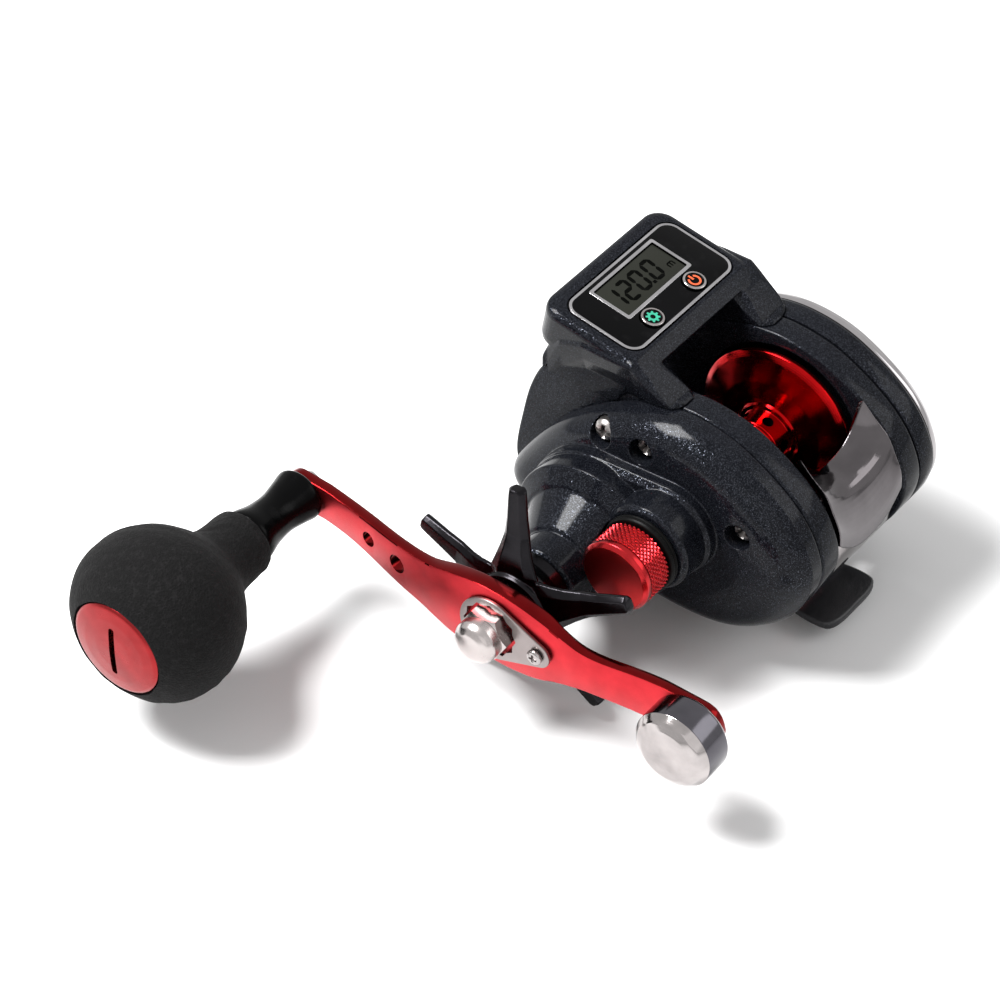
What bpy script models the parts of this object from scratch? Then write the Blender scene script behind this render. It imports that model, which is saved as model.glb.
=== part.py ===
"""Digital baitcasting reel, left-hand wind, built piece by piece.

X points to the palm side, -X to the handle, +Y forward to the line guide and +Z up.
The origin is the middle of the flat face under the reel foot. Lengths are in metres.
Inside the file, places are taken from the spool's middle, and one empty lifts them to the foot.
Distances called "out" run along -X on the handle side and along +X on the palm side.
"""
import math

import bmesh
import bpy
from mathutils import Matrix, Vector

# Overall sizes
SPOOL_HEIGHT = 0.0290
GAP = 0.0003
CUT_OVERRUN = 0.0010
JOIN_OVERLAP = 0.0005

# Spool
SPOOL_RADIUS = 0.0180
SPOOL_HALF_WIDTH = 0.0110
SPOOL_RIM = 0.0011
SPOOL_HUB_RADIUS = 0.0060
SPOOL_HUB_HALF = 0.0044
SPOOL_CUP_RADIUS = 0.0122
SPOOL_CUP_DEPTH = 0.0030
LINE_HOLE_RADIUS = 0.0009
LINE_HOLE_DEPTH = 0.0012
SHAFT_RADIUS = 0.0020
SHAFT_END_RADIUS = 0.0012
SHAFT_SHOULDER = 0.0006
CROSS_PIN_RADIUS = 0.0004
CROSS_PIN_HALF = 0.0026

# Frame
FRAME_INNER = 0.0120
FRAME_SIDE = 0.0060
FRAME_BORE_CLEARANCE = 0.0006
PINION_OPENING = 0.0050
BODY_REACH_FRONT = 0.0460
BODY_REACH_BACK = 0.0300
BODY_RISE = 0.0212
BODY_DROP = 0.0260
COVER_REACH_FRONT = 0.0433
DECK_THICK = 0.0022
REAR_PILLAR_RADIUS = 0.0018
REAR_PILLAR_BACK = 0.0215
REAR_PILLAR_DROP = 0.0150

# Foot
FOOT_LENGTH = 0.0560
FOOT_WIDTH = 0.0180
FOOT_THICK = 0.0020
FOOT_CORNER = 0.0030
FOOT_WAIST = 0.0130
FOOT_PAD_LENGTH = 0.0240
FOOT_RIVET_SPREAD = 0.0160
FOOT_RIVET_RADIUS = 0.0014
FOOT_RIVET_HEAD = 0.0024
FOOT_RIVET_HEAD_HEIGHT = 0.0008

# Gears and clutch
MODULE = 0.00049
DRIVE_TEETH = 63
PINION_TEETH = 10
DRIVE_ANGLE = math.radians(-27.4)
TOOTH_RISE = 0.00034
TOOTH_FALL = 0.00052
GEAR_FACE = 0.0032
GEAR_WEB = 0.0016
GEAR_HUB_DEPTH = 0.0071
GEAR_HUB_RADIUS = 0.0118
GEAR_CUP_RADIUS = 0.0106
PINION_FLANGE_START = 0.0029
PINION_FLANGE_RADIUS = 0.0036
PINION_FLANGE_THICK = 0.0020
PINION_SLOT_DEPTH = 0.0014
PINION_SLOT_HALF = 0.0008
PINION_NECK_RADIUS = 0.0019
PINION_NECK_LENGTH = 0.0020
PINION_TOOTH_LENGTH = 0.0065
YOKE_THICK = 0.0014
YOKE_HALF_SPAN = 0.0089
YOKE_POST_PLACE = 0.0069
YOKE_BACK = 0.0040
YOKE_FRONT = 0.0012
YOKE_TRAVEL = 0.0020
POST_RADIUS = 0.0010
POST_LENGTH = 0.0107
SPRING_WIRE = 0.00022
SPRING_RADIUS = 0.0018
SPRING_LENGTH = 0.0038
SPRING_TURNS = 4
CLUTCH_PLATE_THICK = 0.0011
CLUTCH_PLATE_HALF = 0.0024
CLUTCH_FORK_SHARE = 0.75
THUMB_TRAVEL = 0.0030
THUMB_SLIDE_ANGLE = math.radians(30)
CLUTCH_ARM_HALF = 0.0009

# Level wind
WORM_MODULE = 0.000571
WORM_DRIVER_TEETH = 36
WORM_TEETH = 20
WORM_GEAR_STANDOFF = 0.0012
WORM_GEAR_FACE = 0.0019
WORM_RADIUS = 0.0028
WORM_JOURNAL = 0.0016
WORM_GROOVE = 0.0004
WORM_GROOVE_PITCH = 0.0036
GUIDE_BLOCK_HALF = 0.0034
GUIDE_BLOCK_WALL = 0.0016
GUIDE_PLATE_HALF = 0.0050
GUIDE_PLATE_FRONT = 0.0046
GUIDE_PLATE_THICK = 0.0026
GUIDE_EYE_RISE = 0.0125
GUIDE_EYE_HALF = 0.0035
GUIDE_EYE_HEIGHT = 0.0104
GUIDE_INSERT_WALL = 0.0007
GUIDE_TOP = 0.0203
GUIDE_RAIL_WALL = 0.0009
RAIL_RADIUS = 0.0010
RAIL_RISE = 0.0203
RAIL_SEAT = 0.0030
PAWL_RADIUS = 0.0012
PAWL_LENGTH = 0.0022

# Drive shaft stack
DRIVE_SHAFT_RADIUS = 0.0030
DRIVE_JOURNAL_RADIUS = 0.0021
DRIVE_THREAD_RADIUS = 0.0024
DRIVE_THREAD_LENGTH = 0.0048
DRIVE_BEARING_RADIUS = 0.0042
DRIVE_BEARING_LENGTH = 0.0040
RATCHET_RADIUS = 0.0085
RATCHET_THICK = 0.0012
RATCHET_TEETH = 8
SHAFT_FLANGE_RADIUS = 0.0080
SHAFT_FLANGE_THICK = 0.0010
BRAKE_DISC_THICK = 0.0008
DRAG_DISC_THICK = 0.0017
PRESSURE_THICK = 0.0040
SLEEVE_RADIUS = 0.0039
ONE_WAY_RADIUS = 0.0067
ONE_WAY_LENGTH = 0.0080
SPRING_WASHER_RADIUS = 0.0056
SPRING_WASHER_THICK = 0.0010
SPRING_WASHER_CONE = 0.0015

# Gear side cover
COVER_WALL = 0.0014
COVER_RIM_DEPTH = 0.0035
COVER_DOME = 0.0054
PLATEAU_OUT = 0.0306
PLATEAU_RADIUS = 0.0105
PLATEAU_CHAMFER = 0.0010
TUB_CLEARANCE = 0.0004
TUB_END_CLEARANCE = 0.0007
TUB_CHAMFER = 0.0015
TUBE_RADIUS = 0.0083
TUBE_LENGTH = 0.0068
TUBE_LIP = 0.0008
COLLAR_RADIUS = 0.0098
COLLAR_OUT = 0.0370
COLLAR_CHAMFER = 0.0008
KNOB_ROOM = 0.0005
NECK_RADIUS = 0.0064
NECK_LENGTH = 0.0050
COVER_SCREW_RADIUS = 0.0010
COVER_SCREW_HEAD = 0.0021
COVER_SCREW_HEAD_HEIGHT = 0.0013
COVER_SCREW_GRIP = 0.0040
COVER_BOSS_WALL = 0.0007
DRIVER_SLOT = 0.0005
DRIVER_SLOT_DEPTH = 0.0005

# Bearings and tension knob
BEARING_RADIUS = 0.0037
BEARING_LENGTH = 0.0025
BEARING_GROOVE = 0.0003
TENSION_BEARING_OUT = 0.0342
TENSION_PLUNGER_RADIUS = 0.0028
TENSION_KNOB_RADIUS = 0.0080
TENSION_KNOB_LENGTH = 0.0080
TENSION_KNOB_CHAMFER = 0.0008
TENSION_KNOB_GROOVE = 0.0004
TENSION_KNOB_LAND = 0.0016
TENSION_KNOB_FACE = 0.0030
O_RING_RADIUS = 0.0086
O_RING_THICK = 0.0020

# Palm side
PALM_RIM_DEPTH = 0.0047
PALM_FACE_DEPTH = 0.0053
PALM_DRUM_DEPTH = 0.0030
PALM_WALL = 0.0014
PALM_BOSS_RADIUS = 0.0052
PALM_BOSS_REACH = 0.0040
PALM_CAP_DOME = 0.0056
MAGNET_RING_RADIUS = 0.0116
MAGNET_RING_THICK = 0.0014
MAGNET_RADIUS = 0.0017
MAGNET_PROUD = 0.0003
MAGNET_COUNT = 6
BRAKE_DIAL_RADIUS = 0.0090
BRAKE_DIAL_THICK = 0.0030
BRAKE_DIAL_PROUD = 0.0012
BRAKE_DIAL_SEAT = 0.0026
BRAKE_DIAL_NOTCH = 0.0004

# Counter housing, with the display's slope
DISPLAY_SLOPE = math.radians(10.8)
DISPLAY_FORWARD = 0.02815
DISPLAY_RISE = 0.03115
HOUSING_HALF_WIDTH = 0.0205
HOUSING_HALF_FOOT = 0.0186
HOUSING_FRONT = 0.0106
HOUSING_BACK = 0.0165
HOUSING_HEIGHT = 0.0118
HOUSING_LEAN = 0.0030
HOUSING_WALL = 0.0016
HOUSING_ROUND = 0.0022
SHOULDER_ROUND = 0.0010
PANEL_HALF_WIDTH = 0.0180
PANEL_FRONT = 0.0080
PANEL_BACK = 0.0130
PANEL_THICK = 0.0008
PANEL_CORNER = 0.0035
WINDOW_HALF_WIDTH = 0.0108
WINDOW_HALF_HEIGHT = 0.0051
LCD_MARGIN = 0.0003
LCD_THICK = 0.0020
BUTTON_RADIUS = 0.0025
BUTTON_SPREAD = 0.0073
BUTTON_BACK = 0.0083
BUTTON_PROUD = 0.0006
BUTTON_TRAVEL = 0.0005
BOARD_THICK = 0.0010
BOARD_HALF_WIDTH = 0.0165
BOARD_FRONT = 0.0058
BOARD_BACK = 0.0110
COUNTER_BASE_THICK = 0.0012
BATTERY_RADIUS = 0.00395
BATTERY_THICK = 0.0021
BATTERY_DROP = 0.00625
BATTERY_CAP_RADIUS = 0.0045
BATTERY_CAP_SLOT = 0.0010

# Thumb bar and rear cover
THUMB_HALF_WIDTH = 0.0114
THUMB_THICK = 0.0020
THUMB_HORN_RISE = 0.0155
THUMB_SADDLE = 0.0085
THUMB_BACK = 0.0190
THUMB_LIP_BACK = 0.0282
THUMB_LIP_RISE = 0.0018
THUMB_EDGE_RISE = 0.0064
THUMB_EDGE_BACK = 0.0252
THUMB_EDGE_END_RISE = 0.0031
THUMB_LEG_BACK = 0.0232
THUMB_LEG_WIDTH = 0.0015
THUMB_LEG_DEPTH = 0.0030
THUMB_PEG_TOP = 0.0020
THUMB_PEG_BOTTOM = 0.0030
THUMB_PEG_REACH = 0.0010
REAR_COVER_THICK = 0.0016

# Star drag
STAR_HUB_RADIUS = 0.0092
STAR_HUB_LENGTH = 0.0060
STAR_RADIUS = 0.0270
STAR_PRONGS = 5
STAR_FIRST = math.radians(12)
STAR_CURVE = 0.0040
STAR_THICK = 0.0024
STAR_ROOT_HALF = 0.0046
STAR_TIP_HALF = 0.0022

# Handle
SPACER_RADIUS = 0.0046
SPACER_LENGTH = 0.0016
ARM_BOSS_THICK = 0.0035
ARM_THICK = 0.0026
ARM_LONG = 0.0533
ARM_SHORT = 0.0465
ARM_ANGLE = math.radians(2.6)
ARM_SWEEP = 0.0054
ARM_SWEEP_SHORT = 0.0027
ARM_FLAT_LONG = 0.0160
ARM_FLAT_SHORT = 0.0190
ARM_BOSS_HALF = 0.0093
ARM_EDGE = 0.0004
ARM_HOLE_NEAR = 0.0254
ARM_HOLE_FAR = 0.0342
ARM_HOLE_NEAR_RADIUS = 0.0021
ARM_HOLE_FAR_RADIUS = 0.0017
RETAINER_THICK = 0.0008
RETAINER_RADIUS = 0.0074
RETAINER_TAIL = 0.0030
RETAINER_SCREW_PLACE = 0.0114
RETAINER_TEETH = 12
NUT_RADIUS = 0.0052
NUT_HEX_HEIGHT = 0.0034
NUT_DOME_HEIGHT = 0.0044
SMALL_SCREW_RADIUS = 0.0009
SMALL_SCREW_HEAD = 0.0017
SMALL_SCREW_HEAD_HEIGHT = 0.0010
KNOB_POST_RADIUS = 0.0020
KNOB_POST_HEAD = 0.0030
KNOB_POST_LENGTH = 0.0440
KNOB_SLEEVE_LENGTH = 0.0170
KNOB_SLEEVE_RADIUS = 0.0058
KNOB_CORE_RADIUS = 0.0046
KNOB_CORE_LENGTH = 0.0320
KNOB_BUSH_LENGTH = 0.0040
KNOB_RELIEF = 0.0008
GRIP_LENGTH = 0.0393
GRIP_RADIUS = 0.0183
KNOB_CAP_RADIUS = 0.0107
KNOB_CAP_THICK = 0.0020
KNOB_CAP_DOME = 0.0012
KNOB_CAP_SLOT = 0.0012
KNOB_CAP_SLOT_LENGTH = 0.0120
WEIGHT_RADIUS = 0.0086
WEIGHT_LENGTH = 0.0104
WEIGHT_DOME = 0.0030
WEIGHT_RIVET_RADIUS = 0.0018
WEIGHT_RIVET_HEAD = 0.0030
WEIGHT_RIVET_HEIGHT = 0.0012

# Outlines as shares: (forward or back reach, rise or drop)
COVER_OUTLINE_SHARES = (
    (-1.000, -0.135), (-0.930, 0.190), (-0.780, 0.480), (-0.560, 0.720), (-0.270, 0.925),
    (0.020, 1.000), (0.210, 0.962), (0.395, 0.811), (0.580, 0.575), (0.755, 0.259),
    (0.890, -0.077), (1.000, -0.404), (0.970, -0.577), (0.808, -0.750), (0.554, -0.885),
    (0.231, -0.969), (-0.133, -1.000), (-0.467, -0.938), (-0.733, -0.738), (-0.920, -0.462))
FRAME_OUTLINE_SHARES = (
    (-1.000, -0.135), (-0.930, 0.190), (-0.780, 0.480), (-0.560, 0.720), (-0.270, 0.925),
    (0.020, 1.000), (0.180, 0.972), (0.360, 0.868), (0.540, 0.821), (0.740, 0.792),
    (0.850, 0.700), (0.920, 0.400), (0.965, 0.000), (1.000, -0.404), (0.960, -0.577),
    (0.790, -0.760), (0.540, -0.885), (0.225, -0.969), (-0.133, -1.000), (-0.467, -0.938),
    (-0.733, -0.738), (-0.920, -0.462))
DECK_SHARES = ((-0.50, -0.880), (-0.40, -0.977), (0.26, -0.977), (0.540, -0.860), (0.790, -0.730),
               (0.940, -0.560))
GRIP_PROFILE_SHARES = (
    (0.000, 0.360), (0.030, 0.400), (0.110, 0.412), (0.220, 0.425), (0.290, 0.500),
    (0.370, 0.680), (0.470, 0.860), (0.590, 0.975), (0.700, 1.000), (0.810, 0.960),
    (0.910, 0.840), (0.975, 0.690), (1.000, 0.610))
SLEEVE_PROFILE_SHARES = ((0.00, 0.97), (0.06, 1.00), (0.22, 0.90), (0.45, 0.80), (0.70, 0.86),
                         (0.92, 1.02), (1.00, 1.03))
PRONG_SHARES = ((0.17, 1.00), (0.30, 0.90), (0.50, 0.71), (0.72, 0.58), (0.90, 0.50), (0.97, 0.38),
                (1.00, 0.19))
ARM_WIDTH_SHARES = ((-0.518, 0.24), (-0.505, 0.40), (-0.485, 0.51), (-0.460, 0.55), (-0.360, 0.53),
                    (-0.235, 0.48), (-0.175, 0.62), (-0.110, 0.88), (-0.050, 0.98), (0.000, 1.00),
                    (0.049, 0.98), (0.108, 0.86), (0.177, 0.66), (0.255, 0.56), (0.393, 0.45),
                    (0.474, 0.44), (0.534, 0.46), (0.560, 0.40), (0.579, 0.22))

SMALL_ROUND = 8
MID_ROUND = 14
LARGE_ROUND = 24
BEARING_SIDES = 10
LEFT = -1
RIGHT = 1

# Sizes that follow from the ones above
SIDE_FACE = FRAME_INNER + FRAME_SIDE
COVER_SEAT = SIDE_FACE + GAP
CENTRE_DISTANCE = MODULE * (DRIVE_TEETH + PINION_TEETH) / 2
DRIVE_AXIS = Vector((0, CENTRE_DISTANCE * math.cos(DRIVE_ANGLE), CENTRE_DISTANCE * math.sin(DRIVE_ANGLE)))
WORM_DISTANCE = WORM_MODULE * (WORM_DRIVER_TEETH + WORM_TEETH) / 2
WORM_AXIS = DRIVE_AXIS + Vector((0, WORM_DISTANCE, 0))
SPOOL_AXIS = Vector((0, 0, 0))
TOWARD_DRIVE = Vector((0, math.cos(DRIVE_ANGLE), math.sin(DRIVE_ANGLE)))
ACROSS_DRIVE = Vector((0, -math.sin(DRIVE_ANGLE), math.cos(DRIVE_ANGLE)))
GEAR_TIP_RADIUS = MODULE * DRIVE_TEETH / 2 + TOOTH_RISE
FRAME_BORE = SPOOL_RADIUS + FRAME_BORE_CLEARANCE

WORM_GEAR_OUT = SIDE_FACE + WORM_GEAR_STANDOFF
RATCHET_OUT = WORM_GEAR_OUT + WORM_GEAR_FACE + GAP
FLANGE_OUT = RATCHET_OUT + RATCHET_THICK + GAP
BRAKE_DISC_OUT = FLANGE_OUT + SHAFT_FLANGE_THICK + GAP
GEAR_OUT = BRAKE_DISC_OUT + BRAKE_DISC_THICK + GAP
DRAG_OUT = GEAR_OUT + GEAR_WEB + GAP
PRESSURE_OUT = DRAG_OUT + DRAG_DISC_THICK + GAP
SLEEVE_OUT = PRESSURE_OUT + PRESSURE_THICK + GAP
TUB_INNER = GEAR_TIP_RADIUS + TUB_CLEARANCE
TUB_RADIUS = TUB_INNER + COVER_WALL
TUB_FLOOR = SLEEVE_OUT + TUB_END_CLEARANCE
TUB_OUT = TUB_FLOOR + COVER_WALL
ONE_WAY_SEAT = ONE_WAY_RADIUS + GAP
TUBE_START = TUB_OUT + TUBE_RADIUS
TUBE_OUT = TUBE_START + TUBE_LENGTH
ONE_WAY_OUT = TUBE_OUT - TUBE_LIP - GAP - ONE_WAY_LENGTH
SLEEVE_END = TUBE_OUT + GAP
SPRING_WASHER_OUT = SLEEVE_END + GAP
STAR_OUT = SPRING_WASHER_OUT + SPRING_WASHER_THICK + SPRING_WASHER_CONE + GAP
SPACER_OUT = STAR_OUT + STAR_HUB_LENGTH + GAP
ARM_OUT = SPACER_OUT + SPACER_LENGTH + GAP
ARM_FACE = ARM_OUT + ARM_BOSS_THICK
RETAINER_OUT = ARM_FACE + GAP
ARM_DIRECTION = Vector((0, math.cos(ARM_ANGLE), math.sin(ARM_ANGLE)))
ARM_ACROSS = Vector((0, -math.sin(ARM_ANGLE), math.cos(ARM_ANGLE)))
ARM_SPAN = ARM_LONG + ARM_SHORT
KNOB_AXIS = DRIVE_AXIS + ARM_LONG * ARM_DIRECTION
WEIGHT_AXIS = DRIVE_AXIS - ARM_SHORT * ARM_DIRECTION
ARM_END_FACE = ARM_FACE - ARM_SWEEP - (ARM_BOSS_THICK - ARM_THICK) / 2
ARM_END_BACK = ARM_END_FACE - ARM_THICK
WEIGHT_SEAT = ARM_FACE - ARM_SWEEP_SHORT - (ARM_BOSS_THICK - ARM_THICK) / 2
WEIGHT_BACK = WEIGHT_SEAT - ARM_THICK
KNOB_OUT = ARM_END_FACE + GAP
GRIP_OUT = KNOB_OUT + KNOB_SLEEVE_LENGTH + GAP

PINION_OUT = SIDE_FACE + PINION_FLANGE_START
PINION_NECK_OUT = PINION_OUT + PINION_FLANGE_THICK
PINION_TEETH_OUT = PINION_NECK_OUT + PINION_NECK_LENGTH
YOKE_OUT = PINION_NECK_OUT + (PINION_NECK_LENGTH - YOKE_THICK) / 2
CROSS_PIN_OUT = PINION_OUT + PINION_SLOT_DEPTH / 2
TENSION_KNOB_OUT = COLLAR_OUT + GAP + O_RING_THICK + GAP
SPOOL_SHAFT_END = TENSION_BEARING_OUT + BEARING_LENGTH + BEARING_LENGTH / 2

DISPLAY_CENTRE = Vector((0, DISPLAY_FORWARD, DISPLAY_RISE))
DISPLAY_FRAME = Matrix.Translation(DISPLAY_CENTRE) @ Matrix.Rotation(DISPLAY_SLOPE, 4, 'X')
FOOT_TOP = -SPOOL_HEIGHT + FOOT_THICK
THUMB_SLIDE = Vector((0, -math.sin(THUMB_SLIDE_ANGLE), -math.cos(THUMB_SLIDE_ANGLE)))
DECK_BOTTOM = -BODY_DROP + 2 * GAP


def clear_scene():
    """Remove what the scene holds before the model is made."""
    for item in list(bpy.data.objects):
        bpy.data.objects.remove(item, do_unlink=True)


def material(name, colour, roughness, metallic):
    """Make a plain Principled material."""
    made = bpy.data.materials.new(name)
    made.use_nodes = True
    shader = made.node_tree.nodes["Principled BSDF"]
    shader.inputs["Base Color"].default_value = (*colour, 1)
    shader.inputs["Roughness"].default_value = roughness
    shader.inputs["Metallic"].default_value = metallic
    return made


def finish_of(name):
    """Return the material that a finish name stands for, made once."""
    if name not in bpy.data.materials:
        material(name, *FINISHES[name])
    return bpy.data.materials[name]


FINISHES = {
    "sparkle_paint": ((0.020, 0.023, 0.030), 0.32, 0.55),
    "black_gloss": ((0.008, 0.008, 0.010), 0.12, 0.10),
    "black_satin": ((0.015, 0.015, 0.017), 0.40, 0.20),
    "red_anodised": ((0.480, 0.012, 0.015), 0.25, 0.95),
    "gunmetal_chrome": ((0.300, 0.290, 0.290), 0.10, 1.00),
    "polished_steel": ((0.700, 0.690, 0.670), 0.12, 1.00),
    "satin_steel": ((0.520, 0.520, 0.510), 0.35, 1.00),
    "brass": ((0.560, 0.400, 0.160), 0.28, 1.00),
    "carbon": ((0.030, 0.030, 0.030), 0.70, 0.00),
    "foam": ((0.013, 0.013, 0.014), 0.95, 0.00),
    "white_plastic": ((0.700, 0.700, 0.680), 0.45, 0.00),
    "display_glass": ((0.230, 0.260, 0.230), 0.20, 0.00),
    "green_board": ((0.020, 0.120, 0.050), 0.45, 0.00),
    "button_orange": ((0.350, 0.060, 0.020), 0.30, 0.30),
    "button_green": ((0.020, 0.200, 0.110), 0.30, 0.30),
    "magnet_nickel": ((0.450, 0.440, 0.430), 0.30, 1.00),
}


def object_from(name, mesh_maker, finish):
    """Turn a bmesh into a named object under the reel's empty."""
    bmesh.ops.recalc_face_normals(mesh_maker, faces=mesh_maker.faces[:])
    mesh = bpy.data.meshes.new(name)
    mesh_maker.to_mesh(mesh)
    mesh_maker.free()
    made = bpy.data.objects.new(name, mesh)
    bpy.context.collection.objects.link(made)
    mesh.materials.append(finish_of(finish))
    mesh.shade_smooth()
    mesh.set_sharp_from_angle(angle=math.radians(35))
    return made


def loft(rings, closed=False):
    """Join rings of equal point counts into one closed body."""
    body = bmesh.new()
    rows = [[body.verts.new(point) for point in ring] for ring in rings]
    count = len(rows[0])
    pairs = list(zip(rows, rows[1:]))
    if closed:
        pairs.append((rows[-1], rows[0]))
    for first, second in pairs:
        for i in range(count):
            j = (i + 1) % count
            body.faces.new((first[i], first[j], second[j], second[i]))
    if not closed:
        body.faces.new(rows[0])
        body.faces.new(rows[-1])
    return body


def turned(name, axis, side, profile, finish, sides=MID_ROUND):
    """Turn a closed (out, radius) profile about an axis along X.

    Points on the axis have radius zero and close the body there.
    """
    body = bmesh.new()
    rows = []
    for out, radius in profile:
        if radius == 0:
            rows.append([body.verts.new((side * out, axis.y, axis.z))])
            continue
        rows.append([body.verts.new((side * out, axis.y + radius * math.cos(2 * math.pi * i / sides),
                                     axis.z + radius * math.sin(2 * math.pi * i / sides)))
                     for i in range(sides)])
    pairs = list(zip(rows, rows[1:] + rows[:1]))
    for first, second in pairs:
        for i in range(sides):
            j = (i + 1) % sides
            if len(first) == 1 and len(second) == 1:
                break
            if len(first) == 1:
                body.faces.new((first[0], second[j], second[i]))
            elif len(second) == 1:
                body.faces.new((first[i], first[j], second[0]))
            else:
                body.faces.new((first[i], first[j], second[j], second[i]))
    return object_from(name, body, finish)


def ring_profile(start, end, outer, inner):
    """Profile of a plain ring."""
    return [(start, outer), (end, outer), (end, inner), (start, inner)]


def rod_profile(start, end, radius):
    """Profile of a plain solid rod."""
    return [(start, 0), (start, radius), (end, radius), (end, 0)]


def rod(name, axis, side, start, end, radius, finish="satin_steel", sides=MID_ROUND):
    """Plain rod along X."""
    return turned(name, axis, side, rod_profile(start, end, radius), finish, sides)


def outline_body(name, outline, start, end, finish):
    """Extrude a (y, z) outline along X from start to end."""
    return object_from(name, loft([[(x, y, z) for y, z in outline] for x in (start, end)]), finish)


def block(name, low, high, finish="black_satin"):
    """Plain box between two corners."""
    ring = [(low[0], low[1]), (high[0], low[1]), (high[0], high[1]), (low[0], high[1])]
    return object_from(name, loft([[(x, y, z) for x, y in ring] for z in (low[2], high[2])]), finish)


def evaluated(target):
    """Replace an object's mesh by what its modifiers give."""
    graph = bpy.context.evaluated_depsgraph_get()
    made = bpy.data.meshes.new_from_object(target.evaluated_get(graph))
    target.modifiers.clear()
    target.data = made


def combine(target, tools, operation):
    """Apply boolean steps with the given tools, which are then removed."""
    for tool in tools:
        step = target.modifiers.new(operation.lower(), 'BOOLEAN')
        step.operation = operation
        step.solver = 'EXACT'
        step.object = tool
        bpy.context.view_layer.update()
        evaluated(target)
        bpy.data.objects.remove(tool, do_unlink=True)
    while len(target.data.materials) > 1:
        target.data.materials.pop()
    for face in target.data.polygons:
        face.material_index = 0
    target.data.shade_smooth()
    target.data.set_sharp_from_angle(angle=math.radians(35))
    return target


def cut(target, *tools):
    """Take the tools out of the target."""
    return combine(target, tools, 'DIFFERENCE')


def fuse(target, *tools):
    """Join the tools to the target."""
    return combine(target, tools, 'UNION')


def bevelled(target, width, segments=1, angle=math.radians(40)):
    """Round or chamfer the sharp edges of an object."""
    step = target.modifiers.new("round", 'BEVEL')
    step.width = width
    step.segments = segments
    step.limit_method = 'ANGLE'
    step.angle_limit = angle
    bpy.context.view_layer.update()
    evaluated(target)
    target.data.shade_smooth()
    target.data.set_sharp_from_angle(angle=math.radians(35))
    return target


def smooth_loop(points, steps):
    """Closed curve through the points, with steps between each pair."""
    made = []
    count = len(points)
    for i in range(count):
        a, b, c, d = (Vector(points[(i + k) % count]) for k in (-1, 0, 1, 2))
        for k in range(steps):
            t = k / steps
            made.append(tuple(0.5 * (2 * b + (c - a) * t + (2 * a - 5 * b + 4 * c - d) * t * t
                                     + (3 * b - a - 3 * c + d) * t ** 3)))
    return made


def body_outline(shares, reach, steps=2):
    """Side outline from shares of the reach, rise and drop."""
    return smooth_loop([(y * (reach if y > 0 else BODY_REACH_BACK), z * (BODY_RISE if z > 0 else BODY_DROP))
                        for y, z in shares], steps)


def inset(outline, depth):
    """Move a closed outline inwards by a depth."""
    count = len(outline)
    area = sum(outline[i][0] * outline[(i + 1) % count][1] - outline[(i + 1) % count][0] * outline[i][1]
               for i in range(count))
    turn = 1 if area > 0 else -1
    made = []
    for i in range(count):
        along = Vector(outline[(i + 1) % count]) - Vector(outline[i - 1])
        inward = turn * Vector((-along.y, along.x)).normalized()
        made.append(tuple(Vector(outline[i]) + depth * inward))
    return made


def shrunk(outline, centre, share):
    """Scale an outline towards a centre."""
    return [(centre[0] + share * (y - centre[0]), centre[1] + share * (z - centre[1])) for y, z in outline]


def circle(centre, radius, sides):
    """Points of a circle in the side plane."""
    return [(centre[0] + radius * math.cos(2 * math.pi * i / sides),
             centre[1] + radius * math.sin(2 * math.pi * i / sides)) for i in range(sides)]


def arc(centre, radius, start, end, count):
    """Points of an arc, both ends included."""
    return [(centre[0] + radius * math.cos(start + (end - start) * i / count),
             centre[1] + radius * math.sin(start + (end - start) * i / count)) for i in range(count + 1)]


def belt(first, first_radius, second, second_radius, count):
    """Outline of two circles held by a tight belt."""
    span = Vector(second) - Vector(first)
    heading = math.atan2(span.y, span.x)
    tip = math.acos((first_radius - second_radius) / span.length)
    return (arc(second, second_radius, heading - tip, heading + tip, count)
            + arc(first, first_radius, heading + tip, heading + 2 * math.pi - tip, count))


def rounded_box(half_width, low, high, corner, count=4):
    """Outline of a rectangle with round corners, centred across."""
    corners = ((half_width - corner, high - corner, 0), (corner - half_width, high - corner, 1),
               (corner - half_width, low + corner, 2), (half_width - corner, low + corner, 3))
    made = []
    for x, y, quarter in corners:
        made += arc((x, y), corner, quarter * math.pi / 2, (quarter + 1) * math.pi / 2, count)
    return made


def display_plate(name, outline, top, bottom, finish):
    """Extrude an outline of the display's plane between two heights over it."""
    rings = [[DISPLAY_FRAME @ Vector((x, y, z)) for x, y in outline] for z in (top, bottom)]
    return object_from(name, loft(rings), finish)


def gear_outline(centre, teeth, module, rise, fall, phase):
    """Outline of a gear with straight-flanked teeth; phase is a tooth's own angle."""
    pitch = 2 * math.pi / teeth
    tip = module * teeth / 2 + rise
    root = module * teeth / 2 - fall
    flank_shares = ((-0.27, root), (-0.13, tip), (0.13, tip), (0.27, root))
    return [(centre.y + radius * math.cos(phase + (k + share) * pitch),
             centre.z + radius * math.sin(phase + (k + share) * pitch))
            for k in range(teeth) for share, radius in flank_shares]


def screw(name, place, side, head_out, head_height, head_radius, shank_radius, tip_out, finish):
    """Cross-recessed pan screw along X, with its head outwards."""
    top = head_out + head_height
    body = turned(name, place, side, [(tip_out, 0), (tip_out, shank_radius), (head_out, shank_radius),
                                      (head_out, head_radius), (top - head_height / 3, head_radius),
                                      (top, head_radius * 0.7), (top, 0)], finish, SMALL_ROUND)
    reach = head_radius * 0.62
    half = DRIVER_SLOT / 2
    floor = top - DRIVER_SLOT_DEPTH
    ends = sorted((side * floor, side * (top + CUT_OVERRUN)))
    for wide, tall in ((reach, half), (half, reach)):
        cut(body, block("slot", (ends[0], place.y - wide, place.z - tall),
                        (ends[1], place.y + wide, place.z + tall)))
    return body


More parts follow.
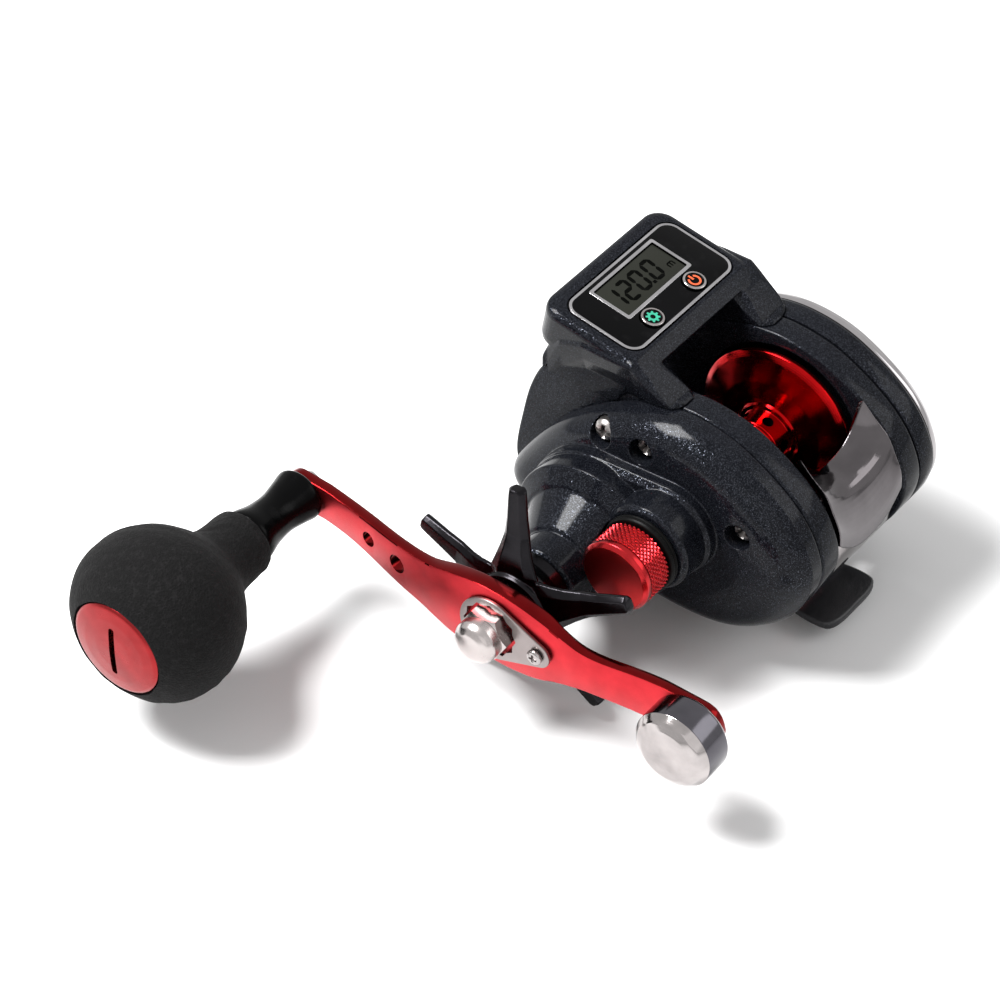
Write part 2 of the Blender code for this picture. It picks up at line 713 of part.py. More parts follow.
def at(y, z):
    """Axis place in the side plane."""
    return Vector((0, y, z))


COVER_SCREW_SHARES = ((1.150, 0.590), (0.530, 0.640), (-0.790, 0.150))
COVER_SCREW_PLACES = [SPOOL_RADIUS * at(y, z) for y, z in COVER_SCREW_SHARES]
POST_PLACES = (YOKE_POST_PLACE * ACROSS_DRIVE, -YOKE_POST_PLACE * ACROSS_DRIVE)
COVER_CENTRE_SHARES = (0.35, -0.14)
COVER_CENTRE = (SPOOL_RADIUS * COVER_CENTRE_SHARES[0], SPOOL_RADIUS * COVER_CENTRE_SHARES[1])


def deck_outline():
    """Curved floor of the frame, from the rear to the front lower bar."""
    lower = [(y * (BODY_REACH_FRONT if y > 0 else BODY_REACH_BACK), z * BODY_DROP) for y, z in DECK_SHARES]
    upper = [(y, z + DECK_THICK) for y, z in lower]
    return lower + upper[::-1]


def make_frame():
    """One moulding: two side plates, the floor, the rear pillar and the yoke's posts."""
    outline = body_outline(FRAME_OUTLINE_SHARES, BODY_REACH_FRONT)
    gear_side = outline_body("main_frame", outline, -SIDE_FACE, -FRAME_INNER, "sparkle_paint")
    palm_side = outline_body("palm_side", outline, FRAME_INNER, SIDE_FACE, "sparkle_paint")
    bore = rod("bore", SPOOL_AXIS, RIGHT, FRAME_INNER - CUT_OVERRUN, SIDE_FACE + CUT_OVERRUN, FRAME_BORE,
               sides=LARGE_ROUND)
    cut(palm_side, bore)
    inside = FRAME_INNER - CUT_OVERRUN
    outside = SIDE_FACE + CUT_OVERRUN
    cut(gear_side,
        rod("bore", SPOOL_AXIS, LEFT, inside, outside, PINION_OPENING),
        rod("bore", WORM_AXIS, LEFT, inside, outside, WORM_JOURNAL + GAP, sides=SMALL_ROUND),
        rod("seat", DRIVE_AXIS, LEFT, SIDE_FACE - GAP - DRIVE_BEARING_LENGTH, outside,
            DRIVE_BEARING_RADIUS + GAP),
        rod("rail", rail_axis(), LEFT, inside, FRAME_INNER + RAIL_SEAT, RAIL_RADIUS + GAP, sides=SMALL_ROUND))
    cut(palm_side,
        rod("bore", WORM_AXIS, RIGHT, inside, SIDE_FACE - RAIL_SEAT, WORM_JOURNAL + GAP, sides=SMALL_ROUND),
        rod("rail", rail_axis(), RIGHT, inside, FRAME_INNER + RAIL_SEAT, RAIL_RADIUS + GAP, sides=SMALL_ROUND))
    for place in COVER_SCREW_PLACES:
        cut(gear_side, rod("hole", place, LEFT, SIDE_FACE - COVER_SCREW_GRIP - GAP, outside,
                           COVER_SCREW_RADIUS + GAP, sides=SMALL_ROUND))
    cut(gear_side, thumb_slot(LEFT))
    cut(palm_side, thumb_slot(RIGHT))
    reach = FRAME_INNER + JOIN_OVERLAP
    deck = outline_body("deck", deck_outline(), -reach, reach, "sparkle_paint")
    pillar = rod("pillar", at(-REAR_PILLAR_BACK, -REAR_PILLAR_DROP), RIGHT, -reach, reach, REAR_PILLAR_RADIUS,
                 sides=SMALL_ROUND)
    posts = [rod("post", place, LEFT, SIDE_FACE - JOIN_OVERLAP, SIDE_FACE + POST_LENGTH, POST_RADIUS,
                 sides=SMALL_ROUND) for place in POST_PLACES]
    frame = fuse(gear_side, palm_side, deck, pillar, *posts)
    for place in foot_rivet_places():
        cut(frame, upright("hole", place, FOOT_TOP, DECK_BOTTOM + DECK_THICK + CUT_OVERRUN,
                           FOOT_RIVET_RADIUS + GAP))


def rail_axis():
    """Axis of the stationary guide rail, over the worm shaft."""
    return WORM_AXIS + Vector((0, GUIDE_PLATE_FRONT - GUIDE_PLATE_THICK / 2, RAIL_RISE))


def thumb_slot(side):
    """Pocket in a side plate where the thumb bar's peg rides."""
    start, end = peg_reach(side)
    xs = sorted((side * (FRAME_INNER - CUT_OVERRUN), side * (end + GAP)))
    back, front, low, high = peg_section()
    move = THUMB_TRAVEL * THUMB_SLIDE
    outline = [(back - GAP, high + GAP), (front + GAP, high + GAP), (front + GAP, low - GAP),
               (front + GAP + move.y, low - GAP + move.z), (back - GAP + move.y, low - GAP + move.z),
               (back - GAP + move.y, high + GAP + move.z)]
    return outline_body("slot", outline, xs[0], xs[1], "black_satin")


def peg_reach(side):
    """Where the thumb bar's peg starts and ends; the gear side's goes right through."""
    start = THUMB_HALF_WIDTH - JOIN_OVERLAP
    return start, (SIDE_FACE + GAP if side == LEFT else FRAME_INNER + THUMB_PEG_REACH)


def peg_section():
    """Back, front, low and high limits of the thumb bar's peg."""
    return (-THUMB_LEG_BACK - THUMB_LEG_DEPTH / 2, -THUMB_LEG_BACK + THUMB_LEG_DEPTH / 2,
            -THUMB_PEG_BOTTOM, THUMB_PEG_TOP)


def upright(name, place, low, high, radius, finish="satin_steel", top_radius=None):
    """Round rod along Z, or a cone with its own top radius."""
    top_radius = radius if top_radius is None else top_radius
    rings = [[(x, y, z) for x, y in circle((place.x, place.y), r, SMALL_ROUND)]
             for z, r in ((low, radius), (high, top_radius))]
    return object_from(name, loft(rings), finish)


def foot_rivet_places():
    """Places of the foot's two rivets."""
    return [Vector((0, side * FOOT_RIVET_SPREAD / 2, 0)) for side in (LEFT, RIGHT)]


def foot_outline():
    """Foot seen from above: two broad tips and a narrower waist."""
    half_length = FOOT_LENGTH / 2
    half_tip = FOOT_WIDTH / 2
    half_waist = FOOT_WAIST / 2
    quarter = (arc((half_tip - FOOT_CORNER, half_length - FOOT_CORNER), FOOT_CORNER, math.pi / 2, 0, 3)
               + [(half_tip, half_length * 0.62), (half_waist, half_length * 0.40)])
    right = quarter + [(x, -y) for x, y in quarter[::-1]]
    return right + [(-x, y) for x, y in right[::-1]]


def make_foot():
    """Foot plate with a pad under the frame's floor, and rivets closed over the floor."""
    outline = foot_outline()
    rings = [[(x, y, z) for x, y in outline] for z in (-SPOOL_HEIGHT, FOOT_TOP)]
    plate = object_from("reel_foot", loft(rings), "black_satin")
    pad_half = FOOT_WAIST / 2
    seat = DECK_BOTTOM - GAP
    fuse(plate, block("pad", (-pad_half, -FOOT_PAD_LENGTH / 2, FOOT_TOP - JOIN_OVERLAP),
                      (pad_half, FOOT_PAD_LENGTH / 2, seat)))
    head = DECK_BOTTOM + DECK_THICK + GAP
    top = head + FOOT_RIVET_HEAD_HEIGHT
    for place in foot_rivet_places():
        fuse(plate, upright("shank", place, seat - JOIN_OVERLAP, head + JOIN_OVERLAP, FOOT_RIVET_RADIUS),
             upright("head", place, head, top, FOOT_RIVET_HEAD, top_radius=FOOT_RIVET_HEAD * 0.7))


def make_spool():
    """Spool with open cups behind its flanges, and the shaft pressed through it."""
    wide, rim = SPOOL_HALF_WIDTH, SPOOL_RIM
    slope = wide - rim
    hub = SPOOL_HUB_RADIUS
    bore = SHAFT_RADIUS + GAP
    half = [(SPOOL_HUB_HALF, hub), (SPOOL_HUB_HALF + rim, hub + rim * 2.5),
            (slope - rim * 0.5, SPOOL_RADIUS - rim * 0.8), (slope, SPOOL_RADIUS),
            (wide, SPOOL_RADIUS), (wide, SPOOL_RADIUS - rim)]
    cup = [(wide - SPOOL_CUP_DEPTH, SPOOL_CUP_RADIUS), (wide - SPOOL_CUP_DEPTH, SHAFT_RADIUS * 2),
           (wide, SHAFT_RADIUS * 2), (wide, bore)]
    right = half + cup
    profile = [(-out, radius) for out, radius in right[::-1]] + right
    spool = turned("spool", SPOOL_AXIS, RIGHT, profile, "red_anodised", LARGE_ROUND)
    cut(spool, upright("line_hole", SPOOL_AXIS, SPOOL_HUB_RADIUS - LINE_HOLE_DEPTH,
                       SPOOL_HUB_RADIUS + CUT_OVERRUN, LINE_HOLE_RADIUS))
    shoulder = SPOOL_HALF_WIDTH + SHAFT_SHOULDER
    palm_end = palm_bearing_out() + BEARING_LENGTH
    shaft = turned("spool_shaft", SPOOL_AXIS, RIGHT,
                   [(-SPOOL_SHAFT_END, 0), (-SPOOL_SHAFT_END, SHAFT_END_RADIUS), (-shoulder, SHAFT_END_RADIUS),
                    (-shoulder, SHAFT_RADIUS), (shoulder, SHAFT_RADIUS), (shoulder, SHAFT_END_RADIUS),
                    (palm_end, SHAFT_END_RADIUS), (palm_end, 0)], "satin_steel", SMALL_ROUND)
    fuse(shaft, upright("cross_pin", Vector((-CROSS_PIN_OUT, 0, 0)), -CROSS_PIN_HALF, CROSS_PIN_HALF,
                        CROSS_PIN_RADIUS))


def palm_bearing_out():
    """Where the palm side's spool bearing starts."""
    return COVER_SEAT - PALM_BOSS_REACH + PALM_WALL


def bearing(name, axis, side, out, outer, inner, length, finish="satin_steel"):
    """Shielded ball bearing: two races with the shield sunk between them."""
    end = out + length
    floor = end - BEARING_GROOVE
    step = (outer - inner) / 4
    profile = [(out, outer), (end, outer), (end, outer - step), (floor, outer - step), (floor, inner + step),
               (end, inner + step), (end, inner), (out, inner)]
    return turned(name, axis, side, profile, finish, BEARING_SIDES)


def make_spool_bearings():
    """Ball bearings at the two ends of the spool's shaft."""
    for name, side, out in (("tension_side_bearing", LEFT, TENSION_BEARING_OUT),
                            ("palm_side_bearing", RIGHT, palm_bearing_out())):
        bearing(name, SPOOL_AXIS, side, out, BEARING_RADIUS, SHAFT_END_RADIUS + GAP, BEARING_LENGTH)


def make_pinion():
    """Pinion with its neck for the yoke and a slotted flange that takes the spool's cross pin."""
    bore = SHAFT_END_RADIUS + GAP
    end = PINION_TEETH_OUT + PINION_TOOTH_LENGTH
    neck_end = PINION_TEETH_OUT + JOIN_OVERLAP
    body = turned("pinion_gear", SPOOL_AXIS, LEFT,
                  [(PINION_OUT, PINION_FLANGE_RADIUS), (PINION_NECK_OUT, PINION_FLANGE_RADIUS),
                   (PINION_NECK_OUT, PINION_NECK_RADIUS), (neck_end, PINION_NECK_RADIUS),
                   (neck_end, bore), (PINION_OUT, bore)], "brass", MID_ROUND)
    teeth = outline_body("teeth", gear_outline(SPOOL_AXIS, PINION_TEETH, MODULE, TOOTH_RISE, TOOTH_FALL,
                                               DRIVE_ANGLE), -end, -PINION_TEETH_OUT, "brass")
    cut(teeth, rod("bore", SPOOL_AXIS, LEFT, PINION_TEETH_OUT - CUT_OVERRUN, end + CUT_OVERRUN, bore))
    fuse(body, teeth)
    cut(body, block("slot", (-PINION_OUT - PINION_SLOT_DEPTH, -PINION_SLOT_HALF, -PINION_FLANGE_RADIUS - GAP),
                    (-PINION_OUT + CUT_OVERRUN, PINION_SLOT_HALF, PINION_FLANGE_RADIUS + GAP)))


def clutch_place(u, v):
    """Side-plane place from distances toward and across the drive axis."""
    place = u * TOWARD_DRIVE + v * ACROSS_DRIVE
    return place.y, place.z


def make_yoke():
    """Yoke that lifts the pinion, with its two springs on the frame's posts."""
    neck = PINION_NECK_RADIUS + GAP
    eye = YOKE_HALF_SPAN - YOKE_POST_PLACE
    half = ([(YOKE_FRONT, YOKE_POST_PLACE - eye)] + arc((0, YOKE_POST_PLACE), eye, 0, math.pi, 6)
            + [(-YOKE_BACK * 0.65, YOKE_POST_PLACE - eye), (-YOKE_BACK, neck)])
    opening = math.acos(YOKE_FRONT / neck)
    mouth = arc((0, 0), neck, -opening, opening - 2 * math.pi, 8)
    outline = mouth + half + [(u, -v) for u, v in half[::-1]]
    yoke = outline_body("pinion_yoke", [clutch_place(u, v) for u, v in outline], -YOKE_OUT - YOKE_THICK,
                        -YOKE_OUT, "satin_steel")
    for place in POST_PLACES:
        cut(yoke, rod("hole", place, LEFT, YOKE_OUT - CUT_OVERRUN, YOKE_OUT + YOKE_THICK + CUT_OVERRUN,
                      POST_RADIUS + GAP, sides=SMALL_ROUND))
    start = YOKE_OUT + YOKE_THICK + GAP + SPRING_WIRE
    for name, place in zip(("yoke_spring_upper", "yoke_spring_lower"), POST_PLACES):
        coil(name, place, LEFT, start, SPRING_LENGTH, SPRING_RADIUS, SPRING_WIRE, SPRING_TURNS)
    print("least gap between yoke spring turns, mm:",
          round((SPRING_LENGTH / SPRING_TURNS - 2 * SPRING_WIRE) * 1000, 3))


def coil(name, axis, side, out, length, radius, wire, turns, points=8, sides=4):
    """Open helical spring along X."""
    rings = []
    total = turns * points
    climb = length / total
    for i in range(total + 1):
        angle = 2 * math.pi * i / points
        around = Vector((0, math.cos(angle), math.sin(angle)))
        along = Vector((side * climb, -radius * math.sin(angle) * 2 * math.pi / points,
                        radius * math.cos(angle) * 2 * math.pi / points)).normalized()
        middle = Vector((side * (out + climb * i), axis.y, axis.z)) + radius * around
        other = along.cross(around)
        rings.append([middle + wire * (math.cos(2 * math.pi * k / sides) * around
                                       + math.sin(2 * math.pi * k / sides) * other) for k in range(sides)])
    return object_from(name, loft(rings), "satin_steel")


def make_clutch_plate():
    """Forked plate that the thumb bar's peg carries, open round the spool's shaft."""
    start = SIDE_FACE + 2 * GAP
    end = start + CLUTCH_PLATE_THICK
    move = -THUMB_TRAVEL * THUMB_SLIDE
    fork = CLUTCH_FORK_SHARE * move
    fork_outline = belt((0, 0), CLUTCH_PLATE_HALF, (fork.y, fork.z), CLUTCH_PLATE_HALF, 5)
    plate = outline_body("clutch_plate", fork_outline, -end, -start, "satin_steel")
    peg = (-THUMB_LEG_BACK, CLUTCH_ARM_HALF - THUMB_PEG_BOTTOM)
    arm_outline = belt((0, 0), CLUTCH_ARM_HALF, peg, CLUTCH_ARM_HALF, 4)
    arm = outline_body("arm", arm_outline, -end, -start, "satin_steel")
    window = outline_body("window", belt((0, 0), SHAFT_END_RADIUS + GAP, (move.y, move.z),
                                         SHAFT_END_RADIUS + GAP, 5),
                          -end - CUT_OVERRUN, -start + CUT_OVERRUN, "satin_steel")
    cut(fuse(plate, arm), window)


def make_level_wind():
    """Worm shaft with its gear, the driver gear, the line guide, its insert, pawl and rail."""
    gear_end = WORM_GEAR_OUT + WORM_GEAR_FACE
    span = FRAME_INNER - GAP * 2
    groove = WORM_GROOVE
    tip = -gear_end - GAP
    profile = [(tip, 0), (tip, WORM_JOURNAL), (-span, WORM_JOURNAL), (-span, WORM_RADIUS)]
    count = int(2 * span / WORM_GROOVE_PITCH)
    for i in range(count):
        middle = -span + WORM_GROOVE_PITCH * (i + 0.5) + (2 * span - count * WORM_GROOVE_PITCH) / 2
        profile += [(middle - groove * 2, WORM_RADIUS), (middle, WORM_RADIUS - groove),
                    (middle + groove * 2, WORM_RADIUS)]
    end = SIDE_FACE - RAIL_SEAT - GAP
    profile += [(span, WORM_RADIUS), (span, WORM_JOURNAL), (end, WORM_JOURNAL), (end, 0)]
    turned("worm_shaft", WORM_AXIS, RIGHT, profile, "satin_steel", SMALL_ROUND)
    phase = math.pi / WORM_TEETH
    teeth = gear_outline(WORM_AXIS, WORM_TEETH, WORM_MODULE, TOOTH_RISE, TOOTH_FALL, math.pi + phase)
    gear = outline_body("worm_gear", teeth, -gear_end, -WORM_GEAR_OUT, "white_plastic")
    cut(gear, rod("bore", WORM_AXIS, LEFT, WORM_GEAR_OUT - CUT_OVERRUN, gear_end + CUT_OVERRUN,
                  WORM_JOURNAL + GAP))
    driver_teeth = gear_outline(DRIVE_AXIS, WORM_DRIVER_TEETH, WORM_MODULE, TOOTH_RISE, TOOTH_FALL, 0)
    driver = outline_body("worm_driver_gear", driver_teeth, -gear_end, -WORM_GEAR_OUT, "white_plastic")
    cut(driver, rod("bore", DRIVE_AXIS, LEFT, WORM_GEAR_OUT - CUT_OVERRUN, gear_end + CUT_OVERRUN,
                    DRIVE_SHAFT_RADIUS + GAP))
    make_line_guide()
    rail = rail_axis()
    reach = FRAME_INNER + RAIL_SEAT - GAP
    rod("guide_rail", rail, RIGHT, -reach, reach, RAIL_RADIUS, "polished_steel", SMALL_ROUND)


def make_line_guide():
    """Line guide that rides on the worm shaft and the rail."""
    worm = WORM_AXIS
    grip = WORM_RADIUS + GAP + GUIDE_BLOCK_WALL
    guide = outline_body("line_guide", circle((worm.y, worm.z), grip, MID_ROUND), -GUIDE_BLOCK_HALF,
                         GUIDE_BLOCK_HALF, "black_gloss")
    plate_front = worm.y + GUIDE_PLATE_FRONT
    plate_back = plate_front - GUIDE_PLATE_THICK
    plate = bevelled(block("plate", (-GUIDE_PLATE_HALF, plate_back, worm.z - GUIDE_BLOCK_WALL),
                           (GUIDE_PLATE_HALF, plate_front, worm.z + GUIDE_TOP)), GAP * 2)
    keeper = rod("keeper", worm - Vector((0, 0, grip - GUIDE_BLOCK_WALL / 2)), RIGHT, -PAWL_RADIUS * 2,
                 PAWL_RADIUS * 2, PAWL_RADIUS + GUIDE_BLOCK_WALL * 0.7, sides=SMALL_ROUND)
    rail_eye = rod("rail_eye", rail_axis(), RIGHT, -GUIDE_PLATE_HALF * 0.9, GUIDE_PLATE_HALF * 0.9,
                   RAIL_RADIUS + GAP + GUIDE_RAIL_WALL)
    fuse(guide, plate, keeper, rail_eye)
    cut(guide, rod("bore", worm, RIGHT, -GUIDE_PLATE_HALF * 2, GUIDE_PLATE_HALF * 2, WORM_RADIUS + GAP),
        rod("rail", rail_axis(), RIGHT, -GUIDE_PLATE_HALF * 2, GUIDE_PLATE_HALF * 2, RAIL_RADIUS + GAP,
            sides=SMALL_ROUND),
        eye_body("eye", GUIDE_EYE_HALF, GUIDE_EYE_HEIGHT / 2, plate_back - CUT_OVERRUN,
                 plate_front + CUT_OVERRUN),
        upright("pawl_seat", worm, worm.z - grip - GUIDE_BLOCK_WALL * 2, worm.z, PAWL_RADIUS + GAP))
    insert = eye_body("guide_insert", GUIDE_EYE_HALF - GAP, GUIDE_EYE_HEIGHT / 2 - GAP, plate_back - GAP,
                      plate_front + GAP, "polished_steel")
    hollow = GAP + GUIDE_INSERT_WALL
    cut(insert, eye_body("hollow", GUIDE_EYE_HALF - hollow, GUIDE_EYE_HEIGHT / 2 - hollow,
                         plate_back - CUT_OVERRUN, plate_front + CUT_OVERRUN))
    pawl_top = worm.z - WORM_RADIUS - GAP
    upright("guide_pawl", worm, pawl_top - PAWL_LENGTH, pawl_top, PAWL_RADIUS)


def eye_body(name, half_width, half_height, start, end, finish="black_gloss"):
    """Oval opening or ring blank along Y in the line guide."""
    middle = WORM_AXIS.z + GUIDE_EYE_RISE
    reach = half_height - half_width
    outline = (arc((0, middle + reach), half_width, 0, math.pi, 8)
               + arc((0, middle - reach), half_width, math.pi, 2 * math.pi, 8))
    return object_from(name, loft([[(x, y, z) for x, z in outline] for y in (start, end)]), finish)


def make_drive():
    """Drive shaft with the parts stacked on it, from the frame outwards."""
    journal_in = SIDE_FACE - DRIVE_BEARING_LENGTH
    flange_end = FLANGE_OUT + SHAFT_FLANGE_THICK
    thread_end = ARM_FACE + DRIVE_THREAD_LENGTH
    turned("drive_shaft", DRIVE_AXIS, LEFT,
           [(journal_in, 0), (journal_in, DRIVE_JOURNAL_RADIUS),
            (COVER_SEAT, DRIVE_JOURNAL_RADIUS), (COVER_SEAT, DRIVE_SHAFT_RADIUS),
            (FLANGE_OUT, DRIVE_SHAFT_RADIUS), (FLANGE_OUT, SHAFT_FLANGE_RADIUS),
            (flange_end, SHAFT_FLANGE_RADIUS), (flange_end, DRIVE_SHAFT_RADIUS),
            (ARM_FACE, DRIVE_SHAFT_RADIUS), (ARM_FACE, DRIVE_THREAD_RADIUS),
            (thread_end, DRIVE_THREAD_RADIUS), (thread_end, 0)],
           "satin_steel", MID_ROUND)
    bearing("drive_shaft_bearing", DRIVE_AXIS, LEFT, journal_in, DRIVE_BEARING_RADIUS,
            DRIVE_JOURNAL_RADIUS + GAP, DRIVE_BEARING_LENGTH)
    bore = DRIVE_SHAFT_RADIUS + GAP
    make_ratchet(bore)
    make_drive_gear(bore)
    for name, start, thick, radius, finish in (
            ("carbon_brake_disc", BRAKE_DISC_OUT, BRAKE_DISC_THICK, SHAFT_FLANGE_RADIUS, "carbon"),
            ("drag_carbon_disc", DRAG_OUT, DRAG_DISC_THICK, GEAR_CUP_RADIUS - GAP, "carbon"),
            ("drag_pressure_plate", PRESSURE_OUT, PRESSURE_THICK, GEAR_CUP_RADIUS - GAP, "satin_steel"),
            ("clutch_sleeve", SLEEVE_OUT, SLEEVE_END - SLEEVE_OUT, SLEEVE_RADIUS, "polished_steel")):
        turned(name, DRIVE_AXIS, LEFT, ring_profile(start, start + thick, radius, bore), finish)
    bearing("one_way_bearing", DRIVE_AXIS, LEFT, ONE_WAY_OUT, ONE_WAY_RADIUS, SLEEVE_RADIUS + GAP,
            ONE_WAY_LENGTH)
    start, end = SPRING_WASHER_OUT, STAR_OUT - GAP
    turned("drag_spring_washer", DRIVE_AXIS, LEFT,
           [(start, SPRING_WASHER_RADIUS), (start + SPRING_WASHER_THICK, SPRING_WASHER_RADIUS), (end, bore),
            (end - SPRING_WASHER_THICK, bore)], "satin_steel")
    turned("handle_spacer", DRIVE_AXIS, LEFT,
           ring_profile(SPACER_OUT, SPACER_OUT + SPACER_LENGTH, SPACER_RADIUS, bore), "black_satin")


def make_ratchet(bore):
    """Trip ratchet that resets the clutch."""
    outline = []
    step = 2 * math.pi / RATCHET_TEETH
    for k in range(RATCHET_TEETH):
        for share, radius_share in ((0.0, 1.0), (0.1, 0.98), (0.2, 0.80), (0.6, 0.82)):
            angle = (k + share) * step
            outline.append((DRIVE_AXIS.y + RATCHET_RADIUS * radius_share * math.cos(angle),
                            DRIVE_AXIS.z + RATCHET_RADIUS * radius_share * math.sin(angle)))
    wheel = outline_body("trip_ratchet", outline, -RATCHET_OUT - RATCHET_THICK, -RATCHET_OUT, "satin_steel")
    cut(wheel, rod("bore", DRIVE_AXIS, LEFT, RATCHET_OUT - CUT_OVERRUN,
                   RATCHET_OUT + RATCHET_THICK + CUT_OVERRUN, bore))


def make_drive_gear(bore):
    """Main gear with the cup that holds the drag discs."""
    face_end = GEAR_OUT + GEAR_FACE
    hub_end = GEAR_OUT + GEAR_HUB_DEPTH
    gear = outline_body("drive_gear", gear_outline(DRIVE_AXIS, DRIVE_TEETH, MODULE, TOOTH_RISE, TOOTH_FALL,
                                                   DRIVE_ANGLE + math.pi + math.pi / DRIVE_TEETH),
                        -face_end, -GEAR_OUT, "brass")
    fuse(gear, rod("hub", DRIVE_AXIS, LEFT, face_end - JOIN_OVERLAP, hub_end, GEAR_HUB_RADIUS))
    cut(gear, rod("cup", DRIVE_AXIS, LEFT, GEAR_OUT + GEAR_WEB, hub_end + CUT_OVERRUN, GEAR_CUP_RADIUS),
        rod("bore", DRIVE_AXIS, LEFT, GEAR_OUT - CUT_OVERRUN, hub_end + CUT_OVERRUN, bore))


def cover_rings(outline, stations):
    """Rings of a cover from (x, inset share, inset depth) stations."""
    rings = []
    for x, share, depth in stations:
        ring = inset(outline, depth) if depth else outline
        rings.append([(x, y, z) for y, z in shrunk(ring, COVER_CENTRE, share)])
    return rings


def make_gear_cover():
    """Gear side cover: domed base, raised plateau, gear tub with its tube, and the tension collar."""
    outline = body_outline(COVER_OUTLINE_SHARES, COVER_REACH_FRONT)
    seat = -COVER_SEAT
    rim = seat - COVER_RIM_DEPTH
    top = rim - COVER_DOME
    stations = [(seat, 1.0, 0), (rim, 1.0, 0), (rim - COVER_DOME * 0.33, 0.965, 0),
                (rim - COVER_DOME * 0.67, 0.90, 0), (rim - COVER_DOME * 0.90, 0.80, 0), (top, 0.62, 0)]
    cover = object_from("gear_side_cover", loft(cover_rings(outline, stations)), "sparkle_paint")
    inner = [(seat + CUT_OVERRUN, 1.0, COVER_WALL), (rim, 1.0, COVER_WALL)]
    inner += [(x + COVER_WALL, share, COVER_WALL) for x, share, depth in stations[3:]]
    plain = body_outline(COVER_OUTLINE_SHARES, COVER_REACH_FRONT, steps=1)
    hollow = object_from("hollow", loft(cover_rings(plain, inner)), "sparkle_paint")
    cut(hollow, *[rod("boss", place, LEFT, SIDE_FACE - CUT_OVERRUN, PLATEAU_OUT,
                      COVER_SCREW_HEAD + COVER_BOSS_WALL) for place in COVER_SCREW_PLACES])
    hull = belt((0, 0), PLATEAU_RADIUS, (DRIVE_AXIS.y, DRIVE_AXIS.z), TUB_RADIUS + GAP, 14)
    step = inset(hull, PLATEAU_CHAMFER)
    plateau = object_from("plateau", loft([[(x, y, z) for y, z in ring] for x, ring in (
        (rim, hull), (-PLATEAU_OUT + PLATEAU_CHAMFER, hull), (-PLATEAU_OUT, step))]), "sparkle_paint")
    tub = turned("tub", DRIVE_AXIS, LEFT,
                 [(COVER_SEAT + COVER_WALL, 0), (COVER_SEAT + COVER_WALL, TUB_RADIUS - GAP),
                  (-rim + GAP, TUB_RADIUS), (TUB_OUT - TUB_CHAMFER, TUB_RADIUS),
                  (TUB_OUT, TUB_RADIUS - TUB_CHAMFER), (TUB_OUT + TUBE_RADIUS * 0.15, TUB_RADIUS * 0.76),
                  (TUBE_START - TUBE_RADIUS * 0.2, TUBE_RADIUS * 1.25), (TUBE_START, TUBE_RADIUS * 1.03),
                  (TUBE_OUT - TUBE_LIP / 2, TUBE_RADIUS), (TUBE_OUT, TUBE_RADIUS - TUBE_LIP / 2),
                  (TUBE_OUT, 0)], "sparkle_paint", LARGE_ROUND)
    collar = turned("collar", SPOOL_AXIS, LEFT,
                    [(-rim + COVER_WALL, 0), (-rim + COVER_WALL, COLLAR_RADIUS),
                     (COLLAR_OUT - COLLAR_CHAMFER, COLLAR_RADIUS),
                     (COLLAR_OUT, COLLAR_RADIUS - COLLAR_CHAMFER), (COLLAR_OUT, NECK_RADIUS),
                     (COLLAR_OUT + NECK_LENGTH, NECK_RADIUS), (COLLAR_OUT + NECK_LENGTH, 0)],
                    "sparkle_paint", LARGE_ROUND)
    fuse(cover, plateau, tub)
    cut(cover, rod("knob_room", SPOOL_AXIS, LEFT, COLLAR_OUT - JOIN_OVERLAP, TUBE_OUT,
                   O_RING_RADIUS + KNOB_ROOM, sides=LARGE_ROUND))
    fuse(cover, collar)
    start = COVER_SEAT - CUT_OVERRUN
    gear_room = turned("gear_room", DRIVE_AXIS, LEFT,
                       [(start, 0), (start, TUB_INNER), (TUB_FLOOR - TUB_CHAMFER, TUB_INNER),
                        (TUB_FLOOR, TUB_INNER - TUB_CHAMFER), (TUB_FLOOR, ONE_WAY_SEAT),
                        (TUBE_OUT - TUBE_LIP, ONE_WAY_SEAT),
                        (TUBE_OUT - TUBE_LIP, SLEEVE_RADIUS + 2 * GAP),
                        (TUBE_OUT + CUT_OVERRUN, SLEEVE_RADIUS + 2 * GAP), (TUBE_OUT + CUT_OVERRUN, 0)],
                       "sparkle_paint", LARGE_ROUND)
    bearing_end = TENSION_BEARING_OUT + BEARING_LENGTH + GAP
    yoke_end = YOKE_OUT + YOKE_THICK + YOKE_TRAVEL + GAP
    neck_end = COLLAR_OUT + NECK_LENGTH + CUT_OVERRUN
    plunger = TENSION_PLUNGER_RADIUS + 2 * GAP
    pinion_room = turned("pinion_room", SPOOL_AXIS, LEFT,
                         [(start, 0), (start, YOKE_HALF_SPAN + GAP), (yoke_end, YOKE_HALF_SPAN + GAP),
                          (yoke_end, BEARING_RADIUS + 2 * GAP), (bearing_end, BEARING_RADIUS + GAP),
                          (bearing_end, plunger), (neck_end, plunger), (neck_end, 0)],
                         "sparkle_paint", MID_ROUND)
    spring_rooms = [rod("spring_room", place, LEFT, start,
                        YOKE_OUT + YOKE_THICK + 2 * GAP + SPRING_LENGTH + 2 * SPRING_WIRE,
                        SPRING_RADIUS + SPRING_WIRE + GAP, sides=SMALL_ROUND) for place in POST_PLACES]
    cut(cover, hollow, pinion_room, gear_room, *spring_rooms)
    for place in COVER_SCREW_PLACES:
        cut(cover, rod("hole", place, LEFT, start, screw_seat() + CUT_OVERRUN, COVER_SCREW_RADIUS + GAP,
                       sides=SMALL_ROUND),
            rod("recess", place, LEFT, screw_seat(), PLATEAU_OUT + CUT_OVERRUN, COVER_SCREW_HEAD + GAP,
                sides=MID_ROUND))


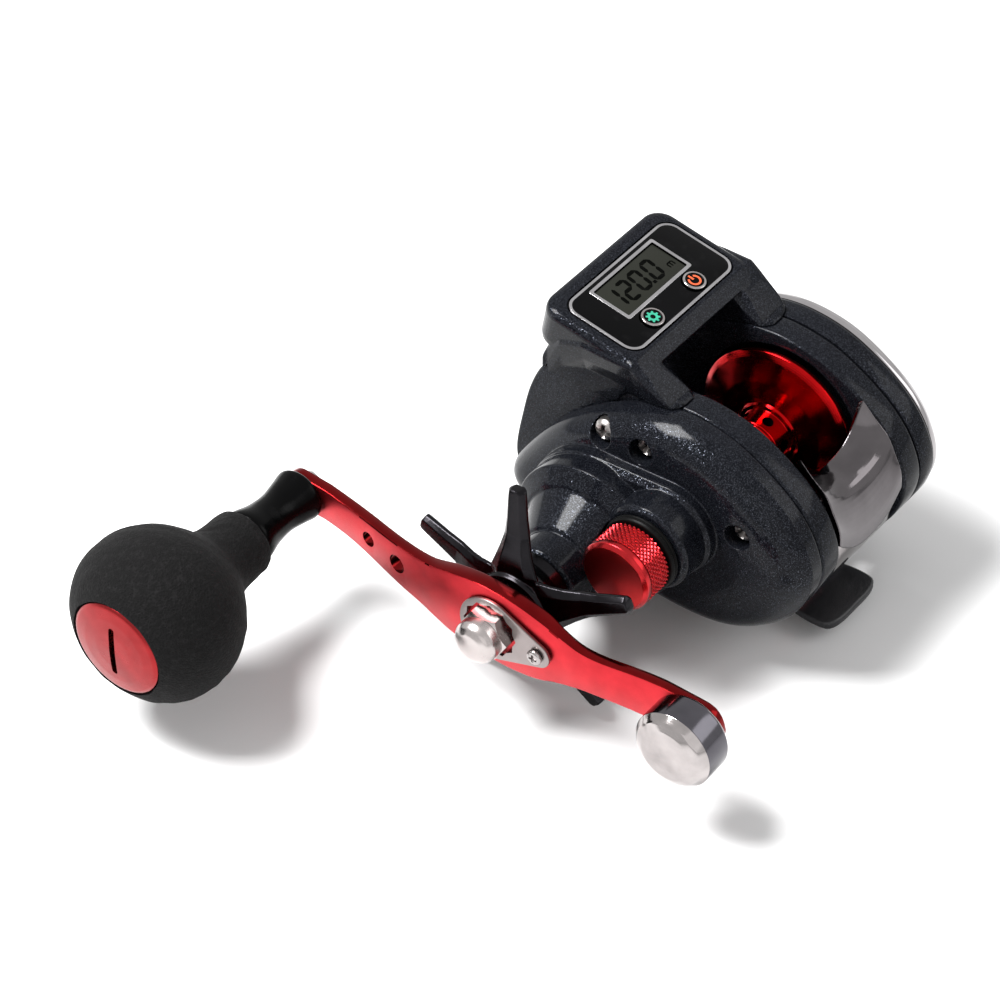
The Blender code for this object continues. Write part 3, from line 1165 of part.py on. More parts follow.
def screw_seat():
    """Where the heads of the gear side cover's screws sit."""
    return COVER_SEAT + COVER_RIM_DEPTH


def make_cover_screws():
    """The three screws of the gear side cover."""
    for name, place in zip(("gear_cover_screw_front", "gear_cover_screw_top", "gear_cover_screw_rear"),
                           COVER_SCREW_PLACES):
        screw(name, place, LEFT, screw_seat() + GAP, COVER_SCREW_HEAD_HEIGHT, COVER_SCREW_HEAD,
              COVER_SCREW_RADIUS, SIDE_FACE - COVER_SCREW_GRIP, "polished_steel")


def make_tension_knob():
    """Spool tension knob, whose plunger bears on the shaft's end, and its rubber ring."""
    out = TENSION_KNOB_OUT
    end = out + TENSION_KNOB_LENGTH
    face = end - TENSION_KNOB_FACE
    radius, chamfer, groove = TENSION_KNOB_RADIUS, TENSION_KNOB_CHAMFER, TENSION_KNOB_GROOVE
    land = end - TENSION_KNOB_LAND
    plunger = SPOOL_SHAFT_END + GAP
    bore = NECK_RADIUS + GAP
    turned("tension_knob", SPOOL_AXIS, LEFT,
           [(out, radius - chamfer / 2), (out + chamfer / 2, radius), (land - groove, radius),
            (land - groove, radius - groove), (land, radius - groove), (land, radius),
            (end - chamfer, radius), (end, radius - chamfer), (end, 0), (plunger, 0),
            (plunger, TENSION_PLUNGER_RADIUS), (face, TENSION_PLUNGER_RADIUS), (face, bore), (out, bore)],
           "red_anodised", LARGE_ROUND)
    ring_in = COLLAR_OUT + GAP
    turned("tension_ring", SPOOL_AXIS, LEFT,
           [(ring_in, O_RING_RADIUS - GAP), (ring_in + O_RING_THICK * 0.4, O_RING_RADIUS),
            (ring_in + O_RING_THICK * 0.5, O_RING_RADIUS - 2 * GAP),
            (ring_in + O_RING_THICK * 0.6, O_RING_RADIUS), (ring_in + O_RING_THICK, O_RING_RADIUS - GAP),
            (ring_in + O_RING_THICK, bore), (ring_in, bore)], "black_satin", LARGE_ROUND)


def make_palm_side():
    """Palm side cover with its inner drum, and the cap, magnets and dial that it carries."""
    outline = body_outline(COVER_OUTLINE_SHARES, COVER_REACH_FRONT)
    seat = COVER_SEAT
    rim = seat + PALM_RIM_DEPTH
    face = seat + PALM_FACE_DEPTH
    cover = object_from("palm_side_cover", loft(cover_rings(outline, [
        (seat, 1.0, 0), (rim, 1.0, 0), (face, 0.985, 0)])), "sparkle_paint")
    plain = body_outline(COVER_OUTLINE_SHARES, COVER_REACH_FRONT, steps=1)
    cut(cover, object_from("hollow", loft(cover_rings(plain, [
        (seat + PALM_WALL, 1.0, PALM_WALL), (face + CUT_OVERRUN, 1.0, PALM_WALL)])), "sparkle_paint"))
    drum_in = seat - PALM_DRUM_DEPTH
    boss_in = seat - PALM_BOSS_REACH
    drum_profile = ring_profile(drum_in, seat + JOIN_OVERLAP, SPOOL_RADIUS, SPOOL_RADIUS - PALM_WALL)
    drum = turned("drum", SPOOL_AXIS, RIGHT, drum_profile, "sparkle_paint", LARGE_ROUND)
    boss = rod("boss", SPOOL_AXIS, RIGHT, boss_in, seat + BRAKE_DIAL_SEAT, PALM_BOSS_RADIUS)
    fuse(cover, drum, boss)
    bearing_end = palm_bearing_out() + BEARING_LENGTH + GAP
    cut(cover, rod("seat", SPOOL_AXIS, RIGHT, boss_in - CUT_OVERRUN, bearing_end, BEARING_RADIUS + GAP))
    make_magnet_ring(boss_in)
    make_palm_cap(outline, face)
    make_brake_dial(face)


def make_magnet_ring(boss_in):
    """Ring of brake magnets on the palm cover's boss, with raised poles towards the spool."""
    bore = PALM_BOSS_RADIUS + GAP
    ring = turned("magnet_ring", SPOOL_AXIS, RIGHT,
                  ring_profile(boss_in, boss_in + MAGNET_RING_THICK, MAGNET_RING_RADIUS, bore),
                  "magnet_nickel", LARGE_ROUND)
    middle = (MAGNET_RING_RADIUS + bore) / 2
    for i in range(MAGNET_COUNT):
        angle = 2 * math.pi * i / MAGNET_COUNT
        fuse(ring, rod("pole", at(middle * math.cos(angle), middle * math.sin(angle)), RIGHT,
                       boss_in - MAGNET_PROUD, boss_in + JOIN_OVERLAP, MAGNET_RADIUS, sides=SMALL_ROUND))


def cap_stations(start, depth):
    """Stations of the chrome cap's dome."""
    return [(start, 0.985, depth), (start + PALM_CAP_DOME * 0.22, 0.985, depth),
            (start + PALM_CAP_DOME * 0.50, 0.95, depth), (start + PALM_CAP_DOME * 0.78, 0.86, depth),
            (start + PALM_CAP_DOME * 0.94, 0.74, depth), (start + PALM_CAP_DOME, 0.58, depth)]


def make_palm_cap(outline, face):
    """Domed chrome cap over the palm side cover."""
    start = face + GAP
    cap = object_from("palm_side_cap", loft(cover_rings(outline, cap_stations(start, 0))), "gunmetal_chrome")
    dome = cap_stations(start - PALM_WALL, PALM_WALL)
    inner = [(start - CUT_OVERRUN, dome[1][1], PALM_WALL)] + dome[2:4] + dome[5:]
    plain = body_outline(COVER_OUTLINE_SHARES, COVER_REACH_FRONT, steps=1)
    cut(cap, object_from("hollow", loft(cover_rings(plain, inner)), "gunmetal_chrome"),
        rod("dial_hole", SPOOL_AXIS, RIGHT, start - CUT_OVERRUN, start + PALM_CAP_DOME + CUT_OVERRUN,
            BRAKE_DIAL_RADIUS + GAP, sides=LARGE_ROUND))


def make_brake_dial(face):
    """Brake dial set into the cap, with its stub over the palm cover's boss."""
    end = face + GAP + PALM_CAP_DOME + BRAKE_DIAL_PROUD
    start = end - BRAKE_DIAL_THICK
    stub_in = COVER_SEAT + BRAKE_DIAL_SEAT + GAP
    radius, notch = BRAKE_DIAL_RADIUS, BRAKE_DIAL_NOTCH
    dial = turned("brake_dial", SPOOL_AXIS, RIGHT,
                  [(stub_in, 0), (stub_in, PALM_BOSS_RADIUS), (start, PALM_BOSS_RADIUS), (start, radius),
                   (end - notch, radius), (end, radius - notch * 2), (end, radius * 0.6),
                   (end - notch, radius * 0.55), (end - notch, 0)], "black_gloss", LARGE_ROUND)
    fuse(dial, block("rib", (end - notch - JOIN_OVERLAP, -radius * 0.5, -notch * 2),
                     (end + notch, radius * 0.5, notch * 2)))


def make_counter():
    """Counter housing with its display, buttons, board, battery and base."""
    make_housing()
    depth = PANEL_THICK + GAP
    panel = display_plate("display_panel", panel_outline(0), 0, -PANEL_THICK, "black_gloss")
    window = rounded_box(WINDOW_HALF_WIDTH, -WINDOW_HALF_HEIGHT, WINDOW_HALF_HEIGHT, GAP, 1)
    cut(panel, display_plate("window", window, CUT_OVERRUN, -PANEL_THICK - CUT_OVERRUN, "black_gloss"))
    for side in (LEFT, RIGHT):
        cut(panel, button_body("hole", side, CUT_OVERRUN, -PANEL_THICK - CUT_OVERRUN, BUTTON_RADIUS + GAP,
                               "black_gloss"))
    lcd_top = -depth
    half_width = WINDOW_HALF_WIDTH + LCD_MARGIN
    half_height = WINDOW_HALF_HEIGHT + LCD_MARGIN
    display_plate("lcd_module", rounded_box(half_width, -half_height, half_height, GAP, 1), lcd_top,
                  lcd_top - LCD_THICK, "display_glass")
    board_top = lcd_top - LCD_THICK - GAP
    display_plate("circuit_board", rounded_box(BOARD_HALF_WIDTH, -BOARD_BACK, BOARD_FRONT, GAP * 3, 2),
                  board_top, board_top - BOARD_THICK, "green_board")
    stem_end = board_top + BUTTON_TRAVEL + GAP
    button_body("set_button", LEFT, BUTTON_PROUD, stem_end, BUTTON_RADIUS, "button_green")
    button_body("power_button", RIGHT, BUTTON_PROUD, stem_end, BUTTON_RADIUS, "button_orange")
    make_battery()
    make_counter_base()


def panel_outline(margin):
    """Outline of the display panel, grown by a margin."""
    return rounded_box(PANEL_HALF_WIDTH + margin, -PANEL_BACK - margin, PANEL_FRONT + margin,
                       PANEL_CORNER + margin)


def button_body(name, side, top, bottom, radius, finish):
    """Round body square to the display, at a button's place."""
    outline = circle((side * BUTTON_SPREAD, -BUTTON_BACK), radius, MID_ROUND)
    return display_plate(name, outline, top, bottom, finish)


def housing_ring(height, share, depth):
    """Ring of the housing at a height below the display face; share runs from top to foot."""
    half = HOUSING_HALF_WIDTH + (HOUSING_HALF_FOOT - HOUSING_HALF_WIDTH) * share
    front = HOUSING_FRONT + HOUSING_LEAN * share * 0.3
    back = HOUSING_BACK - (HOUSING_BACK - HOUSING_FRONT + HOUSING_LEAN) * share
    ring = rounded_box(half - depth, -back + depth, front - depth, HOUSING_ROUND * 2 - depth / 2, 5)
    return [DISPLAY_FRAME @ Vector((x, y, -height)) for x, y in ring]


def make_housing():
    """Counter housing: rounded block on two shoulders that sit on the frame's sides."""
    height, lip = HOUSING_HEIGHT, HOUSING_ROUND
    housing = object_from("counter_housing", loft([
        housing_ring(0, 0, lip * 0.8), housing_ring(lip * 0.12, 0, lip * 0.35),
        housing_ring(lip * 0.5, 0.02, lip * 0.08), housing_ring(lip, 0.08, 0),
        housing_ring(height - lip, 0.85, 0), housing_ring(height, 1, lip * 0.3)]), "sparkle_paint")
    frame_top = body_outline(FRAME_OUTLINE_SHARES, BODY_REACH_FRONT)
    shoulders = []
    crest = DISPLAY_FRAME @ Vector((0, -HOUSING_BACK + HOUSING_ROUND, -HOUSING_ROUND))
    brow = DISPLAY_FRAME @ Vector((0, HOUSING_FRONT - HOUSING_ROUND * 2, -HOUSING_HEIGHT * 0.6))
    toe = BODY_RISE * 0.23
    outline = [(toe, BODY_RISE * 0.90), (toe, BODY_RISE + SHOULDER_ROUND),
               (toe * 1.25, BODY_RISE + 2 * SHOULDER_ROUND),
               ((toe + crest.y) * 0.58, (BODY_RISE + crest.z) * 0.533), (crest.y, crest.z), (brow.y, brow.z),
               (BODY_REACH_FRONT * 0.855, BODY_RISE * 0.90), (BODY_REACH_FRONT * 0.845, BODY_RISE * 0.60),
               (BODY_REACH_FRONT * 0.40, BODY_RISE * 0.60)]
    for side in (LEFT, RIGHT):
        xs = sorted((side * (FRAME_INNER + GAP), side * SIDE_FACE))
        shoulder = outline_body("shoulder", outline, xs[0], xs[1], "sparkle_paint")
        shoulders.append(bevelled(shoulder, SHOULDER_ROUND))
    fuse(housing, *shoulders)
    wall = HOUSING_WALL
    hollow = object_from("hollow", loft([housing_ring(wall / 2 + PANEL_THICK + GAP, 0.1, wall),
                                         housing_ring(height - lip, 0.85, wall),
                                         housing_ring(height + 2 * CUT_OVERRUN, 1, wall)]), "sparkle_paint")
    grown = inset(frame_top, -GAP)
    reach = SIDE_FACE + CUT_OVERRUN
    cut(housing, hollow, outline_body("frame", grown, -reach, reach, "sparkle_paint"))
    margin = GAP
    floor = -PANEL_THICK - GAP
    half_width = WINDOW_HALF_WIDTH + LCD_MARGIN + margin
    half_height = WINDOW_HALF_HEIGHT + LCD_MARGIN + margin
    deep = -height / 2
    cut(housing, display_plate("recess", panel_outline(margin), CUT_OVERRUN, floor, "black_gloss"),
        display_plate("window", rounded_box(half_width, -half_height, half_height, GAP, 1), CUT_OVERRUN, deep,
                      "black_gloss"))
    for side in (LEFT, RIGHT):
        cut(housing, button_body("hole", side, CUT_OVERRUN, deep, BUTTON_RADIUS + margin, "black_gloss"))
    cut(housing, battery_body("hole", HOUSING_WALL, -2 * HOUSING_WALL, BATTERY_CAP_RADIUS + GAP))


def battery_frame():
    """Frame on the housing's front wall, with its Z outwards."""
    top = DISPLAY_FRAME @ Vector((0, HOUSING_FRONT, 0))
    foot = DISPLAY_FRAME @ Vector((0, HOUSING_FRONT + HOUSING_LEAN * 0.3, -HOUSING_HEIGHT))
    down = (foot - top).normalized()
    out = Vector((1, 0, 0)).cross(down)
    middle = top + down * BATTERY_DROP
    turn = Matrix((Vector((1, 0, 0)), down, out)).transposed().to_4x4()
    return Matrix.Translation(middle) @ turn


def battery_body(name, start, end, radius, finish="black_gloss"):
    """Round body on the battery axis between two depths inside the front wall's outer face."""
    frame = battery_frame()
    sign = 1 if (frame.to_3x3() @ Vector((0, 0, 1))).y > 0 else -1
    rim = circle((0, 0), radius, MID_ROUND)
    rings = [[frame @ Vector((x, y, sign * z)) for x, y in rim] for z in (start, end)]
    return object_from(name, loft(rings), finish)


def make_battery():
    """Coin cell behind a slotted cap in the housing's front wall."""
    cap = battery_body("battery_cap", 0, -HOUSING_WALL + GAP, BATTERY_CAP_RADIUS, "black_satin")
    frame = battery_frame()
    half = BATTERY_CAP_SLOT / 2
    ring = [(-BATTERY_CAP_RADIUS * 0.8, -half), (BATTERY_CAP_RADIUS * 0.8, -half),
            (BATTERY_CAP_RADIUS * 0.8, half), (-BATTERY_CAP_RADIUS * 0.8, half)]
    sign = 1 if (frame.to_3x3() @ Vector((0, 0, 1))).y > 0 else -1
    cut(cap, object_from("slot", loft([[frame @ Vector((x, y, sign * z)) for x, y in ring]
                                       for z in (CUT_OVERRUN, -BATTERY_CAP_SLOT * 0.6)]), "black_satin"))
    battery_body("coin_cell", -HOUSING_WALL, -HOUSING_WALL - BATTERY_THICK, BATTERY_RADIUS, "polished_steel")


def make_counter_base():
    """Plate that closes the housing from below."""
    height = HOUSING_HEIGHT - COUNTER_BASE_THICK
    margin = HOUSING_WALL + GAP
    rings = [housing_ring(HOUSING_HEIGHT, 1, margin), housing_ring(height, 1, margin)]
    object_from("counter_base", loft(rings), "black_satin")


def strip_outline(points, thickness):
    """Band under a line of (y, z) points, which run from front to back."""
    inner = []
    count = len(points)
    for i in range(count):
        along = Vector(points[min(i + 1, count - 1)]) - Vector(points[max(i - 1, 0)])
        inner.append(tuple(Vector(points[i]) + thickness * Vector((-along.y, along.x)).normalized()))
    return list(points) + inner[::-1]


def thumb_section(x):
    """Thumb bar section at a place across the reel: a saddle that is low in the middle."""
    share = (x / THUMB_HALF_WIDTH) ** 2
    crest = THUMB_SADDLE + (THUMB_HORN_RISE - THUMB_SADDLE) * share
    edge = THUMB_EDGE_RISE + THUMB_EDGE_END_RISE * share
    lip = THUMB_LIP_RISE + THUMB_EDGE_END_RISE * share * 0.7
    lip_back = THUMB_LIP_BACK - THUMB_EDGE_END_RISE * share * 0.4
    points = [(-THUMB_BACK, crest), (-(THUMB_BACK * 0.55 + THUMB_EDGE_BACK * 0.45), crest * 0.45 + edge * 0.55
                                     + THUMB_THICK * 0.35),
              (-THUMB_EDGE_BACK, edge), (-lip_back, lip)]
    return strip_outline(points, THUMB_THICK * 0.8)


def make_thumb_bar():
    """Thumb bar with a leg and a peg at each end."""
    count = 8
    rings = []
    for i in range(count + 1):
        x = THUMB_HALF_WIDTH * (2 * i / count - 1)
        rings.append([(x, y, z) for y, z in thumb_section(x)])
    bar = object_from("thumb_bar", loft(rings), "gunmetal_chrome")
    back, front, low, high = peg_section()
    pieces = []
    for side in (LEFT, RIGHT):
        leg = sorted((side * (THUMB_HALF_WIDTH - THUMB_LEG_WIDTH), side * THUMB_HALF_WIDTH))
        peg = sorted(side * value for value in peg_reach(side))
        pieces.append(block("leg", (leg[0], back, low), (leg[1], front, THUMB_SADDLE)))
        pieces.append(block("peg", (peg[0], back, low), (peg[1], front, high)))
    fuse(bar, *pieces)


def make_rear_cover():
    """Chrome cover under the thumb bar, between the side plates."""
    reach = FRAME_INNER - GAP
    slope = THUMB_SLIDE
    knee = at(-THUMB_LIP_BACK + REAR_COVER_THICK * 0.8, -THUMB_LIP_RISE * 1.2)
    top = knee - slope * THUMB_TRAVEL * 1.7
    points = [(top.y, top.z), (knee.y, knee.z), (-BODY_REACH_BACK * 0.935, -BODY_DROP * 0.30),
              (-BODY_REACH_BACK * 0.870, -BODY_DROP * 0.56), (-BODY_REACH_BACK * 0.735, -BODY_DROP * 0.74),
              (-BODY_REACH_BACK * 0.600, -BODY_DROP * 0.83)]
    cover = outline_body("rear_cover", strip_outline(points, REAR_COVER_THICK * 0.8), -reach, reach,
                         "gunmetal_chrome")
    notch = -THUMB_PEG_BOTTOM + THUMB_TRAVEL * slope.z - 2 * GAP
    for side in (LEFT, RIGHT):
        xs = sorted((side * (THUMB_HALF_WIDTH - THUMB_LEG_WIDTH - GAP), side * (FRAME_INNER + CUT_OVERRUN)))
        cut(cover, block("notch", (xs[0], -BODY_REACH_BACK - CUT_OVERRUN, notch),
                         (xs[1], 0, THUMB_HORN_RISE)))


def make_star_drag():
    """Star drag: a hub with five prongs that curve towards the reel."""
    end = STAR_OUT + STAR_HUB_LENGTH
    bore = DRIVE_SHAFT_RADIUS + GAP
    hub = turned("star_drag", DRIVE_AXIS, LEFT,
                 [(STAR_OUT, STAR_HUB_RADIUS), (end - STAR_THICK / 2, STAR_HUB_RADIUS),
                  (end, STAR_HUB_RADIUS * 0.85), (end, bore), (STAR_OUT, bore)], "black_gloss", MID_ROUND)
    middle = end - STAR_THICK
    section = ((-STAR_THICK / 2, -0.8), (-STAR_THICK / 4, -1), (STAR_THICK / 2, -0.6),
               (STAR_THICK / 2, 0.6), (-STAR_THICK / 4, 1), (-STAR_THICK / 2, 0.8))
    for k in range(STAR_PRONGS):
        angle = STAR_FIRST + 2 * math.pi * k / STAR_PRONGS
        ahead = Vector((0, math.cos(angle), math.sin(angle)))
        across = Vector((0, -math.sin(angle), math.cos(angle)))
        rings = []
        for share, width in PRONG_SHARES:
            half = STAR_ROOT_HALF * width
            out = middle - STAR_CURVE * share * share
            place = DRIVE_AXIS + STAR_RADIUS * share * ahead
            rings.append([Vector((-(out + lift), 0, 0)) + place + half * reach * across
                          for lift, reach in section])
        fuse(hub, object_from("prong", loft(rings), "black_gloss"))
    cut(hub, rod("bore", DRIVE_AXIS, LEFT, STAR_OUT - CUT_OVERRUN, end + CUT_OVERRUN, bore))


def arm_centre(place):
    """How far the arm's middle lies out, at a distance along it from the drive axis."""
    middle = ARM_OUT + ARM_BOSS_THICK / 2
    if place > 0:
        flat, seat, sweep = ARM_FLAT_LONG, ARM_LONG - KNOB_SLEEVE_RADIUS - GAP, ARM_SWEEP
    else:
        flat, seat, sweep = ARM_FLAT_SHORT, ARM_SHORT - WEIGHT_RADIUS - GAP, ARM_SWEEP_SHORT
    bent = min(max((abs(place) - flat) / (seat - flat), 0), 1)
    return middle - sweep * bent


def arm_thickness(place):
    """Thickness of the arm, thinner beyond its boss."""
    blend = min(max((abs(place) - ARM_BOSS_HALF) / ARM_BOSS_HALF, 0), 1)
    return ARM_BOSS_THICK + (ARM_THICK - ARM_BOSS_THICK) * blend


def make_handle_arm():
    """Cranked flat arm, wider at the boss, with its holes."""
    rings = []
    for share, width in ARM_WIDTH_SHARES:
        place = share * ARM_SPAN
        half = ARM_BOSS_HALF * width
        thick = arm_thickness(place) / 2
        out = arm_centre(place)
        spot = DRIVE_AXIS + place * ARM_DIRECTION
        rings.append([Vector((-(out + lift), 0, 0)) + spot + reach * ARM_ACROSS
                      for lift, reach in ((-thick, -half + ARM_EDGE), (-thick + ARM_EDGE, -half),
                                          (thick - ARM_EDGE, -half), (thick, -half + ARM_EDGE),
                                          (thick, half - ARM_EDGE), (thick - ARM_EDGE, half),
                                          (-thick + ARM_EDGE, half), (-thick, half - ARM_EDGE))])
    arm = object_from("handle_arm", loft(rings), "red_anodised")
    reach = (ARM_OUT - ARM_SWEEP - CUT_OVERRUN, ARM_FACE + CUT_OVERRUN)
    near = DRIVE_AXIS + ARM_HOLE_NEAR * ARM_DIRECTION
    far = DRIVE_AXIS + ARM_HOLE_FAR * ARM_DIRECTION
    retainer = DRIVE_AXIS - RETAINER_SCREW_PLACE * ARM_DIRECTION
    cut(arm, rod("bore", DRIVE_AXIS, LEFT, *reach, DRIVE_SHAFT_RADIUS + GAP),
        rod("hole", near, LEFT, *reach, ARM_HOLE_NEAR_RADIUS, sides=SMALL_ROUND),
        rod("hole", far, LEFT, *reach, ARM_HOLE_FAR_RADIUS, sides=SMALL_ROUND),
        rod("hole", retainer, LEFT, *reach, SMALL_SCREW_RADIUS + GAP, sides=SMALL_ROUND),
        rod("hole", KNOB_AXIS, LEFT, *reach, KNOB_POST_RADIUS + GAP, sides=SMALL_ROUND),
        rod("hole", WEIGHT_AXIS, LEFT, *reach, WEIGHT_RIVET_RADIUS + GAP, sides=SMALL_ROUND))


def make_nut():
    """Handle nut with a domed cap, its toothed retainer plate and the retainer's screw."""
    hex_end = RETAINER_OUT + NUT_HEX_HEIGHT
    outline = circle((DRIVE_AXIS.y, DRIVE_AXIS.z), NUT_RADIUS, 6)
    nut = outline_body("handle_nut", outline, -hex_end, -RETAINER_OUT, "polished_steel")
    dome = NUT_RADIUS * 0.86
    top = NUT_DOME_HEIGHT
    fuse(nut, turned("dome", DRIVE_AXIS, LEFT,
                     [(hex_end - JOIN_OVERLAP, 0), (hex_end - JOIN_OVERLAP, dome),
                      (hex_end + top * 0.45, dome), (hex_end + top * 0.75, dome * 0.88),
                      (hex_end + top * 0.94, dome * 0.58), (hex_end + top, dome * 0.25),
                      (hex_end + top, 0)], "polished_steel", MID_ROUND))
    blind = ARM_FACE + DRIVE_THREAD_LENGTH + GAP
    cut(nut, rod("thread", DRIVE_AXIS, LEFT, RETAINER_OUT - CUT_OVERRUN, blind, DRIVE_THREAD_RADIUS + GAP))
    screw_place = DRIVE_AXIS - RETAINER_SCREW_PLACE * ARM_DIRECTION
    plate_outline = belt((DRIVE_AXIS.y, DRIVE_AXIS.z), RETAINER_RADIUS, (screw_place.y, screw_place.z),
                         RETAINER_TAIL, 12)
    plate_end = RETAINER_OUT + RETAINER_THICK
    plate = outline_body("nut_retainer", plate_outline, -plate_end, -RETAINER_OUT, "satin_steel")
    pitch = 2 * math.pi / RETAINER_TEETH
    teeth = []
    for k in range(RETAINER_TEETH):
        for share, radius in ((0.0, NUT_RADIUS + GAP), (0.5, NUT_RADIUS + 3 * GAP)):
            angle = (k + share) * pitch + pitch / 2
            teeth.append((DRIVE_AXIS.y + radius * math.cos(angle), DRIVE_AXIS.z + radius * math.sin(angle)))
    cut(plate,
        outline_body("teeth", teeth, -plate_end - CUT_OVERRUN, -RETAINER_OUT + CUT_OVERRUN, "satin_steel"),
        rod("hole", screw_place, LEFT, RETAINER_OUT - CUT_OVERRUN, plate_end + CUT_OVERRUN,
            SMALL_SCREW_RADIUS + GAP, sides=SMALL_ROUND))
    screw("retainer_screw", screw_place, LEFT, plate_end + GAP, SMALL_SCREW_HEAD_HEIGHT, SMALL_SCREW_HEAD,
          SMALL_SCREW_RADIUS, ARM_OUT + GAP, "polished_steel")


def make_knob():
    """Foam grip on a sleeve that turns on the post, and the slotted cap."""
    post_tip = KNOB_OUT + KNOB_POST_LENGTH
    head = ARM_END_BACK - GAP
    head_in = head - KNOB_POST_RADIUS / 2
    turned("knob_post", KNOB_AXIS, LEFT,
           [(head_in, 0), (head_in, KNOB_POST_HEAD), (head, KNOB_POST_HEAD), (head, KNOB_POST_RADIUS),
            (post_tip, KNOB_POST_RADIUS), (post_tip, 0)], "satin_steel", SMALL_ROUND)
    bore = KNOB_POST_RADIUS + GAP
    relief = KNOB_POST_RADIUS + KNOB_RELIEF
    inner_end = GRIP_OUT + KNOB_CORE_LENGTH
    outer = [(KNOB_OUT + share * KNOB_SLEEVE_LENGTH, KNOB_SLEEVE_RADIUS * width)
             for share, width in SLEEVE_PROFILE_SHARES]
    turned("knob_sleeve", KNOB_AXIS, LEFT,
           outer + [(GRIP_OUT - GAP, KNOB_CORE_RADIUS), (inner_end, KNOB_CORE_RADIUS), (inner_end, bore),
                    (inner_end - KNOB_BUSH_LENGTH, bore), (inner_end - KNOB_BUSH_LENGTH, relief),
                    (KNOB_OUT + KNOB_BUSH_LENGTH, relief), (KNOB_OUT + KNOB_BUSH_LENGTH, bore),
                    (KNOB_OUT, bore)], "black_gloss", MID_ROUND)
    profile = [(GRIP_OUT + share * GRIP_LENGTH, GRIP_RADIUS * width) for share, width in GRIP_PROFILE_SHARES]
    grip_end = GRIP_OUT + GRIP_LENGTH
    cap_in = grip_end - KNOB_CAP_THICK
    cap_seat = KNOB_CAP_RADIUS + GAP
    turned("knob_grip", KNOB_AXIS, LEFT,
           profile + [(grip_end, cap_seat), (cap_in - GAP, cap_seat), (cap_in - GAP, KNOB_CORE_RADIUS + GAP),
                      (GRIP_OUT, KNOB_CORE_RADIUS + GAP)], "foam", LARGE_ROUND)
    dome = KNOB_CAP_DOME
    cap = turned("knob_cap", KNOB_AXIS, LEFT,
                 [(inner_end + GAP, 0), (inner_end + GAP, KNOB_CORE_RADIUS), (cap_in, KNOB_CORE_RADIUS),
                  (cap_in, KNOB_CAP_RADIUS), (grip_end - dome * 0.2, KNOB_CAP_RADIUS),
                  (grip_end + dome * 0.35, KNOB_CAP_RADIUS * 0.80),
                  (grip_end + dome * 0.8, KNOB_CAP_RADIUS * 0.48), (grip_end + dome, 0)],
                 "red_anodised", LARGE_ROUND)
    half, tall = KNOB_CAP_SLOT / 2, KNOB_CAP_SLOT_LENGTH / 2
    cut(cap, block("slot", (-grip_end - dome - CUT_OVERRUN, KNOB_AXIS.y - half, KNOB_AXIS.z - tall),
                   (-grip_end + KNOB_CAP_THICK / 2, KNOB_AXIS.y + half, KNOB_AXIS.z + tall)))


def make_counterweight():
    """Polished counterweight on the arm's short end, riveted through the arm."""
    start = WEIGHT_SEAT + GAP
    end = start + WEIGHT_LENGTH
    head = WEIGHT_BACK - GAP
    radius, dome = WEIGHT_RADIUS, WEIGHT_DOME
    rivet, rivet_head = WEIGHT_RIVET_RADIUS, WEIGHT_RIVET_HEAD
    turned("counterweight", WEIGHT_AXIS, LEFT,
           [(head - WEIGHT_RIVET_HEIGHT, 0), (head - WEIGHT_RIVET_HEIGHT, rivet_head * 0.7),
            (head, rivet_head), (head, rivet), (start, rivet), (start, radius * 0.96),
            (start + dome * 0.1, radius),
            (end - dome, radius), (end - dome * 0.5, radius * 0.93), (end - dome * 0.15, radius * 0.74),
            (end, radius * 0.42), (end, 0)], "polished_steel", LARGE_ROUND)


MOVING = (
    ("handle_axis", DRIVE_AXIS, None, (
        "drive_shaft", "worm_driver_gear", "trip_ratchet", "carbon_brake_disc", "drive_gear",
        "drag_carbon_disc", "drag_pressure_plate", "clutch_sleeve", "drag_spring_washer", "handle_spacer",
        "handle_arm", "nut_retainer", "handle_nut", "retainer_screw", "knob_post", "counterweight")),
    ("star_axis", DRIVE_AXIS, "handle_axis", ("star_drag",)),
    ("knob_axis", KNOB_AXIS, "handle_axis", ("knob_sleeve", "knob_grip", "knob_cap")),
    ("spool_axis", SPOOL_AXIS, None, ("spool", "spool_shaft")),
    ("yoke_slide", SPOOL_AXIS, None, ("pinion_yoke",)),
    ("pinion_axis", SPOOL_AXIS, "yoke_slide", ("pinion_gear",)),
    ("worm_axis", WORM_AXIS, None, ("worm_shaft", "worm_gear")),
    ("guide_slide", WORM_AXIS, None, ("line_guide", "guide_insert", "guide_pawl")),
    ("thumb_slide", SPOOL_AXIS, None, ("thumb_bar", "clutch_plate")),
    ("tension_axis", SPOOL_AXIS, None, ("tension_knob",)),
    ("brake_axis", SPOOL_AXIS, None, ("brake_dial",)),
    ("power_slide", DISPLAY_CENTRE, None, ("power_button",)),
    ("set_slide", DISPLAY_CENTRE, None, ("set_button",)),
)


def assemble():
    """Hang every piece under the reel's empty, moving pieces on an empty at their joint."""
    reel = bpy.data.objects.new("reel", None)
    bpy.context.collection.objects.link(reel)
    reel.location = (0, 0, SPOOL_HEIGHT)
    pieces = [item for item in bpy.data.objects if item.type == 'MESH']
    places = {"reel": Vector((0, 0, 0))}
    holders = {}
    for name, place, parent, members in MOVING:
        axis = bpy.data.objects.new(name, None)
        bpy.context.collection.objects.link(axis)
        axis.parent = bpy.data.objects[parent or "reel"]
        axis.location = place - places[parent or "reel"]
        places[name] = place
        holders.update({member: name for member in members})
    for piece in pieces:
        holder = holders.get(piece.name, "reel")
        piece.data.transform(Matrix.Translation(-places[holder]))
        piece.parent = bpy.data.objects[holder]


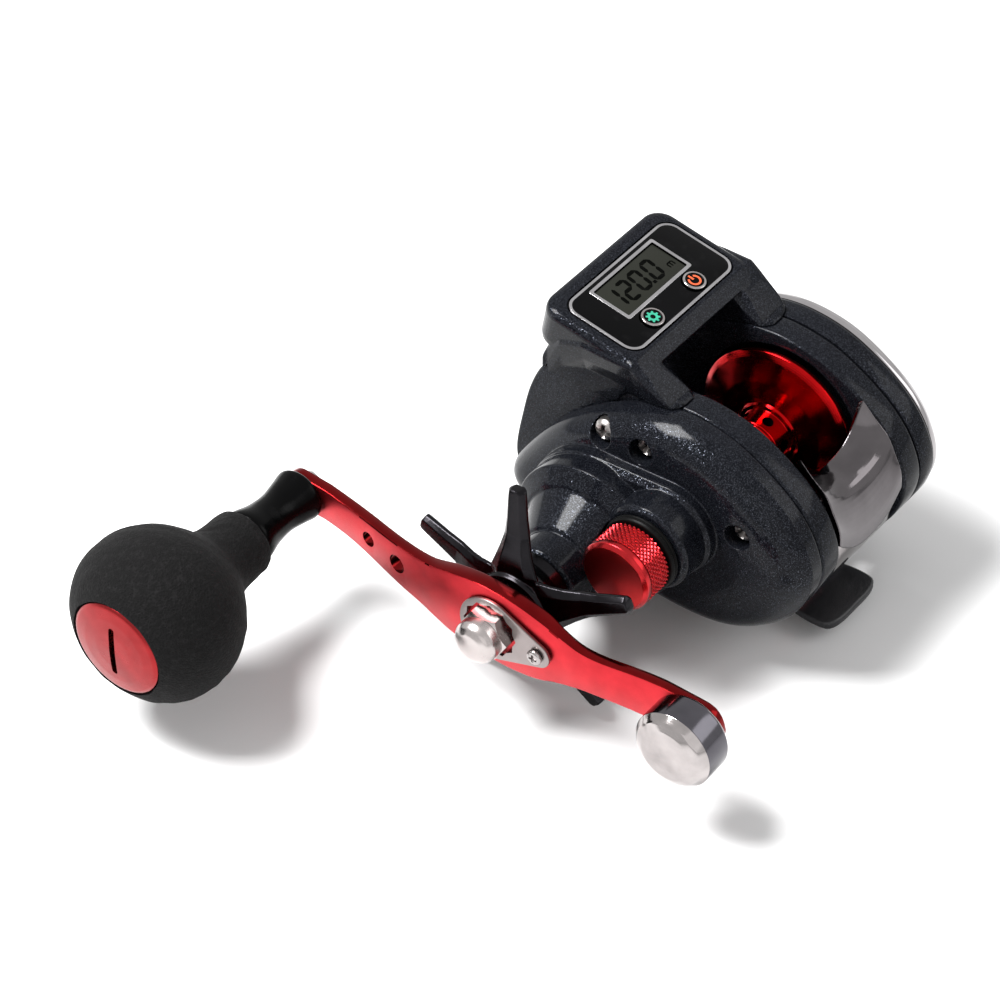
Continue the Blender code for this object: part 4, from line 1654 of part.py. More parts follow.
def main():
    """Build the whole reel."""
    clear_scene()
    make_frame()
    make_foot()
    make_spool()
    make_spool_bearings()
    make_pinion()
    make_yoke()
    make_clutch_plate()
    make_level_wind()
    make_drive()
    make_gear_cover()
    make_tension_knob()
    make_palm_side()
    make_cover_screws()
    make_counter()
    make_thumb_bar()
    make_rear_cover()
    make_star_drag()
    make_handle_arm()
    make_nut()
    make_knob()
    make_counterweight()
    assemble()


main()
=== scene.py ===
import logging
import math
from dataclasses import dataclass
from enum import Enum
from typing import Callable, Sequence

import bmesh
import bpy
from mathutils import Matrix, Vector


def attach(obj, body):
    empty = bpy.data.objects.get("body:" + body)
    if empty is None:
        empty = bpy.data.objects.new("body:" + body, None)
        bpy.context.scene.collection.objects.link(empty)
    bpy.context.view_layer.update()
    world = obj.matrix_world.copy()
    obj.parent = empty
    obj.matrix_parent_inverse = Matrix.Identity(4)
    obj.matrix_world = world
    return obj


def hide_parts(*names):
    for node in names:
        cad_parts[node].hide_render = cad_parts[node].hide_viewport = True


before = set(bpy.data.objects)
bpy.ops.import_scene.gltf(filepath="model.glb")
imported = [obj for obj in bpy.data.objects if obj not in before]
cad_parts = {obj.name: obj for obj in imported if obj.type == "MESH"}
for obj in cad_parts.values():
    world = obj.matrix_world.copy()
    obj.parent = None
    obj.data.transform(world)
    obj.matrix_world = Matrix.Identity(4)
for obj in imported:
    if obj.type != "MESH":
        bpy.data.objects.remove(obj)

# Looks of a digital low-profile baitcasting reel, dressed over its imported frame.
# Shapes are worked in millimetres about the spool's axis: X across the reel with the palm side
# positive, Y towards the level wind, Z up. A piece is scaled to metres when it is done.

log = logging.getLogger("reel")

Pair = tuple[float, float]
Triple = tuple[float, float, float]
Colour = tuple[float, float, float]
FaceTest = Callable[[Vector, Vector], bool]
Relief = Callable[[float, float], float]

METRE = 0.001
SPOOL_AXIS_HEIGHT = 0.029
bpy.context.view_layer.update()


class Side(Enum):
    """Side of the reel that a piece faces."""

    GEAR = -1
    PALM = 1


class Slot(Enum):
    """Material slots of the record, named in each piece's call."""

    PAINT = "sparkle_paint"
    GLOSS = "black_gloss"
    SATIN = "black_satin"
    METAL = "black_metal"
    RUBBER = "black_rubber"
    RED = "red_anodised"
    CHROME = "gunmetal_chrome"
    POLISHED = "polished_steel"
    STEEL = "satin_steel"
    FOAM = "foam"
    DISPLAY = "display_grey"
    ORANGE = "button_orange"
    GREEN = "button_green"


# Sockets and node trees

@dataclass(frozen=True)
class Wire:
    """A socket that takes part in sums; an expression on it adds its Math nodes."""

    board: "Board"
    socket: bpy.types.NodeSocket

    def sum(self, operation: str, *values: "Wire | float") -> "Wire":
        """Add one Math node on the values."""
        return self.board.node("ShaderNodeMath", {"operation": operation}, dict(enumerate(values)))

    def __add__(self, other: "Wire | float") -> "Wire":
        """Sum."""
        return self.sum("ADD", self, other)

    __radd__ = __add__

    def __mul__(self, other: "Wire | float") -> "Wire":
        """Product."""
        return self.sum("MULTIPLY", self, other)

    __rmul__ = __mul__

    def __sub__(self, other: "Wire | float") -> "Wire":
        """Difference."""
        return self.sum("SUBTRACT", self, other)

    def __rsub__(self, other: float) -> "Wire":
        """Difference from a number."""
        return self.sum("SUBTRACT", other, self)

    def __truediv__(self, other: "Wire | float") -> "Wire":
        """Quotient."""
        return self.sum("DIVIDE", self, other)

    def __pow__(self, other: "Wire | float") -> "Wire":
        """Power."""
        return self.sum("POWER", self, other)

    def over(self, limit: float, width: float) -> "Wire":
        """Mask that rises from 0 to 1 within a width above a limit."""
        raised = (self - limit) / width
        return raised.sum("MINIMUM", raised.sum("MAXIMUM", raised, 0.0), 1.0)

    def sine(self) -> "Wire":
        """Sine of the value in radians."""
        return self.sum("SINE", self)


class Board:
    """Node tree of one material or of the world."""

    def __init__(self, owner: bpy.types.Material | bpy.types.World) -> None:
        """Empty the tree of its owner.

        Args:
            owner: material or world that the tree belongs to.
        """
        self.owner = owner
        owner.use_nodes = True
        self.tree = owner.node_tree
        self.tree.nodes.clear()

    def node(self, kind: str, settings: dict | None = None, sockets: dict | None = None,
             output: int | str = 0) -> Wire:
        """Add a node.

        Args:
            kind: Blender's type of the node.
            settings: properties that are set first.
            sockets: values or wires by the name or number of their socket.
            output: name or number of the output that the wire stands for.

        Returns:
            The wire of that output.
        """
        made = self.tree.nodes.new(kind)
        for key, value in (settings or {}).items():
            setattr(made, key, value)
        for key, value in (sockets or {}).items():
            socket = made.inputs[key]
            if isinstance(value, Wire):
                self.tree.links.new(value.socket, socket)
            else:
                socket.default_value = (*value, 1.0) if socket.type == "RGBA" and len(value) == 3 else value
        return Wire(self, made.outputs[output] if made.outputs else made.inputs[0])

    def vector(self, operation: str, *values: "Wire | Sequence[float]", output: int | str = 0) -> Wire:
        """Add one Vector Math node on the values."""
        return self.node("ShaderNodeVectorMath", {"operation": operation}, dict(enumerate(values)), output)

    def place(self, stretch: Sequence[float] = (1.0, 1.0, 1.0)) -> Wire:
        """Place on the piece, in metres, stretched along the axes."""
        raw = self.node("ShaderNodeTexCoord", output="Object")
        return self.vector("MULTIPLY", raw, stretch)

    def noise(self, size: float, detail: float = 3.0, stretch: Sequence[float] = (1.0, 1.0, 1.0)) -> Wire:
        """Cloudy value from 0 to 1 whose blots are about a size in millimetres."""
        return self.node("ShaderNodeTexNoise", None,
                         {"Vector": self.place(stretch), "Scale": 1 / (size * METRE), "Detail": detail})

    def cells(self, size: float, output: str = "Color") -> Wire:
        """Cells of a size in millimetres: their own colour, or the distance from their middle."""
        return self.node("ShaderNodeTexVoronoi", None,
                         {"Vector": self.place(), "Scale": 1 / (size * METRE)}, output)

    def share(self, colour: Wire) -> Wire:
        """First part of a colour, as a value."""
        return self.node("ShaderNodeSeparateColor", None, {0: colour})

    def blend(self, factor: Wire, low: "Wire | Colour", high: "Wire | Colour") -> Wire:
        """Colour between two by a factor."""
        return self.node("ShaderNodeMix", {"data_type": "RGBA"}, {0: factor, 6: low, 7: high}, 2)

    def radius(self, y: float, z: float) -> Wire:
        """Distance in millimetres from an axis along X, at a place about the spool's axis.

        Args:
            y: place of the axis along the reel.
            z: its height over the spool's axis.

        Returns:
            The distance.
        """
        centre = (0.0, y * METRE, z * METRE + SPOOL_AXIS_HEIGHT)
        flat = self.vector("MULTIPLY", self.vector("SUBTRACT", self.place(), centre), (0.0, 1.0, 1.0))
        return self.vector("LENGTH", flat, output="Value") * (1 / METRE)

    def bump(self, height: Wire, depth: float, strength: float = 1.0) -> Wire:
        """Normal of a relief whose depth is in millimetres."""
        return self.node("ShaderNodeBump", None,
                         {"Height": height, "Distance": depth * METRE, "Strength": strength})

    def shaded(self, **sockets: object) -> bpy.types.Material:
        """Close the tree with a Principled shader.

        Args:
            sockets: shader sockets, with underscores for the spaces of their names.

        Returns:
            The finished material.
        """
        shader = self.node("ShaderNodeBsdfPrincipled", None,
                           {key.replace("_", " "): value for key, value in sockets.items()})
        self.node("ShaderNodeOutputMaterial", None, {"Surface": shader})
        return self.owner


# Finishes

class Finish:
    """A surface finish, built once and shared by its pieces."""

    _made: dict["Finish", bpy.types.Material] = {}

    def material(self) -> bpy.types.Material:
        """Material of this finish.

        Returns:
            The material, made at the first call.
        """
        if self not in Finish._made:
            Finish._made[self] = self.build(Board(bpy.data.materials.new(type(self).__name__)))
        return Finish._made[self]

    def build(self, board: Board) -> bpy.types.Material:
        """Build the finish on an empty board."""
        raise NotImplementedError


@dataclass(frozen=True)
class FlakePaint(Finish):
    """Dark blue-black paint with metal flakes under a clear coat."""

    shade: Colour = (0.0022, 0.0025, 0.0037)
    flake: Colour = (0.056, 0.061, 0.075)
    flake_edge: Colour = (0.2, 0.2, 0.2)
    cell: float = 0.12
    tilt: float = 0.50
    bare: float = 0.50
    coat_roughness: float = 0.11
    coat_ior: float = 1.17

    def build(self, board: Board) -> bpy.types.Material:
        """Flakes have their own tone and tilt; the coat over them is smooth.

        Args:
            board: empty board to build on.

        Returns:
            The finished material.
        """
        cells = board.cells(self.cell)
        flakes = board.share(cells).over(self.bare, 1 - self.bare) ** 3.0
        base = board.blend(board.noise(9.0, 2.0), self.shade, tuple(c * 1.7 for c in self.shade))
        colour = board.blend(flakes, base, self.flake)
        reach = flakes * self.tilt
        spread = board.node("ShaderNodeCombineXYZ", None, {0: reach, 1: reach, 2: reach})
        lean = board.vector("MULTIPLY", board.vector("SUBTRACT", cells, (0.5, 0.5, 0.5)), spread)
        facing = board.node("ShaderNodeNewGeometry", output="Normal")
        normal = board.vector("NORMALIZE", board.vector("ADD", facing, lean))
        rough = board.noise(2.5) * 0.08 + 0.19
        return board.shaded(Base_Color=colour, Metallic=flakes * 0.9, Roughness=rough, Normal=normal,
                            Coat_Weight=1.0, Coat_Roughness=self.coat_roughness, Coat_IOR=self.coat_ior,
                            Specular_IOR_Level=0.0, Specular_Tint=self.flake_edge)


@dataclass(frozen=True)
class Moulded(Finish):
    """Moulded or lacquered plastic with a faint grain."""

    shade: Colour
    roughness: float = 0.4
    grain: float = 0.0
    level: float = 0.3

    def build(self, board: Board) -> bpy.types.Material:
        """Grain, slow waves of gloss and small rubbed spots.

        Args:
            board: empty board to build on.

        Returns:
            The finished material.
        """
        rubbed = board.noise(3.5, 6.0).over(0.56, 0.2)
        colour = board.blend(rubbed * 0.5, self.shade, tuple(c * 1.5 + 0.004 for c in self.shade))
        rough = board.noise(6.0) * 0.10 + (self.roughness - 0.05) + rubbed * 0.05
        relief = board.bump(board.noise(0.22, 2.0) + board.noise(7.0, 1.0) * 0.8, 0.02 + self.grain)
        return board.shaded(Base_Color=colour, Roughness=rough, Normal=relief,
                            Specular_IOR_Level=self.level)


@dataclass(frozen=True)
class Metal(Finish):
    """Bare or anodised metal, with turning lines about an axis or a blasted grain."""

    shade: Colour
    roughness: float = 0.2
    lines: float = 0.0
    axis: Pair = (0.0, 0.0)
    grain: float = 0.0
    dark: float = 0.75

    def build(self, board: Board) -> bpy.types.Material:
        """Turning lines, grain, light smudges and small scratches.

        Args:
            board: empty board to build on.

        Returns:
            The finished material.
        """
        smudge = board.noise(5.0, 4.0)
        scratch = board.noise(0.5, 4.0, (1.0, 0.06, 0.5)).over(0.62, 0.1)
        low = tuple(c * self.dark for c in self.shade)
        colour = board.blend(smudge.over(0.3, 0.4), low, self.shade)
        rough = smudge * 0.12 + (self.roughness - 0.06) + scratch * 0.06
        height = board.noise(0.12, 2.0) * self.grain + scratch * 0.05
        if self.lines:
            turning = (board.radius(*self.axis) * 46.0).sine() + (board.radius(*self.axis) * 17.0).sine()
            height = height + turning * self.lines
        return board.shaded(Base_Color=colour, Metallic=1.0, Roughness=rough, Normal=board.bump(height, 0.02))


@dataclass(frozen=True)
class Foam(Finish):
    """Closed-cell foam, ground to shape, with open pores."""

    shade: Colour = (0.0045, 0.0042, 0.0044)
    pore: float = 0.55
    speck: float = 0.22
    depth: float = 0.16

    def build(self, board: Board) -> bpy.types.Material:
        """Pores of two sizes and a dusty sheen between them.

        Args:
            board: empty board to build on.

        Returns:
            The finished material.
        """
        pores = board.cells(self.pore, "Distance")
        fine = board.cells(self.speck, "Distance")
        open_cells = pores.over(0.30, 0.35)
        dust = board.noise(1.1, 5.0)
        colour = board.blend(dust.over(0.42, 0.3) * open_cells, tuple(c * 0.5 for c in self.shade),
                             tuple(c * 1.9 for c in self.shade))
        relief = board.bump(pores * 0.9 + fine * 0.5 + board.noise(0.3, 3.0) * 0.5, self.depth)
        return board.shaded(Base_Color=colour, Roughness=0.86, Normal=relief, Specular_IOR_Level=0.15)


@dataclass(frozen=True)
class CarbonWeave(Finish):
    """Woven carbon discs of the drag."""

    pitch: float = 0.9
    low: Colour = (0.006, 0.006, 0.007)
    high: Colour = (0.05, 0.05, 0.055)

    def build(self, board: Board) -> bpy.types.Material:
        """Crossing strands as a checked weave.

        Args:
            board: empty board to build on.

        Returns:
            The finished material.
        """
        scale = 1 / (self.pitch * METRE)
        weave = board.node("ShaderNodeTexChecker", None, {"Vector": board.place((0.0, 1.0, 1.0)),
                                                          "Scale": scale}, 1)
        strand = (board.radius(0.0, 0.0) * 9.0).sine() * 0.5 + 0.5
        colour = board.blend(weave * strand, self.low, self.high)
        return board.shaded(Base_Color=colour, Roughness=weave * 0.15 + 0.35,
                            Normal=board.bump(weave + strand * 0.4, 0.05))


@dataclass(frozen=True)
class Liquid(Finish):
    """Grey liquid-crystal glass, dim and slightly green."""

    shade: Colour = (0.020, 0.021, 0.017)

    def build(self, board: Board) -> bpy.types.Material:
        """Faint grid of the cells below the glass.

        Args:
            board: empty board to build on.

        Returns:
            The finished material.
        """
        grid = board.node("ShaderNodeTexBrick", None,
                          {"Vector": board.place(), "Scale": 900.0, "Mortar Size": 0.02}, 1)
        colour = board.blend(grid * 0.5 + board.noise(5.0) * 0.4, self.shade,
                             tuple(c * 0.62 for c in self.shade))
        return board.shaded(Base_Color=colour, Roughness=board.noise(8.0) * 0.04 + 0.10,
                            Specular_IOR_Level=0.05)


@dataclass(frozen=True)
class CircuitLacquer(Finish):
    """Green lacquer of the circuit board with copper tracks below it."""

    shade: Colour = (0.006, 0.075, 0.030)
    track: Colour = (0.03, 0.20, 0.08)

    def build(self, board: Board) -> bpy.types.Material:
        """Tracks show as a paler maze.

        Args:
            board: empty board to build on.

        Returns:
            The finished material.
        """
        track = board.node("ShaderNodeTexBrick", None,
                           {"Vector": board.place(), "Scale": 420.0, "Mortar Size": 0.03}, 1)
        colour = board.blend(track, self.shade, self.track)
        return board.shaded(Base_Color=colour, Roughness=board.noise(2.0) * 0.1 + 0.3,
                            Normal=board.bump(track, 0.03))


PAINT = FlakePaint()
GLOSS_BLACK = Moulded((0.0008, 0.0008, 0.0010), 0.09, level=0.07)
SLEEVE_BLACK = Moulded((0.0010, 0.0010, 0.0011), 0.18, level=0.05)
SATIN_BLACK = Moulded((0.011, 0.011, 0.013), 0.38, 0.03, 0.4)
RUBBER_BLACK = Moulded((0.002, 0.002, 0.002), 0.35, 0.02, 0.06)
STAR_BLACK = Metal((0.017, 0.016, 0.018), 0.22, grain=0.1)
RED_SATIN = Metal((0.50, 0.026, 0.034), 0.34, grain=0.9)
# polished edge of the arm; its darker red than the face is painted shade
SHADED_RED_EDGE = Metal((0.155, 0.006, 0.007), 0.14, grain=0.1)
RED_SPOOL = Metal((0.46, 0.0062, 0.0075), 0.14, lines=0.14)
RED_KNOB = Metal((0.42, 0.020, 0.024), 0.22)
RED_FACE = Metal((0.36, 0.013, 0.014), 0.30, lines=0.10, dark=0.9)
RED_CAP = Metal((0.25, 0.020, 0.022), 0.25, lines=0.10, axis=(69.12, -5.81))
DARK_CHROME = Metal((0.27, 0.25, 0.25), 0.11, dark=0.75)
THUMB_CHROME = Metal((0.110, 0.101, 0.105), 0.11, dark=0.80)
# darker copy of the polished chrome for the counterweight's turned side: painted dark reflection
SHADED_SIDE_CHROME = Metal((0.095, 0.091, 0.103), 0.14, dark=0.80)
CAP_CHROME = Metal((0.36, 0.345, 0.35), 0.12, dark=0.93)
POLISHED = Metal((0.40, 0.37, 0.365), 0.12, dark=0.70)
NUT_STEEL = Metal((0.46, 0.42, 0.41), 0.24, dark=0.80)
SCREW_STEEL = Metal((0.34, 0.32, 0.31), 0.34, dark=0.80)
PLATE_STEEL = Metal((0.26, 0.23, 0.225), 0.32, grain=0.8, dark=0.86)
STEEL = Metal((0.42, 0.41, 0.40), 0.28, grain=0.5)
SILVER_LINE = Metal((0.42, 0.41, 0.42), 0.22, grain=0.2)
BRASS = Metal((0.72, 0.47, 0.17), 0.24, lines=0.1, axis=(15.88, -8.23))
NICKEL = Metal((0.50, 0.47, 0.43), 0.16)
WHITE = Moulded((0.62, 0.62, 0.60), 0.45, 0.02, 0.5)
INK = Moulded((0.0007, 0.0008, 0.0006), 0.5, level=0.02)
ORANGE = Moulded((0.62, 0.10, 0.035), 0.35, level=0.3)
GREEN = Moulded((0.030, 0.30, 0.190), 0.35, level=0.3)


# Outlines

class Outline:
    """Closed line of pairs in millimetres."""

    def __init__(self, pairs: Sequence[Pair]) -> None:
        """Keep the pairs as plain numbers."""
        self.pairs = [(float(a), float(b)) for a, b in pairs]

    @classmethod
    def smooth(cls, pairs: Sequence[Pair], steps: int = 8) -> "Outline":
        """Smooth closed curve through the pairs.

        Args:
            pairs: points that the curve passes.
            steps: points made between each two.

        Returns:
            The outline.
        """
        made, count = [], len(pairs)
        for i in range(count):
            made += curved([pairs[(i + k) % count] for k in (-1, 0, 1, 2)], steps)
        return cls(made)

    @classmethod
    def circle(cls, centre: Pair, radius: float, sides: int = 64) -> "Outline":
        """Circle about a centre."""
        return cls([(centre[0] + radius * math.cos(math.tau * i / sides),
                     centre[1] + radius * math.sin(math.tau * i / sides)) for i in range(sides)])

    @classmethod
    def box(cls, half: float, low: float, high: float, corner: float, count: int = 8) -> "Outline":
        """Rectangle with round corners, centred across.

        Args:
            half: half its width.
            low: its lower end.
            high: its upper end.
            corner: radius of the corners.
            count: steps of a corner.

        Returns:
            The outline.
        """
        made = []
        for k, (x, y) in enumerate(((half - corner, high - corner), (corner - half, high - corner),
                                    (corner - half, low + corner), (half - corner, low + corner))):
            made += arc((x, y), corner, k * math.pi / 2, (k + 1) * math.pi / 2, count)
        return cls(made)

    @classmethod
    def belt(cls, first: Pair, first_radius: float, second: Pair, second_radius: float,
             count: int = 36) -> "Outline":
        """Two circles held by a tight belt.

        Args:
            first: middle of the first circle.
            first_radius: its radius.
            second: middle of the second circle.
            second_radius: its radius.
            count: steps of each arc.

        Returns:
            The outline.
        """
        span = Vector(second) - Vector(first)
        heading = math.atan2(span.y, span.x)
        tip = math.acos((first_radius - second_radius) / span.length)
        return cls(arc(second, second_radius, heading - tip, heading + tip, count)
                   + arc(first, first_radius, heading + tip, heading + math.tau - tip, count))

    def inset(self, depth: float) -> "Outline":
        """Move the line inwards by a depth.

        Args:
            depth: how far every point moves.

        Returns:
            The moved outline.
        """
        count = len(self.pairs)
        pairs = [Vector(p) for p in self.pairs]
        area = sum(a.x * b.y - b.x * a.y for a, b in zip(pairs, pairs[1:] + pairs[:1]))
        turn = math.copysign(1.0, area)
        made = []
        for i in range(count):
            along = pairs[(i + 1) % count] - pairs[i - 1]
            inward = turn * Vector((-along.y, along.x)).normalized()
            made.append(tuple(pairs[i] + depth * inward))
        return Outline(made)

    def shrunk(self, centre: Pair, share: float) -> "Outline":
        """Scale the line towards a centre."""
        return Outline([(centre[0] + share * (a - centre[0]), centre[1] + share * (b - centre[1]))
                        for a, b in self.pairs])

    def swapped(self) -> "Outline":
        """Change the two numbers of each pair, in the other order."""
        return Outline([(b, a) for a, b in self.pairs[::-1]])

    def side(self, x: float) -> list[Vector]:
        """Ring in a plane across X."""
        return [Vector((x, a, b)) for a, b in self.pairs]

    def level(self, height: float, base: Matrix | None = None) -> list[Vector]:
        """Ring at a height over a base plane."""
        ring = [Vector((a, b, height)) for a, b in self.pairs]
        return [base @ point for point in ring] if base else ring


def arc(centre: Pair, radius: float, start: float, end: float, count: int) -> list[Pair]:
    """Points of an arc, both ends included."""
    return [(centre[0] + radius * math.cos(start + (end - start) * i / count),
             centre[1] + radius * math.sin(start + (end - start) * i / count)) for i in range(count + 1)]


def curved(four: Sequence[Pair], steps: int) -> list[Pair]:
    """Points of a smooth curve from the second of four points up to the third.

    Args:
        four: the two ends of the stretch, with a neighbour before and after them.
        steps: number of points; the third point itself is left to the next stretch.

    Returns:
        The curve's points.
    """
    a, b, c, d = (Vector(point) for point in four)
    made = []
    for k in range(steps):
        t = k / steps
        made.append(tuple(0.5 * (2 * b + (c - a) * t + (2 * a - 5 * b + 4 * c - d) * t * t
                                 + (3 * b - a - 3 * c + d) * t ** 3)))
    return made


def flowing(pairs: Sequence[Pair], steps: int = 6) -> list[Pair]:
    """Smooth open curve through the pairs.

    Args:
        pairs: points that the curve passes.
        steps: points made between each two.

    Returns:
        The curve's points.
    """
    ends = [pairs[0], *pairs, pairs[-1]]
    made = []
    for four in zip(ends, ends[1:], ends[2:], ends[3:]):
        made += curved(four, steps)
    return made + [tuple(pairs[-1])]


def ribbon(line: Sequence[Pair], depth: float) -> Outline:
    """Closed strip between an open line and its copy at a depth to the left.

    Args:
        line: points of the line.
        depth: how far away the copy lies.

    Returns:
        The strip's outline.
    """
    copy = []
    for i, point in enumerate(line):
        along = Vector(line[min(i + 1, len(line) - 1)]) - Vector(line[max(i - 1, 0)])
        copy.append(tuple(Vector(point) + depth * Vector((-along.y, along.x)).normalized()))
    return Outline(list(line) + copy[::-1])


def eased(profile: Sequence[Pair], reach: float, count: int = 4, closed: bool = False) -> list[Pair]:
    """Round the corners of a line.

    Args:
        profile: points of the line.
        reach: how far each rounding starts before its corner.
        count: steps of a rounding.
        closed: whether the last point joins the first.

    Returns:
        The rounded line.
    """
    points = [Vector(p) for p in profile]
    trios = list(zip(points, points[1:], points[2:]))
    if closed:
        trios = list(zip(points[-1:] + points[:-1], points, points[1:] + points[:1]))
    made = [] if closed else [tuple(points[0])]
    for before, corner, after in trios:
        back, on = before - corner, after - corner
        near = min(reach, back.length * 0.45, on.length * 0.45)
        start, end = corner + back.normalized() * near, corner + on.normalized() * near
        for k in range(count + 1):
            t = k / count
            made.append(tuple((1 - t) ** 2 * start + 2 * t * (1 - t) * corner + t * t * end))
    return made if closed else made + [tuple(points[-1])]


# Solids

class Solid:
    """Closed mesh under work, in millimetres."""

    def __init__(self, vertices: Sequence[Vector], faces: Sequence[Sequence[int]]) -> None:
        """Make the mesh and turn its faces outwards.

        Args:
            vertices: corners in millimetres.
            faces: numbers of the corners round each face.
        """
        mesh = bpy.data.meshes.new("work")
        mesh.from_pydata([tuple(v) for v in vertices], [], faces)
        self.holder = bpy.data.objects.new("work", mesh)
        bpy.context.scene.collection.objects.link(self.holder)
        work = bmesh.new()
        work.from_mesh(mesh)
        bmesh.ops.recalc_face_normals(work, faces=work.faces)
        work.to_mesh(mesh)
        work.free()

    @classmethod
    def loft(cls, rings: Sequence[Sequence[Vector]], capped: bool = True) -> "Solid":
        """Skin over rings of equal count, with flat ends or as a closed loop.

        Args:
            rings: points round each station.
            capped: whether flat ends close it.

        Returns:
            The solid.
        """
        count = len(rings[0])
        vertices = [Vector(p) for ring in rings for p in ring]
        rows = len(rings) if not capped else len(rings) - 1
        faces = []
        for r in range(rows):
            s = (r + 1) % len(rings)
            for i in range(count):
                j = (i + 1) % count
                faces.append((r * count + i, r * count + j, s * count + j, s * count + i))
        if capped:
            faces.append(tuple(range(count)))
            faces.append(tuple(range((len(rings) - 1) * count, len(rings) * count)))
        return cls(vertices, faces)

    @classmethod
    def slab(cls, outline: Outline, start: float, end: float, edge: float = 0.0, steps: int = 3,
             base: Matrix | None = None) -> "Solid":
        """Plate between two X places, or two heights over a base plane, with rounded edges.

        Args:
            outline: its outline.
            start: one end.
            end: the other end.
            edge: radius of the edges.
            steps: steps of that radius.
            base: plane that the heights stand on.

        Returns:
            The plate.
        """
        low, high = sorted((start, end))
        stations = [(low, 0.0), (high, 0.0)]
        if edge:
            turn = [math.pi / 2 * k / steps for k in range(steps + 1)]
            stations = [(low + edge * (1 - math.sin(a)), edge * (1 - math.cos(a))) for a in turn[::-1]]
            stations += [(high - edge * (1 - math.sin(a)), edge * (1 - math.cos(a))) for a in turn]
        stations.sort()
        rings = []
        for place, depth in stations:
            ring = outline.inset(depth) if depth > 1e-9 else outline
            rings.append(ring.level(place, base) if base else ring.side(place))
        return cls.loft(rings)

    @classmethod
    def turned(cls, axis: Pair, side: Side, profile: Sequence[Pair], sides: int = 72,
               relief: Relief | None = None) -> "Solid":
        """Turn a profile about an axis along X.

        Args:
            axis: place of the axis.
            side: the way that the profile's first number runs.
            profile: (out, radius) points; a profile off the axis closes on itself.
            sides: number of steps round.
            relief: what is added to the radius at an (out, angle).

        Returns:
            The solid.
        """
        vertices, rows = [], []
        for out, radius in profile:
            x = side.value * out
            if radius < 1e-6:
                rows.append([len(vertices)])
                vertices.append(Vector((x, *axis)))
                continue
            rows.append(list(range(len(vertices), len(vertices) + sides)))
            for i in range(sides):
                angle = math.tau * i / sides
                r = radius + (relief(out, angle) if relief else 0.0)
                vertices.append(Vector((x, axis[0] + r * math.cos(angle), axis[1] + r * math.sin(angle))))
        pairs = list(zip(rows, rows[1:]))
        if len(rows[0]) > 1:
            pairs.append((rows[-1], rows[0]))
        faces = []
        for low, high in pairs:
            for i in range(sides):
                j = (i + 1) % sides
                if len(low) == 1:
                    faces.append((low[0], high[i], high[j]))
                elif len(high) == 1:
                    faces.append((low[i], low[j], high[0]))
                else:
                    faces.append((low[i], low[j], high[j], high[i]))
        return cls(vertices, faces)

    @classmethod
    def rod(cls, axis: Pair, side: Side, start: float, end: float, radius: float, sides: int = 48) -> "Solid":
        """Plain round bar along X, mostly a cutter."""
        return cls.turned(axis, side, [(start, 0), (start, radius), (end, radius), (end, 0)], sides)

    @classmethod
    def block(cls, low: Sequence[float], high: Sequence[float]) -> "Solid":
        """Box between two corners, a cutter or a leg that is joined to more."""
        ring = [(low[0], low[1]), (high[0], low[1]), (high[0], high[1]), (low[0], high[1])]
        return cls.loft([[Vector((x, y, z)) for x, y in ring] for z in (low[2], high[2])])

    @classmethod
    def copied(cls, node: str) -> "Solid":
        """Copy of a CAD node's mesh, brought to millimetres.

        Args:
            node: name of the CAD node.

        Returns:
            The solid.
        """
        mesh = bpy.data.objects[node].data
        return cls([(v.co - Vector((0, 0, SPOOL_AXIS_HEIGHT))) / METRE for v in mesh.vertices],
                   [tuple(f.vertices) for f in mesh.polygons])

    def _settle(self) -> None:
        """Apply the modifiers."""
        bpy.context.view_layer.update()
        graph = bpy.context.evaluated_depsgraph_get()
        mesh = bpy.data.meshes.new_from_object(self.holder.evaluated_get(graph))
        self.holder.modifiers.clear()
        self.holder.data = mesh

    def _combine(self, operation: str, others: Sequence["Solid"]) -> "Solid":
        """Join, cut or keep the common room with other solids, which are used up.

        Args:
            operation: name of the boolean operation.
            others: solids that are used up.

        Returns:
            This solid.
        """
        for other in others:
            before = len(self.holder.data.polygons)
            step = self.holder.modifiers.new("step", "BOOLEAN")
            step.operation, step.solver, step.object = operation, "MANIFOLD", other.holder
            self._settle()
            if not self.holder.data.polygons:
                log.warning("a %s on %d faces left nothing", operation, before)
            bpy.data.objects.remove(other.holder)
        return self

    def join(self, *others: "Solid") -> "Solid":
        """Join other solids to this one."""
        return self._combine("UNION", others)

    def cut(self, *others: "Solid") -> "Solid":
        """Cut other solids out of this one."""
        return self._combine("DIFFERENCE", others)

    def common(self, *others: "Solid") -> "Solid":
        """Keep what this one has in common with others."""
        return self._combine("INTERSECT", others)

    def recast(self, cell: float = 0.3, rounds: int = 4, keep: float = 0.35) -> "Solid":
        """Cast the solid anew in small cells, so that its edges and inner corners are rounded.

        Args:
            cell: size of a cell.
            rounds: rounds of smoothing.
            keep: share of the faces that stays.

        Returns:
            This solid.
        """
        remesh = self.holder.modifiers.new("cast", "REMESH")
        remesh.mode, remesh.voxel_size = "VOXEL", cell
        smooth = self.holder.modifiers.new("smooth", "SMOOTH")
        smooth.factor, smooth.iterations = 0.5, rounds
        thin = self.holder.modifiers.new("thin", "DECIMATE")
        thin.ratio = keep
        self._settle()
        return self

    def softened(self, width: float = 0.15, segments: int = 2, angle: float = 32.0) -> "Solid":
        """Bevel the edges that are sharper than an angle.

        Args:
            width: width of the bevel.
            segments: steps across it.
            angle: angle in degrees.

        Returns:
            This solid.
        """
        bevel = self.holder.modifiers.new("edges", "BEVEL")
        bevel.width, bevel.segments = width, segments
        bevel.limit_method, bevel.angle_limit = "ANGLE", math.radians(angle)
        self._settle()
        return self

